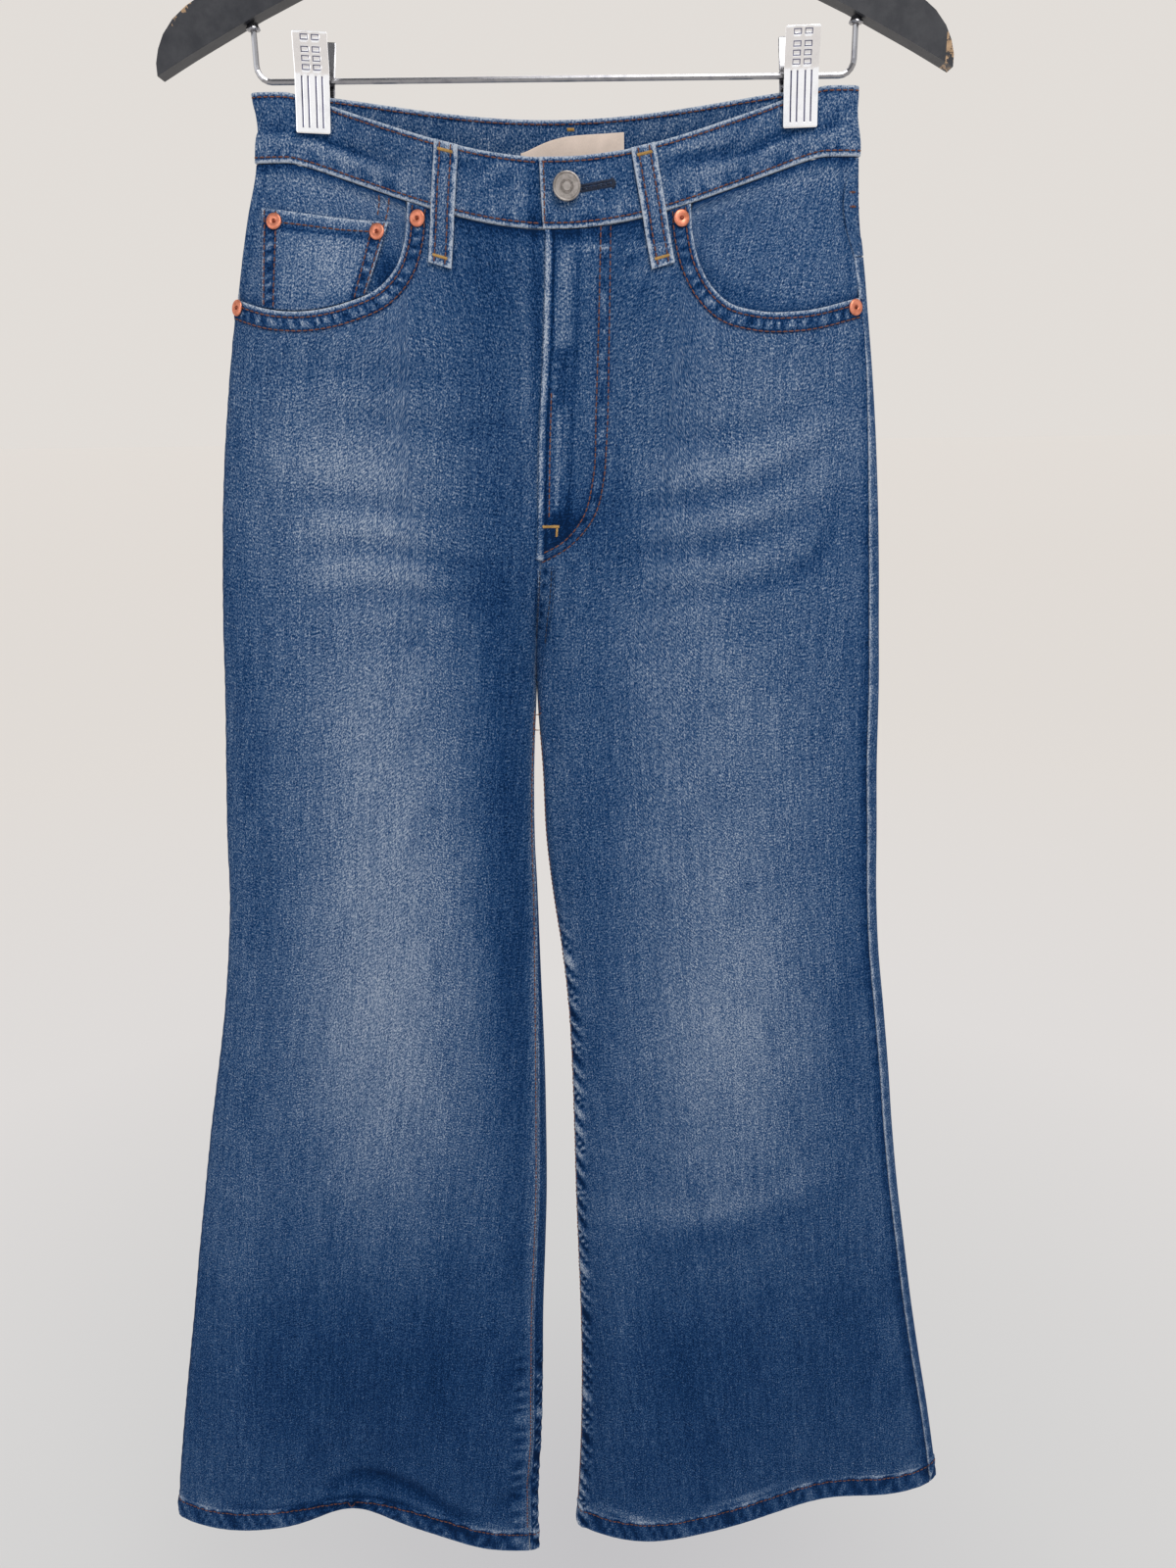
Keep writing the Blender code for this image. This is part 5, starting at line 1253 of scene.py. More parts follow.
def neck_label(material):
    """The bare woven label inside the back of the waistband, drooping at its free end."""
    x = LABEL_X[0] + spread(30, 0.059) * (LABEL_X[1] - LABEL_X[0])
    level = LABEL_LEVELS[0] + spread(11, 0.025) * (LABEL_LEVELS[1] - LABEL_LEVELS[0])
    droop = LABEL_DROOP * np.exp(-(((x - LABEL_X[0]) / (15 * MM)) ** 1.5))
    patch = on_face(x[None], level[:, None] - droop[None], "back")
    top = edge_distances(patch.base)[0]
    bow = 1.6 * MM * np.sin(np.linspace(0, pi, len(x)))[None] * ease_mm(top, 18, 0)
    bow = bow + 0.5 * MM * bell_mm(x, 8, 9)[None]
    divide = -0.3 * MM * bell(x, LABEL_FOLD, 0.5 * MM)[None]
    thickness = LABEL_THICKNESS - 0.35 * MM
    patch = patch._replace(normal=-patch.normal, lift=-patch.lift, fade=0.0 * patch.fade)
    return sew("label", patch, LAY_GAP - BAND_IN + thickness + bow + divide, thickness, material=material)


# ---- stitches
STITCH_RINGS = (0.0, 0.24, 0.76, 1.0)  # places along a stitch
STITCH_HEIGHTS = (-0.35, 0.6, 0.6, -0.35)  # and how far its middle lies out there, in radii
STITCH_RADII = (0.5, 1.0, 1.0, 0.5)
STITCH_SIDES = 5
BARTACK_STEP = 0.62 * MM


def seat(trees, point, normal, reach):
    """The top of the cloth under a point, looking in along the normal."""
    best = None
    for tree in trees:
        hit = tree.ray_cast(point + normal * reach, -normal, 2 * reach)
        if hit[0] is not None and (best is None or hit[3] < best[3]):
            best = hit
    return best[0] if best else point


def lay_threads(name, stitches, on, material, radius, reach=5 * MM):
    """Many stitches as one mesh. Each is its start, its end and the direction out of the cloth."""
    bpy.context.view_layer.update()
    graph = bpy.context.evaluated_depsgraph_get()
    trees = [BVHTree.FromObject(bpy.data.objects[piece], graph) for piece in on]
    seated = []
    for start, stop, out in stitches:
        start, stop, out = Vector(start), Vector(stop), Vector(out)
        seated.append([tuple(seat(trees, p, out, reach)) for p in (start, (start + stop) / 2, stop)])
    a, b, c = np.array(seated).transpose(1, 0, 2)
    normal = np.array([tuple(out) for _, _, out in stitches])
    along = c - a
    along /= np.linalg.norm(along, axis=1, keepdims=True)
    side = np.cross(along, normal)
    side /= np.linalg.norm(side, axis=1, keepdims=True)
    out = np.cross(side, along)
    turns = 2 * pi * np.arange(STITCH_SIDES) / STITCH_SIDES
    spoke = side[:, None] * np.cos(turns)[None, :, None] + out[:, None] * np.sin(turns)[None, :, None]
    rings = []
    for place, height, size in zip(STITCH_RINGS, STITCH_HEIGHTS, STITCH_RADII):
        centre = a * (1 - place) * (1 - 2 * place) + b * 4 * place * (1 - place) + c * place * (2 * place - 1)
        rings.append((centre + out * radius * height)[:, None] + spoke * radius * size)
    verts = np.stack(rings, axis=1)
    count, ring_count, sides = verts.shape[:3]
    index = np.arange(count * ring_count * sides).reshape(count, ring_count, sides)
    after = np.roll(index, -1, axis=2)
    quads = np.stack([index[:, :-1], after[:, :-1], after[:, 1:], index[:, 1:]], -1).reshape(-1, 4)
    faces = quads.tolist() + index[:, 0, ::-1].tolist() + index[:, -1].tolist()
    mesh = bpy.data.meshes.new(name)
    mesh.from_pydata(verts.reshape(-1, 3).tolist(), [], faces)
    shell = bmesh.new()
    shell.from_mesh(mesh)
    bmesh.ops.recalc_face_normals(shell, faces=shell.faces)
    shell.to_mesh(mesh)
    shell.free()
    mesh.shade_smooth()
    obj = tidy_object(name, mesh, material)
    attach(obj, "root")
    return obj


def along_path(points, normals, length, gap):
    """Stitches of one length along a line of points."""
    arc = np.concatenate([[0], np.cumsum(np.linalg.norm(np.diff(points, axis=0), axis=1))])
    count = max(int(arc[-1] / (length + gap)), 1)
    starts = np.arange(count) * arc[-1] / count
    stops = starts + arc[-1] / count - gap
    found = []
    for a, b in zip(starts, stops):
        ends_at = [[np.interp(s, arc, points[:, k]) for k in range(3)] for s in (a, b)]
        normal = np.array([np.interp((a + b) / 2, arc, normals[:, k]) for k in range(3)])
        found.append((*ends_at, normal / np.linalg.norm(normal)))
    return found


def sewn(points, normals):
    """A row of topstitches along a line of points."""
    settings = bpy.context.scene.jeans
    return along_path(points, normals, settings.stitch_length, settings.stitch_gap)


def leg_line(leg, theta, level, face):
    """The points and normals of a line on one leg."""
    theta, level = paired(theta, level)
    return surface(leg, theta, level, face), normals(leg, theta, level, face)


def path_line(leg, path, face):
    """The same, from the x and z of its points."""
    return leg_line(leg, *locate(leg, path[:, 0], path[:, 1], face), face)


def face_line(points, face="front", leg="left", count=60):
    """A line on a face through x, z points in mm."""
    return path_line(leg, through(points, count), face)


def x_line(leg, x, level, face):
    return leg_line(leg, theta_at(leg, x, level, face), level, face)


def bartack(start, stop, normal, width):
    """Close zigzag stitches across a short line."""
    start, stop = np.array(start, float), np.array(stop, float)
    run = stop - start
    cross = np.cross(run, normal)
    cross *= width / 2 / np.linalg.norm(cross)
    count = int(np.linalg.norm(run) / BARTACK_STEP)
    tilt = run / count * 0.35
    middles = [start + run * (i + 0.5) / count for i in range(count)]
    return [(m - cross - tilt, m + cross + tilt, normal) for m in middles]


def inward(leg, face, edge_theta, level, distance):
    """The theta that lies a distance in from a panel's edge, towards the middle of the panel."""
    middle = pi / 2 if face == "front" else 1.5 * pi
    sign = np.sign(middle - edge_theta)
    fine = edge_theta[:, None] + sign[:, None] * np.linspace(0, 0.5, 60)[None]
    points = surface(leg, fine, np.repeat(level[:, None], 60, axis=1), face)
    arc = arcs(points, 1)
    return np.array([np.interp(distance, a, t) for a, t in zip(arc, fine)])


# ---- modelling with Blender's tools
def start_fresh():
    """Object mode with nothing selected."""
    if bpy.context.object and bpy.context.object.mode != "OBJECT":
        bpy.ops.object.mode_set(mode="OBJECT")
    bpy.ops.object.select_all(action="DESELECT")


def only(obj):
    """Selects one object and makes it the active one."""
    start_fresh()
    obj.select_set(True)
    bpy.context.view_layer.objects.active = obj


def edit(obj):
    """Edit mode on one object, with all of it selected."""
    only(obj)
    bpy.ops.object.mode_set(mode="EDIT")
    bpy.ops.mesh.select_all(action="SELECT")


def added(name):
    """The object that a Blender tool has just added, under its own name, in edit mode."""
    obj = bpy.context.object
    obj.name = obj.data.name = name
    edit(obj)
    return obj


def smooth(obj, degrees):
    only(obj)
    bpy.ops.object.shade_smooth_by_angle(angle=radians(degrees))


def finish_modifier(obj, kind, **values):
    """Adds a modifier with its values and applies it."""
    only(obj)
    bpy.ops.object.modifier_add(type=kind)
    modifier = obj.modifiers[-1]
    for key, value in values.items():
        setattr(modifier, key, value)
    bpy.ops.object.modifier_apply(modifier=modifier.name)


def outward(obj):
    """Merges doubles and turns every face outwards."""
    edit(obj)
    bpy.ops.mesh.remove_doubles(threshold=1e-6)
    bpy.ops.mesh.normals_make_consistent(inside=False)
    start_fresh()


def pick(obj, test, kind="FACE", ahead=False):
    """In edit mode, selects the points, or the faces (that look ahead), where a test on x, y, z holds."""
    bpy.ops.mesh.select_mode(type=kind)
    bpy.ops.mesh.select_all(action="DESELECT")
    shell = bmesh.from_edit_mesh(obj.data)
    if kind == "VERT":
        for vert in shell.verts:
            vert.select_set(bool(test(vert.co)))
        shell.select_flush_mode()
    else:
        for face in shell.faces:
            seen = not ahead or face.normal.y < -0.3
            face.select_set(seen and bool(test(face.calc_center_median())))
    bmesh.update_edit_mesh(obj.data)


def put(obj, place, turn=None):
    """Moves a finished shape to its place and writes the place into its mesh."""
    obj.data.transform(Matrix.Translation(place) @ (turn.to_matrix().to_4x4() if turn else Matrix()))
    obj.data.update()


def turned(name, profile, steps, material):
    """A profile of radius and height (mm) spun round the vertical."""
    start_fresh()
    bpy.ops.mesh.primitive_plane_add(size=1 * MM)
    obj = added(name)
    bpy.ops.mesh.select_mode(type="VERT")
    bpy.ops.mesh.merge(type="CENTER")
    bpy.ops.transform.translate(value=(profile[0][0] * MM, 0, profile[0][1] * MM))
    for (r0, h0), (r1, h1) in zip(profile, profile[1:]):
        step = ((r1 - r0) * MM, 0, (h1 - h0) * MM)
        bpy.ops.mesh.extrude_region_move(TRANSFORM_OT_translate={"value": step})
    bpy.ops.mesh.select_all(action="SELECT")
    bpy.ops.mesh.spin(steps=steps, angle=2 * pi, center=(0, 0, 0), axis=(0, 0, 1))
    outward(obj)
    smooth(obj, 35)
    obj.data.materials.append(material)
    return obj


def trim(obj, slot, *nodes):
    """Ties a finished trim to the frame."""
    start_fresh()
    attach(obj, "root")
    if nodes:
        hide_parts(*nodes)


def upright(direction):
    return Vector((0, 0, 1)).rotation_difference(Vector(direction))


def make_button(material):
    """The shank button: a domed rim, a worked band and a raised ring in the middle."""
    radius = BUTTON_DIAMETER / 2 / MM
    place, out = face_normal(BUTTON_PLACE[0] * MM, BUTTON_PLACE[1] * MM, "front")
    profile = (
        (0, 3.1), (2.3, 3.12), (2.5, 2.9), (2.7, 3.2), (2.95, 3.2), (3.15, 2.9), (3.35, 3.2),
        (3.6, 3.2), (3.8, 2.95), (6.2, 3.0), (6.5, 3.3), (radius - 0.6, 3.45), (radius - 0.15, 3.3),
        (radius, 3.0), (radius, 2.5), (radius - 0.5, 2.0), (radius - 1.2, 1.8), (3.4, 1.4), (3.2, 0.6),
        (3.5, 0), (0, 0),
    )
    obj = turned("button_finished", profile, 56, material)
    obj.data.transform(Matrix.Scale(0.995, 4))
    put(obj, Vector(place + out * BUTTON_SEAT), upright(out))
    trim(obj, "button_metal", "button")
    return obj


def make_rivets(material, nub_material):
    """The pocket rivets: a copper ring each, dished towards its nub."""
    radius = RIVET_DIAMETER / 2 / MM
    profile = (
        (0, 1.7), (0.5, 1.66), (0.8, 1.4), (0.9, 1.0), (1.15, 0.85), (1.5, 1.05), (2.6, 1.2),
        (radius * 0.84, 1.18), (radius * 0.95, 0.9), (radius, 0.45), (radius - 0.15, 0.05), (0, 0),
    )
    shape = turned("rivet", profile, 36, material)
    shape.data.materials.append(nub_material)
    for face in shape.data.polygons:
        if face.center.xy.length < 1.1 * MM and face.center.z > 0.5 * MM:
            face.material_index = 1
    made = []
    for name, x, z, seat_height in RIVETS:
        place, out = face_normal(x * MM, z * MM, "front")
        twin = copy_of(shape, name + "_finished")
        put(twin, Vector(place + out * (seat_height * MM + SEAM_GAP)), upright(out))
        trim(twin, "rivet_copper", name)
        made.append(twin)
    bpy.data.objects.remove(shape)
    return made


# ---- clips and the hanger's fittings
JAW_STATIONS, JAW_COLUMNS = 36, 22
JAW_CORNER = 2.2 * MM
FLUTE_PLACES = (-5.61, -2.16, 2.16, 5.61)  # mm from the jaw's middle
FLUTE_ROWS = (-23.5, 1.5)
DIMPLE_PLACES = (-3.1, 3.1)
DIMPLE_ROWS = (6.0, 10.2, 14.4, 18.6)


def jaw_plate(name, width, front, material, groove_shade_material):
    """One pressed-steel jaw, drawn down along its bent profile and dimpled and fluted if in front."""
    profile = through([(y, z) for z, y in JAW_PROFILE], JAW_STATIONS)
    sign = -1 if front else 1
    start_fresh()
    bpy.ops.mesh.primitive_grid_add(x_subdivisions=JAW_COLUMNS, y_subdivisions=1, size=1)
    obj = added(name)
    bpy.ops.transform.resize(value=(width, 1, 1))
    for edge, station in ((0.5, profile[0]), (-0.5, profile[1])):
        pick(obj, lambda co: abs(co.y - edge) < 0.2 and abs(co.z) < 1e-6, "VERT")
        bpy.ops.transform.translate(value=(0, sign * station[0] - edge, station[1]))
    for here, there in zip(profile[1:], profile[2:]):
        step = (0, sign * (there[0] - here[0]), there[1] - here[1])
        bpy.ops.mesh.extrude_region_move(TRANSFORM_OT_translate={"value": step})
    low, high = profile[-1][1] + 1e-5, profile[0][1] - 1e-5
    pick(obj, lambda co: abs(abs(co.x) - width / 2) < 1e-5 and not low <= co.z <= high, "VERT")
    bpy.ops.mesh.bevel(offset=JAW_CORNER, segments=5, affect="VERTICES")
    bpy.ops.mesh.select_all(action="SELECT")
    bpy.ops.mesh.normals_make_consistent(inside=False)
    shell = bmesh.from_edit_mesh(obj.data)
    shell.faces.ensure_lookup_table()
    if (shell.faces[len(shell.faces) // 2].normal.y < 0) != front:
        bpy.ops.mesh.flip_normals()
    start_fresh()
    obj.data.materials.append(material)
    obj.data.materials.append(groove_shade_material)
    finish_modifier(obj, "SOLIDIFY", thickness=JAW_STEEL, offset=1.0, use_even_offset=True)
    if front:
        rows = [min(profile, key=lambda spot: abs(spot[1] - row * MM))[1] for row in DIMPLE_ROWS]

        def in_flute(co):
            near = min(abs(co.x - place * MM) for place in FLUTE_PLACES)
            return near < 0.42 * MM and FLUTE_ROWS[0] * MM < co.z < FLUTE_ROWS[1] * MM

        def in_dimple(co):
            across = min(abs(co.x - place * MM) for place in DIMPLE_PLACES)
            return across < 2.2 * MM and min(abs(co.z - row) for row in rows) < 1.2 * MM

        edit(obj)
        # The flutes and the dimples' rims get the dull dark second material: painted shade in the hollows.
        for test, rim, depth in ((in_flute, 0.14, 0.7), (in_dimple, 0.5, 0.8)):
            pick(obj, test, ahead=True)
            paint_selected(obj, 1)
            bpy.ops.mesh.inset(thickness=rim * MM, depth=-FLUTE_DEPTH * depth)
        paint_selected(obj, 0)
    finish_modifier(obj, "BEVEL", width=0.1 * MM, segments=2, angle_limit=radians(50))
    smooth(obj, 40)
    return obj


def paint_selected(obj, slot):
    obj.active_material_index = slot
    bpy.ops.object.material_slot_assign()


def copy_of(obj, name):
    """A second piece of the same shape, with its own mesh."""
    twin = obj.copy()
    twin.data = obj.data.copy()
    twin.name = twin.data.name = name
    bpy.context.scene.collection.objects.link(twin)
    return twin


def clip_spring(name, material):
    """The wound spring round the bar, from one ring of wire screwed along it."""
    start_fresh()
    bpy.ops.mesh.primitive_circle_add(vertices=8, radius=SPRING_WIRE, fill_type="NOTHING")
    obj = added(name)
    reach = SPRING_RADIUS - SPRING_WIRE
    bpy.ops.transform.translate(value=(-SPRING_LENGTH / 2 + SPRING_WIRE, 0, reach))
    turns = int((SPRING_LENGTH - 2 * SPRING_WIRE) / (2.1 * SPRING_WIRE))
    pitch = (SPRING_LENGTH - 2 * SPRING_WIRE) / turns
    values = {"axis": "X", "screw_offset": pitch, "iterations": turns, "steps": 16, "render_steps": 16}
    finish_modifier(obj, "SCREW", use_merge_vertices=True, merge_threshold=1e-6, **values)
    outward(obj)
    edit(obj)
    bpy.ops.mesh.region_to_loop()
    bpy.ops.mesh.edge_face_add()
    outward(obj)
    only(obj)
    bpy.ops.object.shade_smooth()
    obj.data.materials.append(material)
    return obj


def make_clips(material, groove_shade_material, back_material):
    """Two clips: a fluted front jaw, a plain back jaw and the spring on the bar."""
    shapes = {
        "jaw_front": jaw_plate("jaw_front", CLIP_WIDTH, True, material, groove_shade_material),
        "jaw_back": jaw_plate("jaw_back", BACK_JAW_WIDTH, False, back_material, groove_shade_material),
        "spring": clip_spring("spring", back_material),
    }
    made = []
    for side, x, lean in CLIPS:
        turn = Matrix.Rotation(radians(lean), 4, "Y").to_quaternion()
        for part, shape in shapes.items():
            node = "clip_" + side + "_" + part
            twin = copy_of(shape, node + "_finished")
            put(twin, Vector((x * MM, 0, BAR_LEVEL)), turn if part != "spring" else None)
            trim(twin, "chrome", node)
            made.append(twin)
    for shape in shapes.values():
        bpy.data.objects.remove(shape)
    return made


def make_collar(name, x, material):
    """The small pressed collar where the bar's end enters the arm."""
    top = float(column(ARM, "lower", abs(x)))
    profile = ((1.9, 0), (3.3, 0.1), (3.9, 0.7), (3.9, 1.4), (3.2, 2.4), (2.6, 4.0), (1.9, 4.2))
    obj = turned(name, profile + (profile[0],), 24, material)
    put(obj, Vector((x, 0, top - 4.4 * MM)))
    trim(obj, "chrome")
    return obj


def dress_node(node, material):
    """Gives a solid of the frame its finished material."""
    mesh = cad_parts[node].data
    for index in range(len(mesh.materials)):
        mesh.materials[index] = material
    if not mesh.materials:
        mesh.materials.append(material)


# ---- finishes
FINE = "fine_"  # before the name of every finished material
WAVE_PERIOD = 0.314  # of a wave texture at scale 1


def finish_of(name):
    return bpy.data.materials[FINE + name]


class Nodes:
    """Shader nodes that are added and joined one by one."""

    def __init__(self, owner):
        owner.use_nodes = True
        self.tree = owner.node_tree

    def node(self, kind, settings=None, **inputs):
        """A node; an input is a value or another node's output."""
        made = self.tree.nodes.new("ShaderNode" + kind)
        for key, value in (settings or {}).items():
            setattr(made, key, value)
        self.fill(made, inputs)
        return made

    def fill(self, node, inputs):
        for key, value in inputs.items():
            self.join(node.inputs[key.replace("_", " ")], value)

    def join(self, socket, value):
        if isinstance(value, bpy.types.NodeSocket):
            self.tree.links.new(value, socket)
        else:
            socket.default_value = value

    def math(self, operation, first, second=0.0, third=0.0, clamp=False):
        made = self.node("Math", {"operation": operation, "use_clamp": clamp})
        for socket, value in zip(made.inputs, (first, second, third)):
            self.join(socket, value)
        return made.outputs[0]

    def mix(self, share, first, second):
        """Two colours, the second one by a share."""
        made = self.node("Mix", {"data_type": "RGBA"}, Factor=share)
        self.join(made.inputs[6], first)
        self.join(made.inputs[7], second)
        return made.outputs[2]

    def noise(self, coordinates, scale=(1, 1, 1), **inputs):
        """Noise on coordinates stretched by a scale per axis."""
        mapping = self.node("Mapping", Vector=coordinates, Scale=scale)
        return self.node("TexNoise", Vector=mapping.outputs[0], **{"Scale": 1.0, **inputs}).outputs["Fac"]

    def ramp(self, value, stops):
        made = self.node("ValToRGB", Fac=value)
        elements = made.color_ramp.elements
        while len(elements) < len(stops):
            elements.new(0.5)
        for element, (place, color) in zip(elements, stops):
            element.position = place
            element.color = (*color, 1)
        return made.outputs[0]


class Finish(Nodes):
    """A material and its nodes."""

    def __init__(self, name, roughness, metallic=0.0, **inputs):
        self.material = bpy.data.materials.new(FINE + name)
        super().__init__(self.material)
        self.shader = self.tree.nodes["Principled BSDF"]
        self.fill(self.shader, {"Roughness": roughness, "Metallic": metallic, **inputs})

    def bump(self, height, strength, distance):
        made = self.node("Bump", Height=height, Strength=strength, Distance=distance)
        self.join(self.shader.inputs["Normal"], made.outputs[0])

    def color(self, value):
        self.join(self.shader.inputs["Base Color"], value)


def mixed(first, second, share):
    return tuple(a + (b - a) * share for a, b in zip(first, second))


def denim_finish():
    """Indigo twill: dark warp over pale weft, faded with wear and darkened with painted shade where the piece's
    own attribute says so.
    """
    settings = bpy.context.scene.jeans
    look = Finish("denim", 0.95, Specular_IOR_Level=0.05)
    cloth = look.node("UVMap", {"uv_map": "Cloth"}).outputs[0]
    threads = look.node("Mapping", Vector=cloth, Scale=(1000, 1000, 1000)).outputs[0]
    slub = look.noise(threads, (1.1, 0.12, 1), Detail=2.0)
    streak = look.noise(threads, (0.36, 0.018, 1), Detail=1.0)
    weft = look.noise(threads, (0.11, 0.75, 1), Detail=1.0)
    grain = look.noise(threads, (1.0, 0.75, 1), Detail=3.0, Roughness=0.70)
    cloud = look.noise(threads, (0.035, 0.022, 1), Detail=3.0)
    lean = look.node("Mapping", Vector=threads, Rotation=(0, 0, settings.twill_angle)).outputs[0]
    size = WAVE_PERIOD / settings.twill_pitch * 0.001
    twill = look.node("TexWave", Vector=lean, Scale=size, Distortion=2.6, Detail=1.5, Detail_Scale=2.5)
    fade = look.node("Attribute", {"attribute_name": "fade"}).outputs["Fac"]
    reverse = look.node("Attribute", {"attribute_name": "reverse"}).outputs["Fac"]
    worn_and_shaded = fade
    shades = ((slub, 0.50), (streak, 0.26), (weft, 0.24), (cloud, 0.16), (twill.outputs["Fac"], 0.08))
    for part, amount in shades:
        centred = look.math("SUBTRACT", part, 0.5)
        worn_and_shaded = look.math("MULTIPLY_ADD", centred, amount, worn_and_shaded)
    fleck = look.math("SUBTRACT", grain, 0.5)
    fleck = look.math("MULTIPLY", fleck, look.math("MULTIPLY_ADD", fade, 1.2, 1.8))
    worn_and_shaded = look.math("ADD", worn_and_shaded, fleck, clamp=True)
    dark, middle, pale = settings.indigo, settings.mid_blue, settings.worn_blue
    stops = (
        (0.0, mixed((0, 0, 0), dark, 0.45)),
        (0.22, dark),
        (0.445, middle),
        (0.65, pale),
        (1.0, mixed(pale, (0.80, 0.85, 0.90), 0.40)),
    )
    face = look.ramp(worn_and_shaded, [(place, tuple(c)) for place, c in stops])
    look.color(look.mix(look.math("MULTIPLY", reverse, 0.45), face, (0.34, 0.38, 0.44, 1)))
    height = look.math("MULTIPLY_ADD", twill.outputs["Fac"], 0.12, look.math("MULTIPLY", grain, 0.6))
    look.bump(height, 0.5, 0.25 * MM)
    return look.material


def dull_finish(name, color, dark):
    """A dull surface, such as waxed thread, mottled and finely uneven."""
    look = Finish(name, 0.55, Specular_IOR_Level=0.3, Sheen_Weight=0.1)
    place = look.node("TexCoord").outputs["Object"]
    tone = look.noise(place, Scale=190.0, Detail=2.0)
    look.color(look.ramp(tone, [(0.3, tuple(dark)), (0.62, tuple(color))]))
    look.bump(look.noise(place, Scale=2600.0), 0.5, 0.1 * MM)
    return look.material


def label_finish(color):
    """Cream cotton tape, plainly woven."""
    look = Finish("label_cotton", 0.85, Specular_IOR_Level=0.15, Sheen_Weight=0.15)
    cloth = look.node("UVMap", {"uv_map": "Cloth"}).outputs[0]
    weave = look.noise(cloth, (2600, 900, 1), Detail=2.0)
    soil = look.noise(cloth, (90, 90, 1), Detail=3.0)
    tone = look.math("MULTIPLY_ADD", weave, 0.4, look.math("MULTIPLY", soil, 0.6))
    look.color(look.ramp(tone, [(0.25, mixed(color, (0.3, 0.25, 0.2), 0.35)), (0.65, tuple(color))]))
    look.bump(weave, 0.5, 0.12 * MM)
    return look.material


def metal_finish(name, color, tarnish, roughness, wear_scale, wear):
    """Plated metal with fine scratches and tarnish in patches."""
    look = Finish(name, roughness, 1.0)
    place = look.node("TexCoord").outputs["Object"]
    patches = look.noise(place, Scale=wear_scale, Detail=4.0, Roughness=0.65)
    low, high = wear
    look.color(look.ramp(patches, [(low, tuple(tarnish)), (high, tuple(color))]))
    rough = look.node("MapRange", Value=patches, To_Min=roughness + 0.16, To_Max=max(roughness - 0.06, 0.04))
    look.join(look.shader.inputs["Roughness"], rough.outputs[0])
    scratch = look.noise(place, (1, 1, 0.12), Scale=wear_scale * 6, Detail=2.0)
    look.bump(scratch, 0.12, 0.05 * MM)
    return look.material


def lacquer_finish(color, wood):
    """Satin black lacquer over wood, chipped along the upper edges near the tips."""
    look = Finish("hanger_lacquer", 0.42, Specular_IOR_Level=0.3)
    place = look.node("TexCoord").outputs["Object"]
    split = look.node("SeparateXYZ", Vector=place)
    x, z = split.outputs[0], split.outputs[2]
    dust = look.noise(place, Scale=70.0, Detail=5.0, Roughness=0.7)
    base = look.ramp(dust, [(0.35, tuple(color)), (0.8, mixed(color, (0.2, 0.2, 0.21), 0.18))])
    ragged = look.noise(place, Scale=230.0, Detail=5.0, Roughness=0.7)
    tip = look.math("MULTIPLY", look.math("LESS_THAN", x, -0.196), look.math("GREATER_THAN", z, -0.186))
    rim = look.math("MULTIPLY_ADD", look.math("MULTIPLY", x, -0.66), 1.0, look.math("MULTIPLY", z, 0.75))
    ragged_rim = look.math("MULTIPLY_ADD", ragged, 0.022, rim)
    chips = look.math("MULTIPLY", tip, look.math("GREATER_THAN", ragged_rim, 0.0188))
    rough = look.math("GREATER_THAN", ragged, 0.52)
    other_tip = look.math("MULTIPLY", look.math("GREATER_THAN", x, 0.214), rough)
    bare = look.math("MAXIMUM", chips, other_tip)
    grain = look.noise(place, (40, 400, 400), Detail=3.0)
    timber = look.ramp(grain, [(0.3, mixed(wood, (0.1, 0.05, 0.02), 0.4)), (0.7, tuple(wood))])
    look.color(look.mix(bare, base, timber))
    look.bump(look.math("MULTIPLY_ADD", bare, -0.8, look.math("MULTIPLY", dust, 0.15)), 0.4, 0.3 * MM)
    return look.material


def finishes():
    """Every material, made once."""
    s = bpy.context.scene.jeans
    denim_finish()
    dull_finish("topstitch", s.topstitch, mixed(s.topstitch, (0, 0, 0), 0.45))
    dull_finish("bartack_gold", s.bartack, mixed(s.bartack, (0.1, 0.04, 0), 0.45))
    dull_finish("navy_thread", s.navy_thread, mixed(s.navy_thread, (0, 0, 0), 0.5))
    label_finish(s.label_color)
    metal_finish("button_metal", s.button_metal, (0.20, 0.185, 0.175), 0.46, 320.0, (0.30, 0.60))
    metal_finish("rivet_copper", s.copper, (0.48, 0.16, 0.09), 0.42, 260.0, (0.30, 0.58))
    metal_finish("rivet_nub", (0.28, 0.08, 0.05), (0.10, 0.03, 0.02), 0.45, 400.0, (0.3, 0.6))
    metal_finish("chrome", s.chrome, (0.84, 0.84, 0.87), 0.10, 120.0, (0.25, 0.5))
    metal_finish("chrome_wire", (0.34, 0.34, 0.36), (0.22, 0.22, 0.25), 0.14, 120.0, (0.25, 0.5))
    # Dull dark paint for the clips' flutes and dimple rims: painted shade.
    dull_finish("chrome_groove_shade", (0.13, 0.13, 0.22), (0.05, 0.05, 0.09))
    lacquer_finish(s.lacquer, s.bare_wood)


# ---- rows of stitches
WAIST_ROWS = (2.6, 32.6)  # mm below the waistband's top edge
SEAM_ROWS = (1.7, 8.0)  # mm from a seam that is sewn down twice
POCKET_ROWS = (3.3, 10.3)
COIN_ROWS_IN = (1.6, 8.2)
COIN_HEM = 6.2
LOOP_ROW = 3.5 * MM
HEM_ROW = 2.6 * MM
BAG_STAYS = (((-100, -259.5), (-102, -270)), ((-94, -261.5), (-97.5, -273)))
J_ROWS = (
    ((24, -279), (22.4, -330), (20.5, -377), (18.4, -415), (12.3, -437), (-3, -453.5), (-12, -457.6)),
    ((29.4, -279), (28.2, -340), (26.6, -393), (24.8, -415), (19.4, -435.6), (3.1, -454.7), (-13.5, -464)),
)
FLY_FOLD_ROW = ((-5.0, -366), (-6.6, -398), (-8.0, -437))
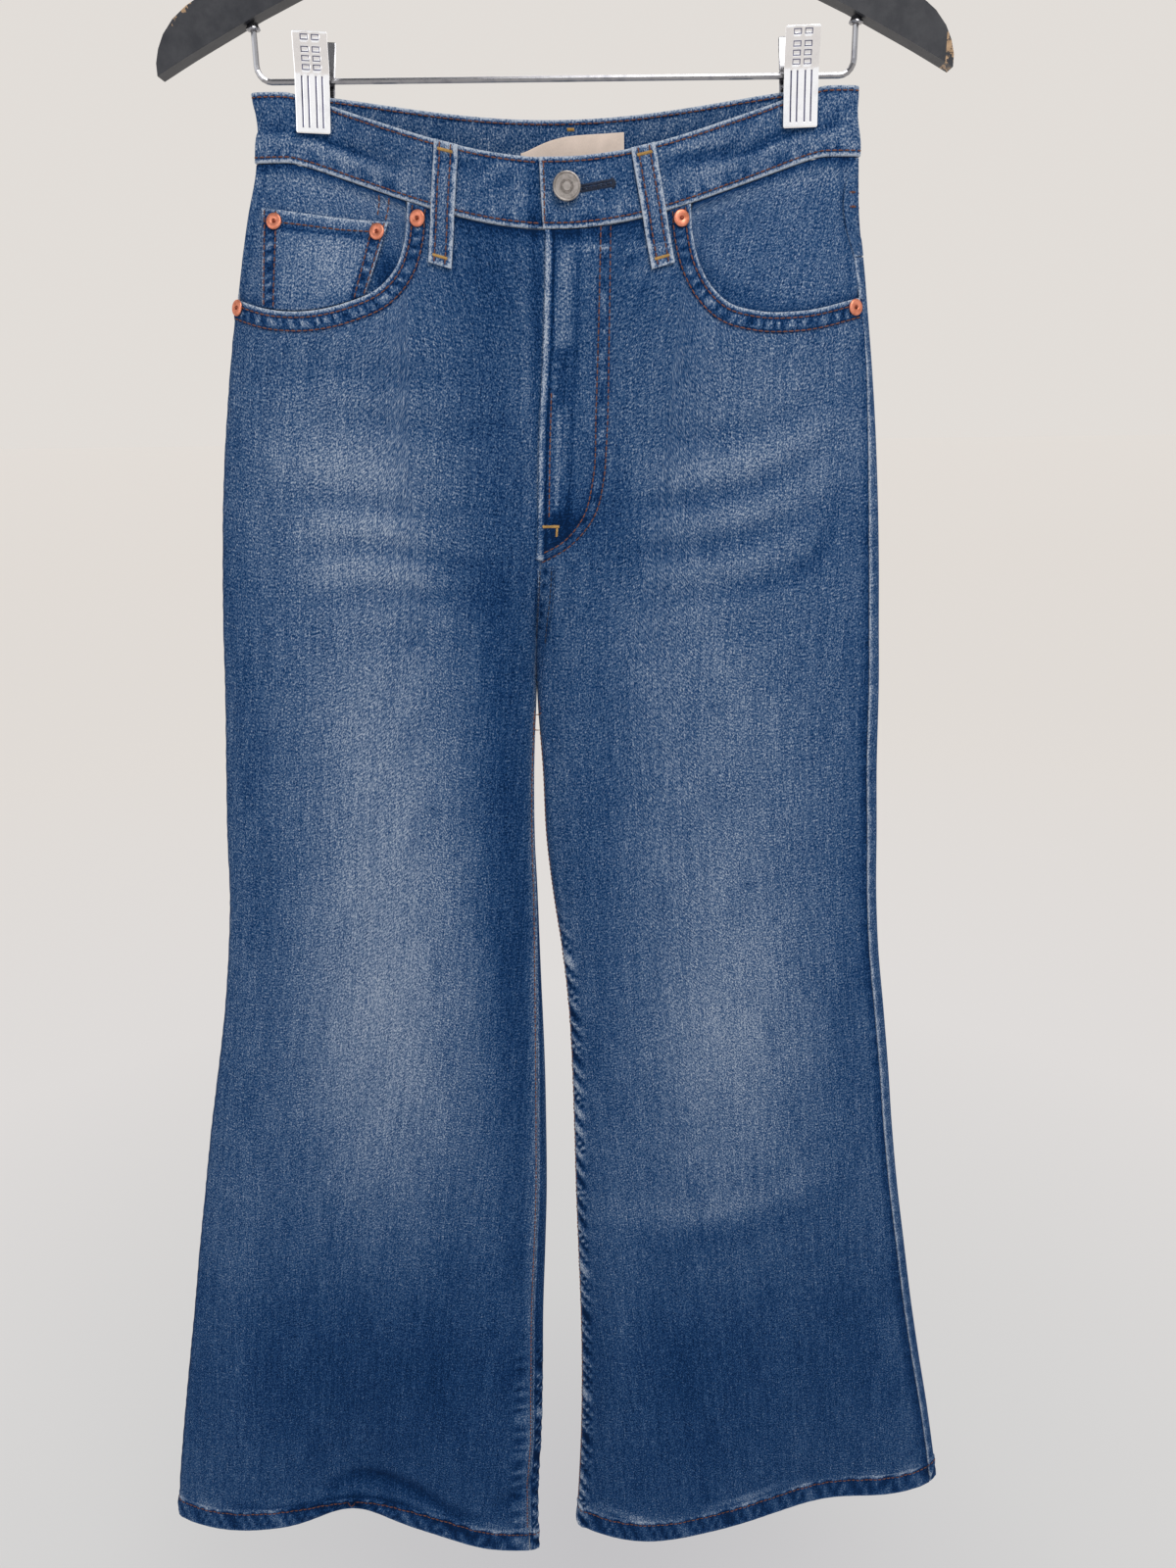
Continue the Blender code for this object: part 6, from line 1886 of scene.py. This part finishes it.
SIDE_MARKS = (((184, -396), (185, -404)), ((165.5, -260), (171.5, -260)), ((166, -267.5), (172.5, -267.5)))


def band_line(leg, face, below, first=0.035, last=pi):
    """A line round the waistband, this many mm below its top edge."""
    turn = np.linspace(first, last, 140)
    theta = turn if face == "front" else 2 * pi - turn
    return leg_line(leg, theta, np.full(140, WAIST_TOP - below * MM), face)


def inseam_row(leg, face, distance, top, bottom, count):
    """A line beside an inseam, or beside the centre seam above it."""
    level = np.linspace(top, bottom, count)
    edge = pi - seam_theta(leg, "inseam", level)
    edge = np.where(crotch_closing(level) < 1, pi, edge)
    return leg_line(leg, inward(leg, face, edge, level, distance * MM), level, face)


def coin_line(first, last, count=40):
    """A line on the coin pocket between two places given across and down it, in mm."""
    width, height = 0.070, 0.046
    u = np.linspace(first[0], last[0], count) * MM / width
    v = np.linspace(first[1], last[1], count) * MM / height
    u = np.where(u < 0, 1 + u, u)
    fine = np.linspace(0, 1, 200)
    shares = COIN_LEFT_FOOT + (COIN_RIGHT_FOOT - COIN_LEFT_FOOT) * fine
    lines = through(COIN_TOP, fine), through(POCKET_RIGHT, shares)
    top, foot = [np.stack([np.interp(u, fine, line[:, k]) for k in range(2)], axis=1) for line in lines]
    return path_line("right", top + (foot - top) * v[:, None], "front")


def back_pocket_line(leg, inset, side):
    """A line inside one edge of a back pocket."""
    width, height = BACK_POCKET_SIZE
    flat = height - BACK_POCKET_POINT
    if side == "top":
        down = np.full(40, inset * MM / height)
        across = np.linspace(-0.5 + 0.012, 0.5 - 0.012, 40)
    elif side == "bottom":
        across = np.linspace(-0.5 + inset * MM / width, 0.5 - inset * MM / width, 61)
        down = np.full(61, 1 - inset * MM / height)
    else:
        down = np.linspace(0.012, 1 - inset * MM / height, 60)
        across = np.full(60, (0.5 - inset * MM / width) * (1 if side == "last" else -1))
    x = BACK_POCKET_CENTRES[leg] + across * (width - BACK_POCKET_TAPER * down)
    z = BACK_POCKET_TOP - down * (flat + BACK_POCKET_POINT * (1 - 2 * np.abs(across)))
    return path_line(leg, np.stack([x, z], axis=1), "back")


def waist_stitches():
    """The waistband's rows, outside all round, inside at the back and down the buttoned end."""
    rows, inside = [], []
    for below in WAIST_ROWS:
        rows += sewn(*band_line("right", "back", below)) + sewn(*band_line("left", "back", below))
        rows += sewn(*band_line("right", "front", below, last=pi - 0.30))
        points, out = band_line("left", "front", below)
        end = on_face(np.array([-8.0, -6.6]) * MM, WAIST_TOP - below * MM, "front")
        rows += sewn(np.concatenate([points, end.base[::-1]]), np.concatenate([out, end.normal[::-1]]))
    level = np.linspace(WAIST_TOP - 2.6 * MM, WAIST_SEAM + 2.9 * MM, 30)
    end = on_face(np.full(30, -6.6 * MM), level, "front")
    rows += sewn(end.base, end.normal)
    for leg in LEGS:
        for below in WAIST_ROWS:
            points, out = band_line(leg, "back", below)
            inside += sewn(points, -out)
    return rows, inside


def pocket_stitches():
    """Both pocket openings, the stays beside the coin pocket and the coin pocket itself."""
    edges, facing = [], []
    shares = np.linspace(0.004, 0.972, 90)
    for leg in LEGS:
        for away in POCKET_ROWS:
            path = opening_edge(leg, shares, away * MM)
            theta, level = locate(leg, path[:, 0], path[:, 1], "front")
            edges += sewn(*leg_line(leg, theta, np.minimum(level, WAIST_SEAM - 1 * MM), "front"))
    for stay in BAG_STAYS:
        facing += sewn(*face_line(stay, leg="right", count=12))
    coin = sewn(*coin_line((1, COIN_HEM), (-1, COIN_HEM)))
    for row in COIN_ROWS_IN:
        for across in (row, 70 - row):
            coin += sewn(*coin_line((across, 0.8), (across, 45)))
    return edges, facing, coin


def back_stitches():
    """Yoke seams, centre back seam and the back pockets."""
    yokes, panels, pockets = [], [], []
    for leg in LEGS:
        theta = np.linspace(pi + 0.02, 2 * pi - 0.06, 120)
        for row in SEAM_ROWS:
            yokes += sewn(*leg_line(leg, theta, yoke_level(theta) + row * MM, "back"))
        for inset in SEAM_ROWS:
            for side in ("first", "last", "bottom"):
                pockets += sewn(*back_pocket_line(leg, inset, side))
        for inset in (2.4, 15.5):
            pockets += sewn(*back_pocket_line(leg, inset, "top"))
    for row in SEAM_ROWS:
        panels += sewn(*inseam_row("left", "back", row, YOKE_CENTRE - 2 * MM, CROTCH + 8 * MM, 90))
        yokes += sewn(*inseam_row("left", "back", row, WAIST_SEAM - 2 * MM, YOKE_CENTRE + 2 * MM, 40))
    return yokes, panels, pockets


def rise_stitches():
    """The two rows of the rise seam."""
    z = np.linspace(RISE_FROM - 1 * MM, RISE_TO + 3 * MM, 50)
    level, centre = centre_front(z)
    rows = []
    for place, last in ((0.4, 50), (7.0, 34)):
        narrow = 1 - 0.45 * ease((RISE_FROM - z) / (RISE_FROM - RISE_TO), 0.2, 1)
        x = centre + place * MM * narrow
        rows += sewn(*x_line("left", x[:last], level[:last], "front"))
    return rows


def leg_stitches():
    """Hems and inseams."""
    rows = []
    for leg in LEGS:
        for face, start in (("front", 0.05), ("back", pi + 0.05)):
            theta = np.linspace(start, start + pi - 0.1, 240)
            level = np.full(240, HEM_FOLD - HEM_ROW)
            rows += sewn(*leg_line(leg, theta, level, face))
        rows += sewn(*inseam_row(leg, "front", SEAM_ROWS[0], CROTCH - 6 * MM, HEM + 24 * MM, 260))
    return rows


def loop_lines(_, face, top_x, foot_x, foot_z):
    """The two rows of a belt loop, and where its two bartacks lie."""
    foot = level_of(foot_x * MM, foot_z * MM, face)
    share = np.linspace(0.012, 0.988, 60)
    level = WAIST_TOP - share * (WAIST_TOP - foot)
    middle = (top_x + (foot_x - top_x) * share) * MM
    rows = []
    for side in (-1, 1):
        patch = on_face(middle + side * (LOOP_WIDTH / 2 - LOOP_ROW), level, face)
        rows += sewn(patch.base, patch.normal)
    tacks = []
    length = WAIST_TOP - foot
    for below in (4.4 * MM, length - 5.0 * MM):
        at = below / length
        centre = (top_x + (foot_x - top_x) * at) * MM
        reach = np.array([-1, 1]) * (LOOP_WIDTH / 2 - 2.4 * MM)
        patch = on_face(centre + reach, np.full(2, WAIST_TOP - below), face)
        tacks += bartack(patch.base[0], patch.base[1], patch.normal.mean(0), 1.7 * MM)
    return rows, tacks


def short_bar(points, width, face="front", inside=False):
    """A bartack between two x, z points of the left side."""
    path, out = face_line(points, face, count=2)
    return bartack(path[0], path[-1], (-out if inside else out).mean(0), width)


def buttonhole():
    """Close navy stitches set across the rim of the cut, and a row of thick dark thread along the cut itself: a
    dark piece laid where the cut shows only shade.
    """
    (first, last), out = face_line(BUTTONHOLE, count=2)
    normal = out.mean(0)
    length = np.linalg.norm(last - first)
    along = (last - first) / length
    cross = np.cross(normal, along)
    rim = []
    steps = int(length / (0.56 * MM))
    for side in (-1, 1):
        for i in range(steps + 1):
            p = first + along * length * i / steps
            rim.append((p + cross * side * 0.55 * MM, p + cross * side * 2.15 * MM, normal))
    for end, turn, reach in ((first, -1, 2.2), (last, 1, 3.2)):
        for angle in np.radians(np.arange(-75, 76, 16.0)):
            way = along * turn * cos(angle) + cross * sin(angle)
            rim.append((end + way * 0.5 * MM, end + way * reach * MM, normal))
    # A dark piece along the cut, where there is only shade: painted shade.
    slit_shade = [(first + along * length * i / 6, first + along * length * (i + 1.05) / 6, normal) for i in range(6)]
    return rim, slit_shade


# ---- settings
def measure(name, description, default, low, high, **kind):
    kind.update(default=default, min=low, max=high)
    return bpy.props.FloatProperty(name=name, description=description, **kind)


def metres(name, description, default, low, high, precision=4):
    kind = {"subtype": "DISTANCE", "unit": "LENGTH", "precision": precision}
    return measure(name, description, default, low, high, **kind)


def tint(name, description, default):
    return bpy.props.FloatVectorProperty(
        name=name, description=description, default=default, size=3, min=0, max=1, subtype="COLOR"
    )


class JeansSettings(bpy.types.PropertyGroup):
    """Sizes and colours of the jeans."""

    cloth_step: metres("Cloth grid", "Distance between the grid lines of the cloth", 0.0031, 0.0025, 0.01)
    fold_strength: measure("Folds", "How deep the folds are; 1 is as worn", 1.0, 0.0, 2.0)
    # This strength scales the painted shade in the cloth's colour as well as the wear.
    wear_and_shade_strength: measure("Fading", "How strongly the cloth is faded; 1 is as worn", 1.0, 0.0, 2.0)
    stitch_length: metres("Stitch length", "Visible length of one topstitch", 0.0030, 0.001, 0.008)
    stitch_gap: metres("Stitch gap", "Gap between two topstitches", 0.0005, 0.0002, 0.004)
    twill_angle: measure(
        "Twill angle", "Slant of the twill lines from upright", 0.50, 0.0, 1.57,
        subtype="ANGLE", unit="ROTATION",
    )
    twill_pitch: metres("Twill pitch", "Distance between two twill lines", 0.0012, 0.0004, 0.003, 5)
    indigo: tint("Indigo", "Unfaded dark denim", (0.004, 0.0285, 0.104))
    mid_blue: tint("Mid blue", "Half faded denim", (0.025, 0.072, 0.168))
    worn_blue: tint("Worn blue", "Faded denim", (0.100, 0.155, 0.262))
    topstitch: tint("Topstitching", "Rust-brown sewing thread", (0.180, 0.062, 0.034))
    bartack: tint("Bartacks", "Gold tacking thread", (0.480, 0.290, 0.090))
    navy_thread: tint("Buttonhole thread", "Dark thread", (0.012, 0.022, 0.055))
    label_color: tint("Label", "Cream cotton", (0.80, 0.665, 0.58))
    button_metal: tint("Button", "Grey plated metal", (0.36, 0.33, 0.315))
    copper: tint("Rivets", "Copper", (0.82, 0.31, 0.20))
    chrome: tint("Clips", "Bright plated steel", (0.94, 0.94, 0.96))
    lacquer: tint("Hanger", "Black lacquer", (0.024, 0.026, 0.033))
    bare_wood: tint("Bare wood", "Wood where the lacquer is chipped", (0.45, 0.30, 0.18))


def cloth_step():
    return bpy.context.scene.jeans.cloth_step


# ---- operators
class Step:
    """A step of the work. It stops with an error if its finishes are missing or nothing was made."""

    bl_options = {"REGISTER", "UNDO"}
    needs_finishes = True

    def execute(self, context):
        start_fresh()
        if self.needs_finishes and FINE + "denim" not in bpy.data.materials:
            raise RuntimeError("Make the finishes first")
        if not self.make():
            raise RuntimeError(self.bl_label + " could not be made")
        return {"FINISHED"}


def lay(name, stitches, on, material="topstitch", radius=THREAD):
    return lay_threads(name, stitches, [piece + "_cloth" for piece in on], finish_of(material), radius)


class JEANS_OT_finishes(Step, bpy.types.Operator):
    """Make the materials."""

    bl_idname = "jeans.finishes"
    bl_label = "Finishes"
    needs_finishes = False

    def make(self):
        finishes()
        return finish_of("denim")


class JEANS_OT_fronts(Step, bpy.types.Operator):
    """Cut both fronts."""

    bl_idname = "jeans.fronts"
    bl_label = "Fronts"

    def make(self):
        return [front_panel(leg) for leg in LEGS]


class JEANS_OT_backs(Step, bpy.types.Operator):
    """Cut both backs and their yokes."""

    bl_idname = "jeans.backs"
    bl_label = "Backs and yokes"

    def make(self):
        return [piece(leg) for leg in LEGS for piece in (back_panel, yoke)]


class JEANS_OT_front_pockets(Step, bpy.types.Operator):
    """Make the front pockets: facings, turned edges and the coin pocket."""

    bl_idname = "jeans.front_pockets"
    bl_label = "Front pockets"

    def make(self):
        return [coin_pocket()] + [piece(leg) for leg in LEGS for piece in (pocket_facing, pocket_edge)]


class JEANS_OT_back_pockets(Step, bpy.types.Operator):
    """Make the back pockets."""

    bl_idname = "jeans.back_pockets"
    bl_label = "Back pockets"

    def make(self):
        return [back_pocket(leg) for leg in LEGS]


class JEANS_OT_waistband(Step, bpy.types.Operator):
    """Make the waistband, lapped at the front."""

    bl_idname = "jeans.waistband"
    bl_label = "Waistband"

    def make(self):
        return waistbands()


class JEANS_OT_fly(Step, bpy.types.Operator):
    """Fold the fly edge."""

    bl_idname = "jeans.fly"
    bl_label = "Fly"

    def make(self):
        return [fly(), rise_seam()]


class JEANS_OT_belt_loops(Step, bpy.types.Operator):
    """Make the five belt loops."""

    bl_idname = "jeans.belt_loops"
    bl_label = "Belt loops"

    def make(self):
        return [belt_loop(*row) for row in BELT_LOOPS]


class JEANS_OT_label(Step, bpy.types.Operator):
    """Make the bare label inside the back of the waistband."""

    bl_idname = "jeans.label"
    bl_label = "Label"

    def make(self):
        return neck_label(finish_of("label_cotton"))


class JEANS_OT_stitching(Step, bpy.types.Operator):
    """Lay the rows of topstitches."""

    bl_idname = "jeans.stitching"
    bl_label = "Topstitching"

    def make(self):
        outside, inside = waist_stitches()
        edges, stays, coin = pocket_stitches()
        yokes, centre, patches = back_stitches()
        loops = [stitch for row in BELT_LOOPS for stitch in loop_lines(*row)[0]]
        curve = [stitch for row in J_ROWS + (FLY_FOLD_ROW,) for stitch in sewn(*face_line(row))]
        backs = ("back_right", "back_left")
        bands = ("waistband_back", "waistband_front_right", "waistband_front_left")
        rows = (
            ("waistband", outside, bands),
            ("waistband_inside", inside, ("waistband_back",)),
            ("pocket_edges", edges, ("pocket_band_right", "pocket_band_left")),
            ("pocket_stays", stays, ("pocket_facing_right",)),
            ("coin_pocket", coin, ("coin_pocket",)),
            ("yokes", yokes, ("yoke_right", "yoke_left")),
            ("centre_back", centre, backs),
            ("back_pockets", patches, ("back_pocket_right", "back_pocket_left")),
            ("belt_loops", loops, [row[0] for row in BELT_LOOPS]),
            ("fly", curve, ("fly", "front_left")),
            ("crotch", rise_stitches(), ("rise_seam",), "navy_thread"),
            ("legs", leg_stitches(), ("front_right", "front_left") + backs),
        )
        return [lay("stitches_" + row[0], *row[1:]) for row in rows]


class JEANS_OT_bartacks(Step, bpy.types.Operator):
    """Sew the bartacks and the buttonhole."""

    bl_idname = "jeans.bartacks"
    bl_label = "Bartacks and buttonhole"

    def make(self):
        loops = [tack for row in BELT_LOOPS for tack in loop_lines(*row)[1]]
        foot = short_bar(((-12, -442), (-2, -442)), 1.8 * MM)
        foot += short_bar(((-3.4, -443), (-3.8, -448)), 1.4 * MM)
        side = [tack for mark in SIDE_MARKS for tack in short_bar(mark, 1.3 * MM)]
        back = short_bar(((0.5, -224.2), (10, -224.2)), 2.0 * MM, "back", True)
        rim, slit_shade = buttonhole()
        band = ("waistband_front_left",)
        return [
            lay("bartacks_belt_loops", loops, [row[0] for row in BELT_LOOPS], "bartack_gold"),
            lay("bartacks_fly", foot, ("fly", "front_left"), "bartack_gold"),
            lay("bartacks_side", side, ("front_left", "waistband_front_left", "pocket_facing_left")),
            lay("bartack_centre_back", back, ("waistband_back",), "bartack_gold"),
            lay("buttonhole_rim", rim, band, "navy_thread", 0.3 * MM),
            lay("buttonhole_slit_shade", slit_shade, band, "navy_thread", 0.6 * MM),
        ]


class JEANS_OT_button(Step, bpy.types.Operator):
    """Make the shank button."""

    bl_idname = "jeans.button"
    bl_label = "Button"

    def make(self):
        return make_button(finish_of("button_metal"))


class JEANS_OT_rivets(Step, bpy.types.Operator):
    """Set the six pocket rivets."""

    bl_idname = "jeans.rivets"
    bl_label = "Rivets"

    def make(self):
        return make_rivets(finish_of("rivet_copper"), finish_of("rivet_nub"))


class JEANS_OT_hanger(Step, bpy.types.Operator):
    """Finish the hanger, its hook and its bar."""

    bl_idname = "jeans.hanger"
    bl_label = "Hanger"

    def make(self):
        wire = finish_of("chrome_wire")
        dress_node("hanger_body", finish_of("hanger_lacquer"))
        dress_node("hook", wire)
        dress_node("bar", wire)
        sides = (("right", -BAR_HALF), ("left", BAR_HALF))
        return [make_collar("bar_collar_" + side, x, wire) for side, x in sides]


class JEANS_OT_clips(Step, bpy.types.Operator):
    """Make the two spring clips."""

    bl_idname = "jeans.clips"
    bl_label = "Clips"

    def make(self):
        return make_clips(finish_of("chrome"), finish_of("chrome_groove_shade"), finish_of("chrome_wire"))


class JEANS_OT_stage(Step, bpy.types.Operator):
    """Set the floor, the lights and the camera."""

    bl_idname = "jeans.stage"
    bl_label = "Stage"

    def make(self):
        return set_stage()


# ---- stage
CAMERA_PLACE = (0.0133, -0.740, -0.375)
CAMERA_LENS = (27, 36)  # focal length and width of the sensor
CAMERA_TURN = (90 - 17.7, -0.012)  # degrees up from straight down, and roll
FLOOR_LEVEL = -1.42
WALL_COLOR = (0.76, 0.725, 0.69)
FLOOR_COLOR = (0.10, 0.10, 0.10)
# The floor's own glow, painted light that stands in for the lit floor and is darker towards its middle: share
# of FLOOR_FADE from the middle, and colour.
FLOOR_FADE = 8.0
FLOOR_GLOW = (
    (0.012, (0.456, 0.452, 0.468)), (0.06, (0.546, 0.543, 0.542)), (0.16, (0.63, 0.61, 0.60)),
    (0.38, (0.65, 0.615, 0.582)), (1.0, (0.648, 0.61, 0.573)),
)
ROOM_BRIGHT = (0.96, 0.955, 0.95)  # at the camera's height
# Beyond it: the axis of the way looked, where on it the change starts and ends, and the colour.
ROOM = ((2, 0.22, 0.60, (0.26, 0.26, 0.265)), (1, -0.30, 0.12, WALL_COLOR))
LIGHTS = (
    ("key", (0.7, -1.7, 1.5), (0.0, 0.0, -0.55), 1.5, 41.0, (1.0, 0.985, 0.96)),
    ("fill", (-1.8, -1.6, -0.2), (0.0, 0.0, -0.6), 1.8, 7.0, (0.97, 0.985, 1.0)),
    ("back", (0.3, 2.2, 1.0), (0.0, 0.0, -0.5), 2.0, 9.0, (1.0, 1.0, 1.0)),
)


def set_stage():
    start_fresh()
    bpy.ops.mesh.primitive_plane_add(size=80, location=(0, 0, FLOOR_LEVEL))
    floor = bpy.context.object
    floor.name = "floor"
    # The floor glows on its own: painted light.
    look = Finish("floor", 0.9, Base_Color=(*FLOOR_COLOR, 1), Emission_Strength=1.0)
    away = look.node("VectorMath", {"operation": "LENGTH"}, Vector=look.node("TexCoord").outputs["Object"])
    far = look.math("DIVIDE", away.outputs["Value"], FLOOR_FADE, clamp=True)
    look.join(look.shader.inputs["Emission Color"], look.ramp(far, FLOOR_GLOW))
    floor.data.materials.append(look.material)
    for name, place, aim, size, power, color in LIGHTS:
        bpy.ops.object.light_add(type="AREA", location=place)
        lamp = bpy.context.object
        lamp.name = name
        lamp.data.size = size
        lamp.data.energy = power
        lamp.data.color = color
        way = Vector(aim) - Vector(place)
        lamp.rotation_euler = way.to_track_quat("-Z", "Y").to_euler()
    world = bpy.data.worlds.new("studio")
    sky = Nodes(world)
    way = sky.node("SeparateXYZ", Vector=sky.node("TexCoord").outputs["Generated"])
    color = (*ROOM_BRIGHT, 1)
    soften = {"interpolation_type": "SMOOTHSTEP"}
    for axis, low, high, beyond in ROOM:
        share = sky.node("MapRange", soften, Value=way.outputs[axis], From_Min=low, From_Max=high)
        color = sky.mix(share.outputs[0], color, (*beyond, 1))
    sky.join(sky.tree.nodes["Background"].inputs["Color"], color)
    bpy.context.scene.world = world
    bpy.context.scene.view_settings.view_transform = "Standard"
    bpy.ops.object.camera_add()
    camera = bpy.context.object
    camera.data.lens, camera.data.sensor_width = CAMERA_LENS
    tilt, roll = CAMERA_TURN
    camera.matrix_world = (
        Matrix.Translation(CAMERA_PLACE)
        @ Matrix.Rotation(radians(tilt), 4, "X")
        @ Matrix.Rotation(roll, 4, "Z")
    )
    bpy.context.scene.camera = camera
    return floor


# ---- panel and registration
class JEANS_PT_panel(bpy.types.Panel):
    """Settings and steps of the jeans."""

    bl_label = "Jeans"
    bl_space_type = "VIEW_3D"
    bl_region_type = "UI"
    bl_category = "Jeans"

    def draw(self, context):
        settings = context.scene.jeans
        box = self.layout.box()
        for name in JeansSettings.__annotations__:
            box.prop(settings, name)
        for step in STEPS:
            self.layout.operator(step.bl_idname)


STEPS = (
    JEANS_OT_finishes, JEANS_OT_fronts, JEANS_OT_backs, JEANS_OT_front_pockets, JEANS_OT_back_pockets,
    JEANS_OT_waistband, JEANS_OT_fly, JEANS_OT_belt_loops, JEANS_OT_label, JEANS_OT_stitching,
    JEANS_OT_bartacks, JEANS_OT_button, JEANS_OT_rivets, JEANS_OT_hanger, JEANS_OT_clips,
    JEANS_OT_stage,
)


def register():
    bpy.utils.register_class(JeansSettings)
    for step in STEPS:
        bpy.utils.register_class(step)
    bpy.utils.register_class(JEANS_PT_panel)
    bpy.types.Scene.jeans = bpy.props.PointerProperty(type=JeansSettings)


def unregister():
    del bpy.types.Scene.jeans
    bpy.utils.unregister_class(JEANS_PT_panel)
    for step in reversed(STEPS):
        bpy.utils.unregister_class(step)
    bpy.utils.unregister_class(JeansSettings)


def main():
    register()
    bpy.ops.jeans.finishes()
    bpy.ops.jeans.fronts()
    bpy.ops.jeans.backs()
    bpy.ops.jeans.front_pockets()
    bpy.ops.jeans.back_pockets()
    bpy.ops.jeans.waistband()
    bpy.ops.jeans.fly()
    bpy.ops.jeans.belt_loops()
    bpy.ops.jeans.label()
    bpy.ops.jeans.stitching()
    bpy.ops.jeans.bartacks()
    bpy.ops.jeans.button()
    bpy.ops.jeans.rivets()
    bpy.ops.jeans.hanger()
    bpy.ops.jeans.clips()
    bpy.ops.jeans.stage()


if __name__ == "__main__":
    main()
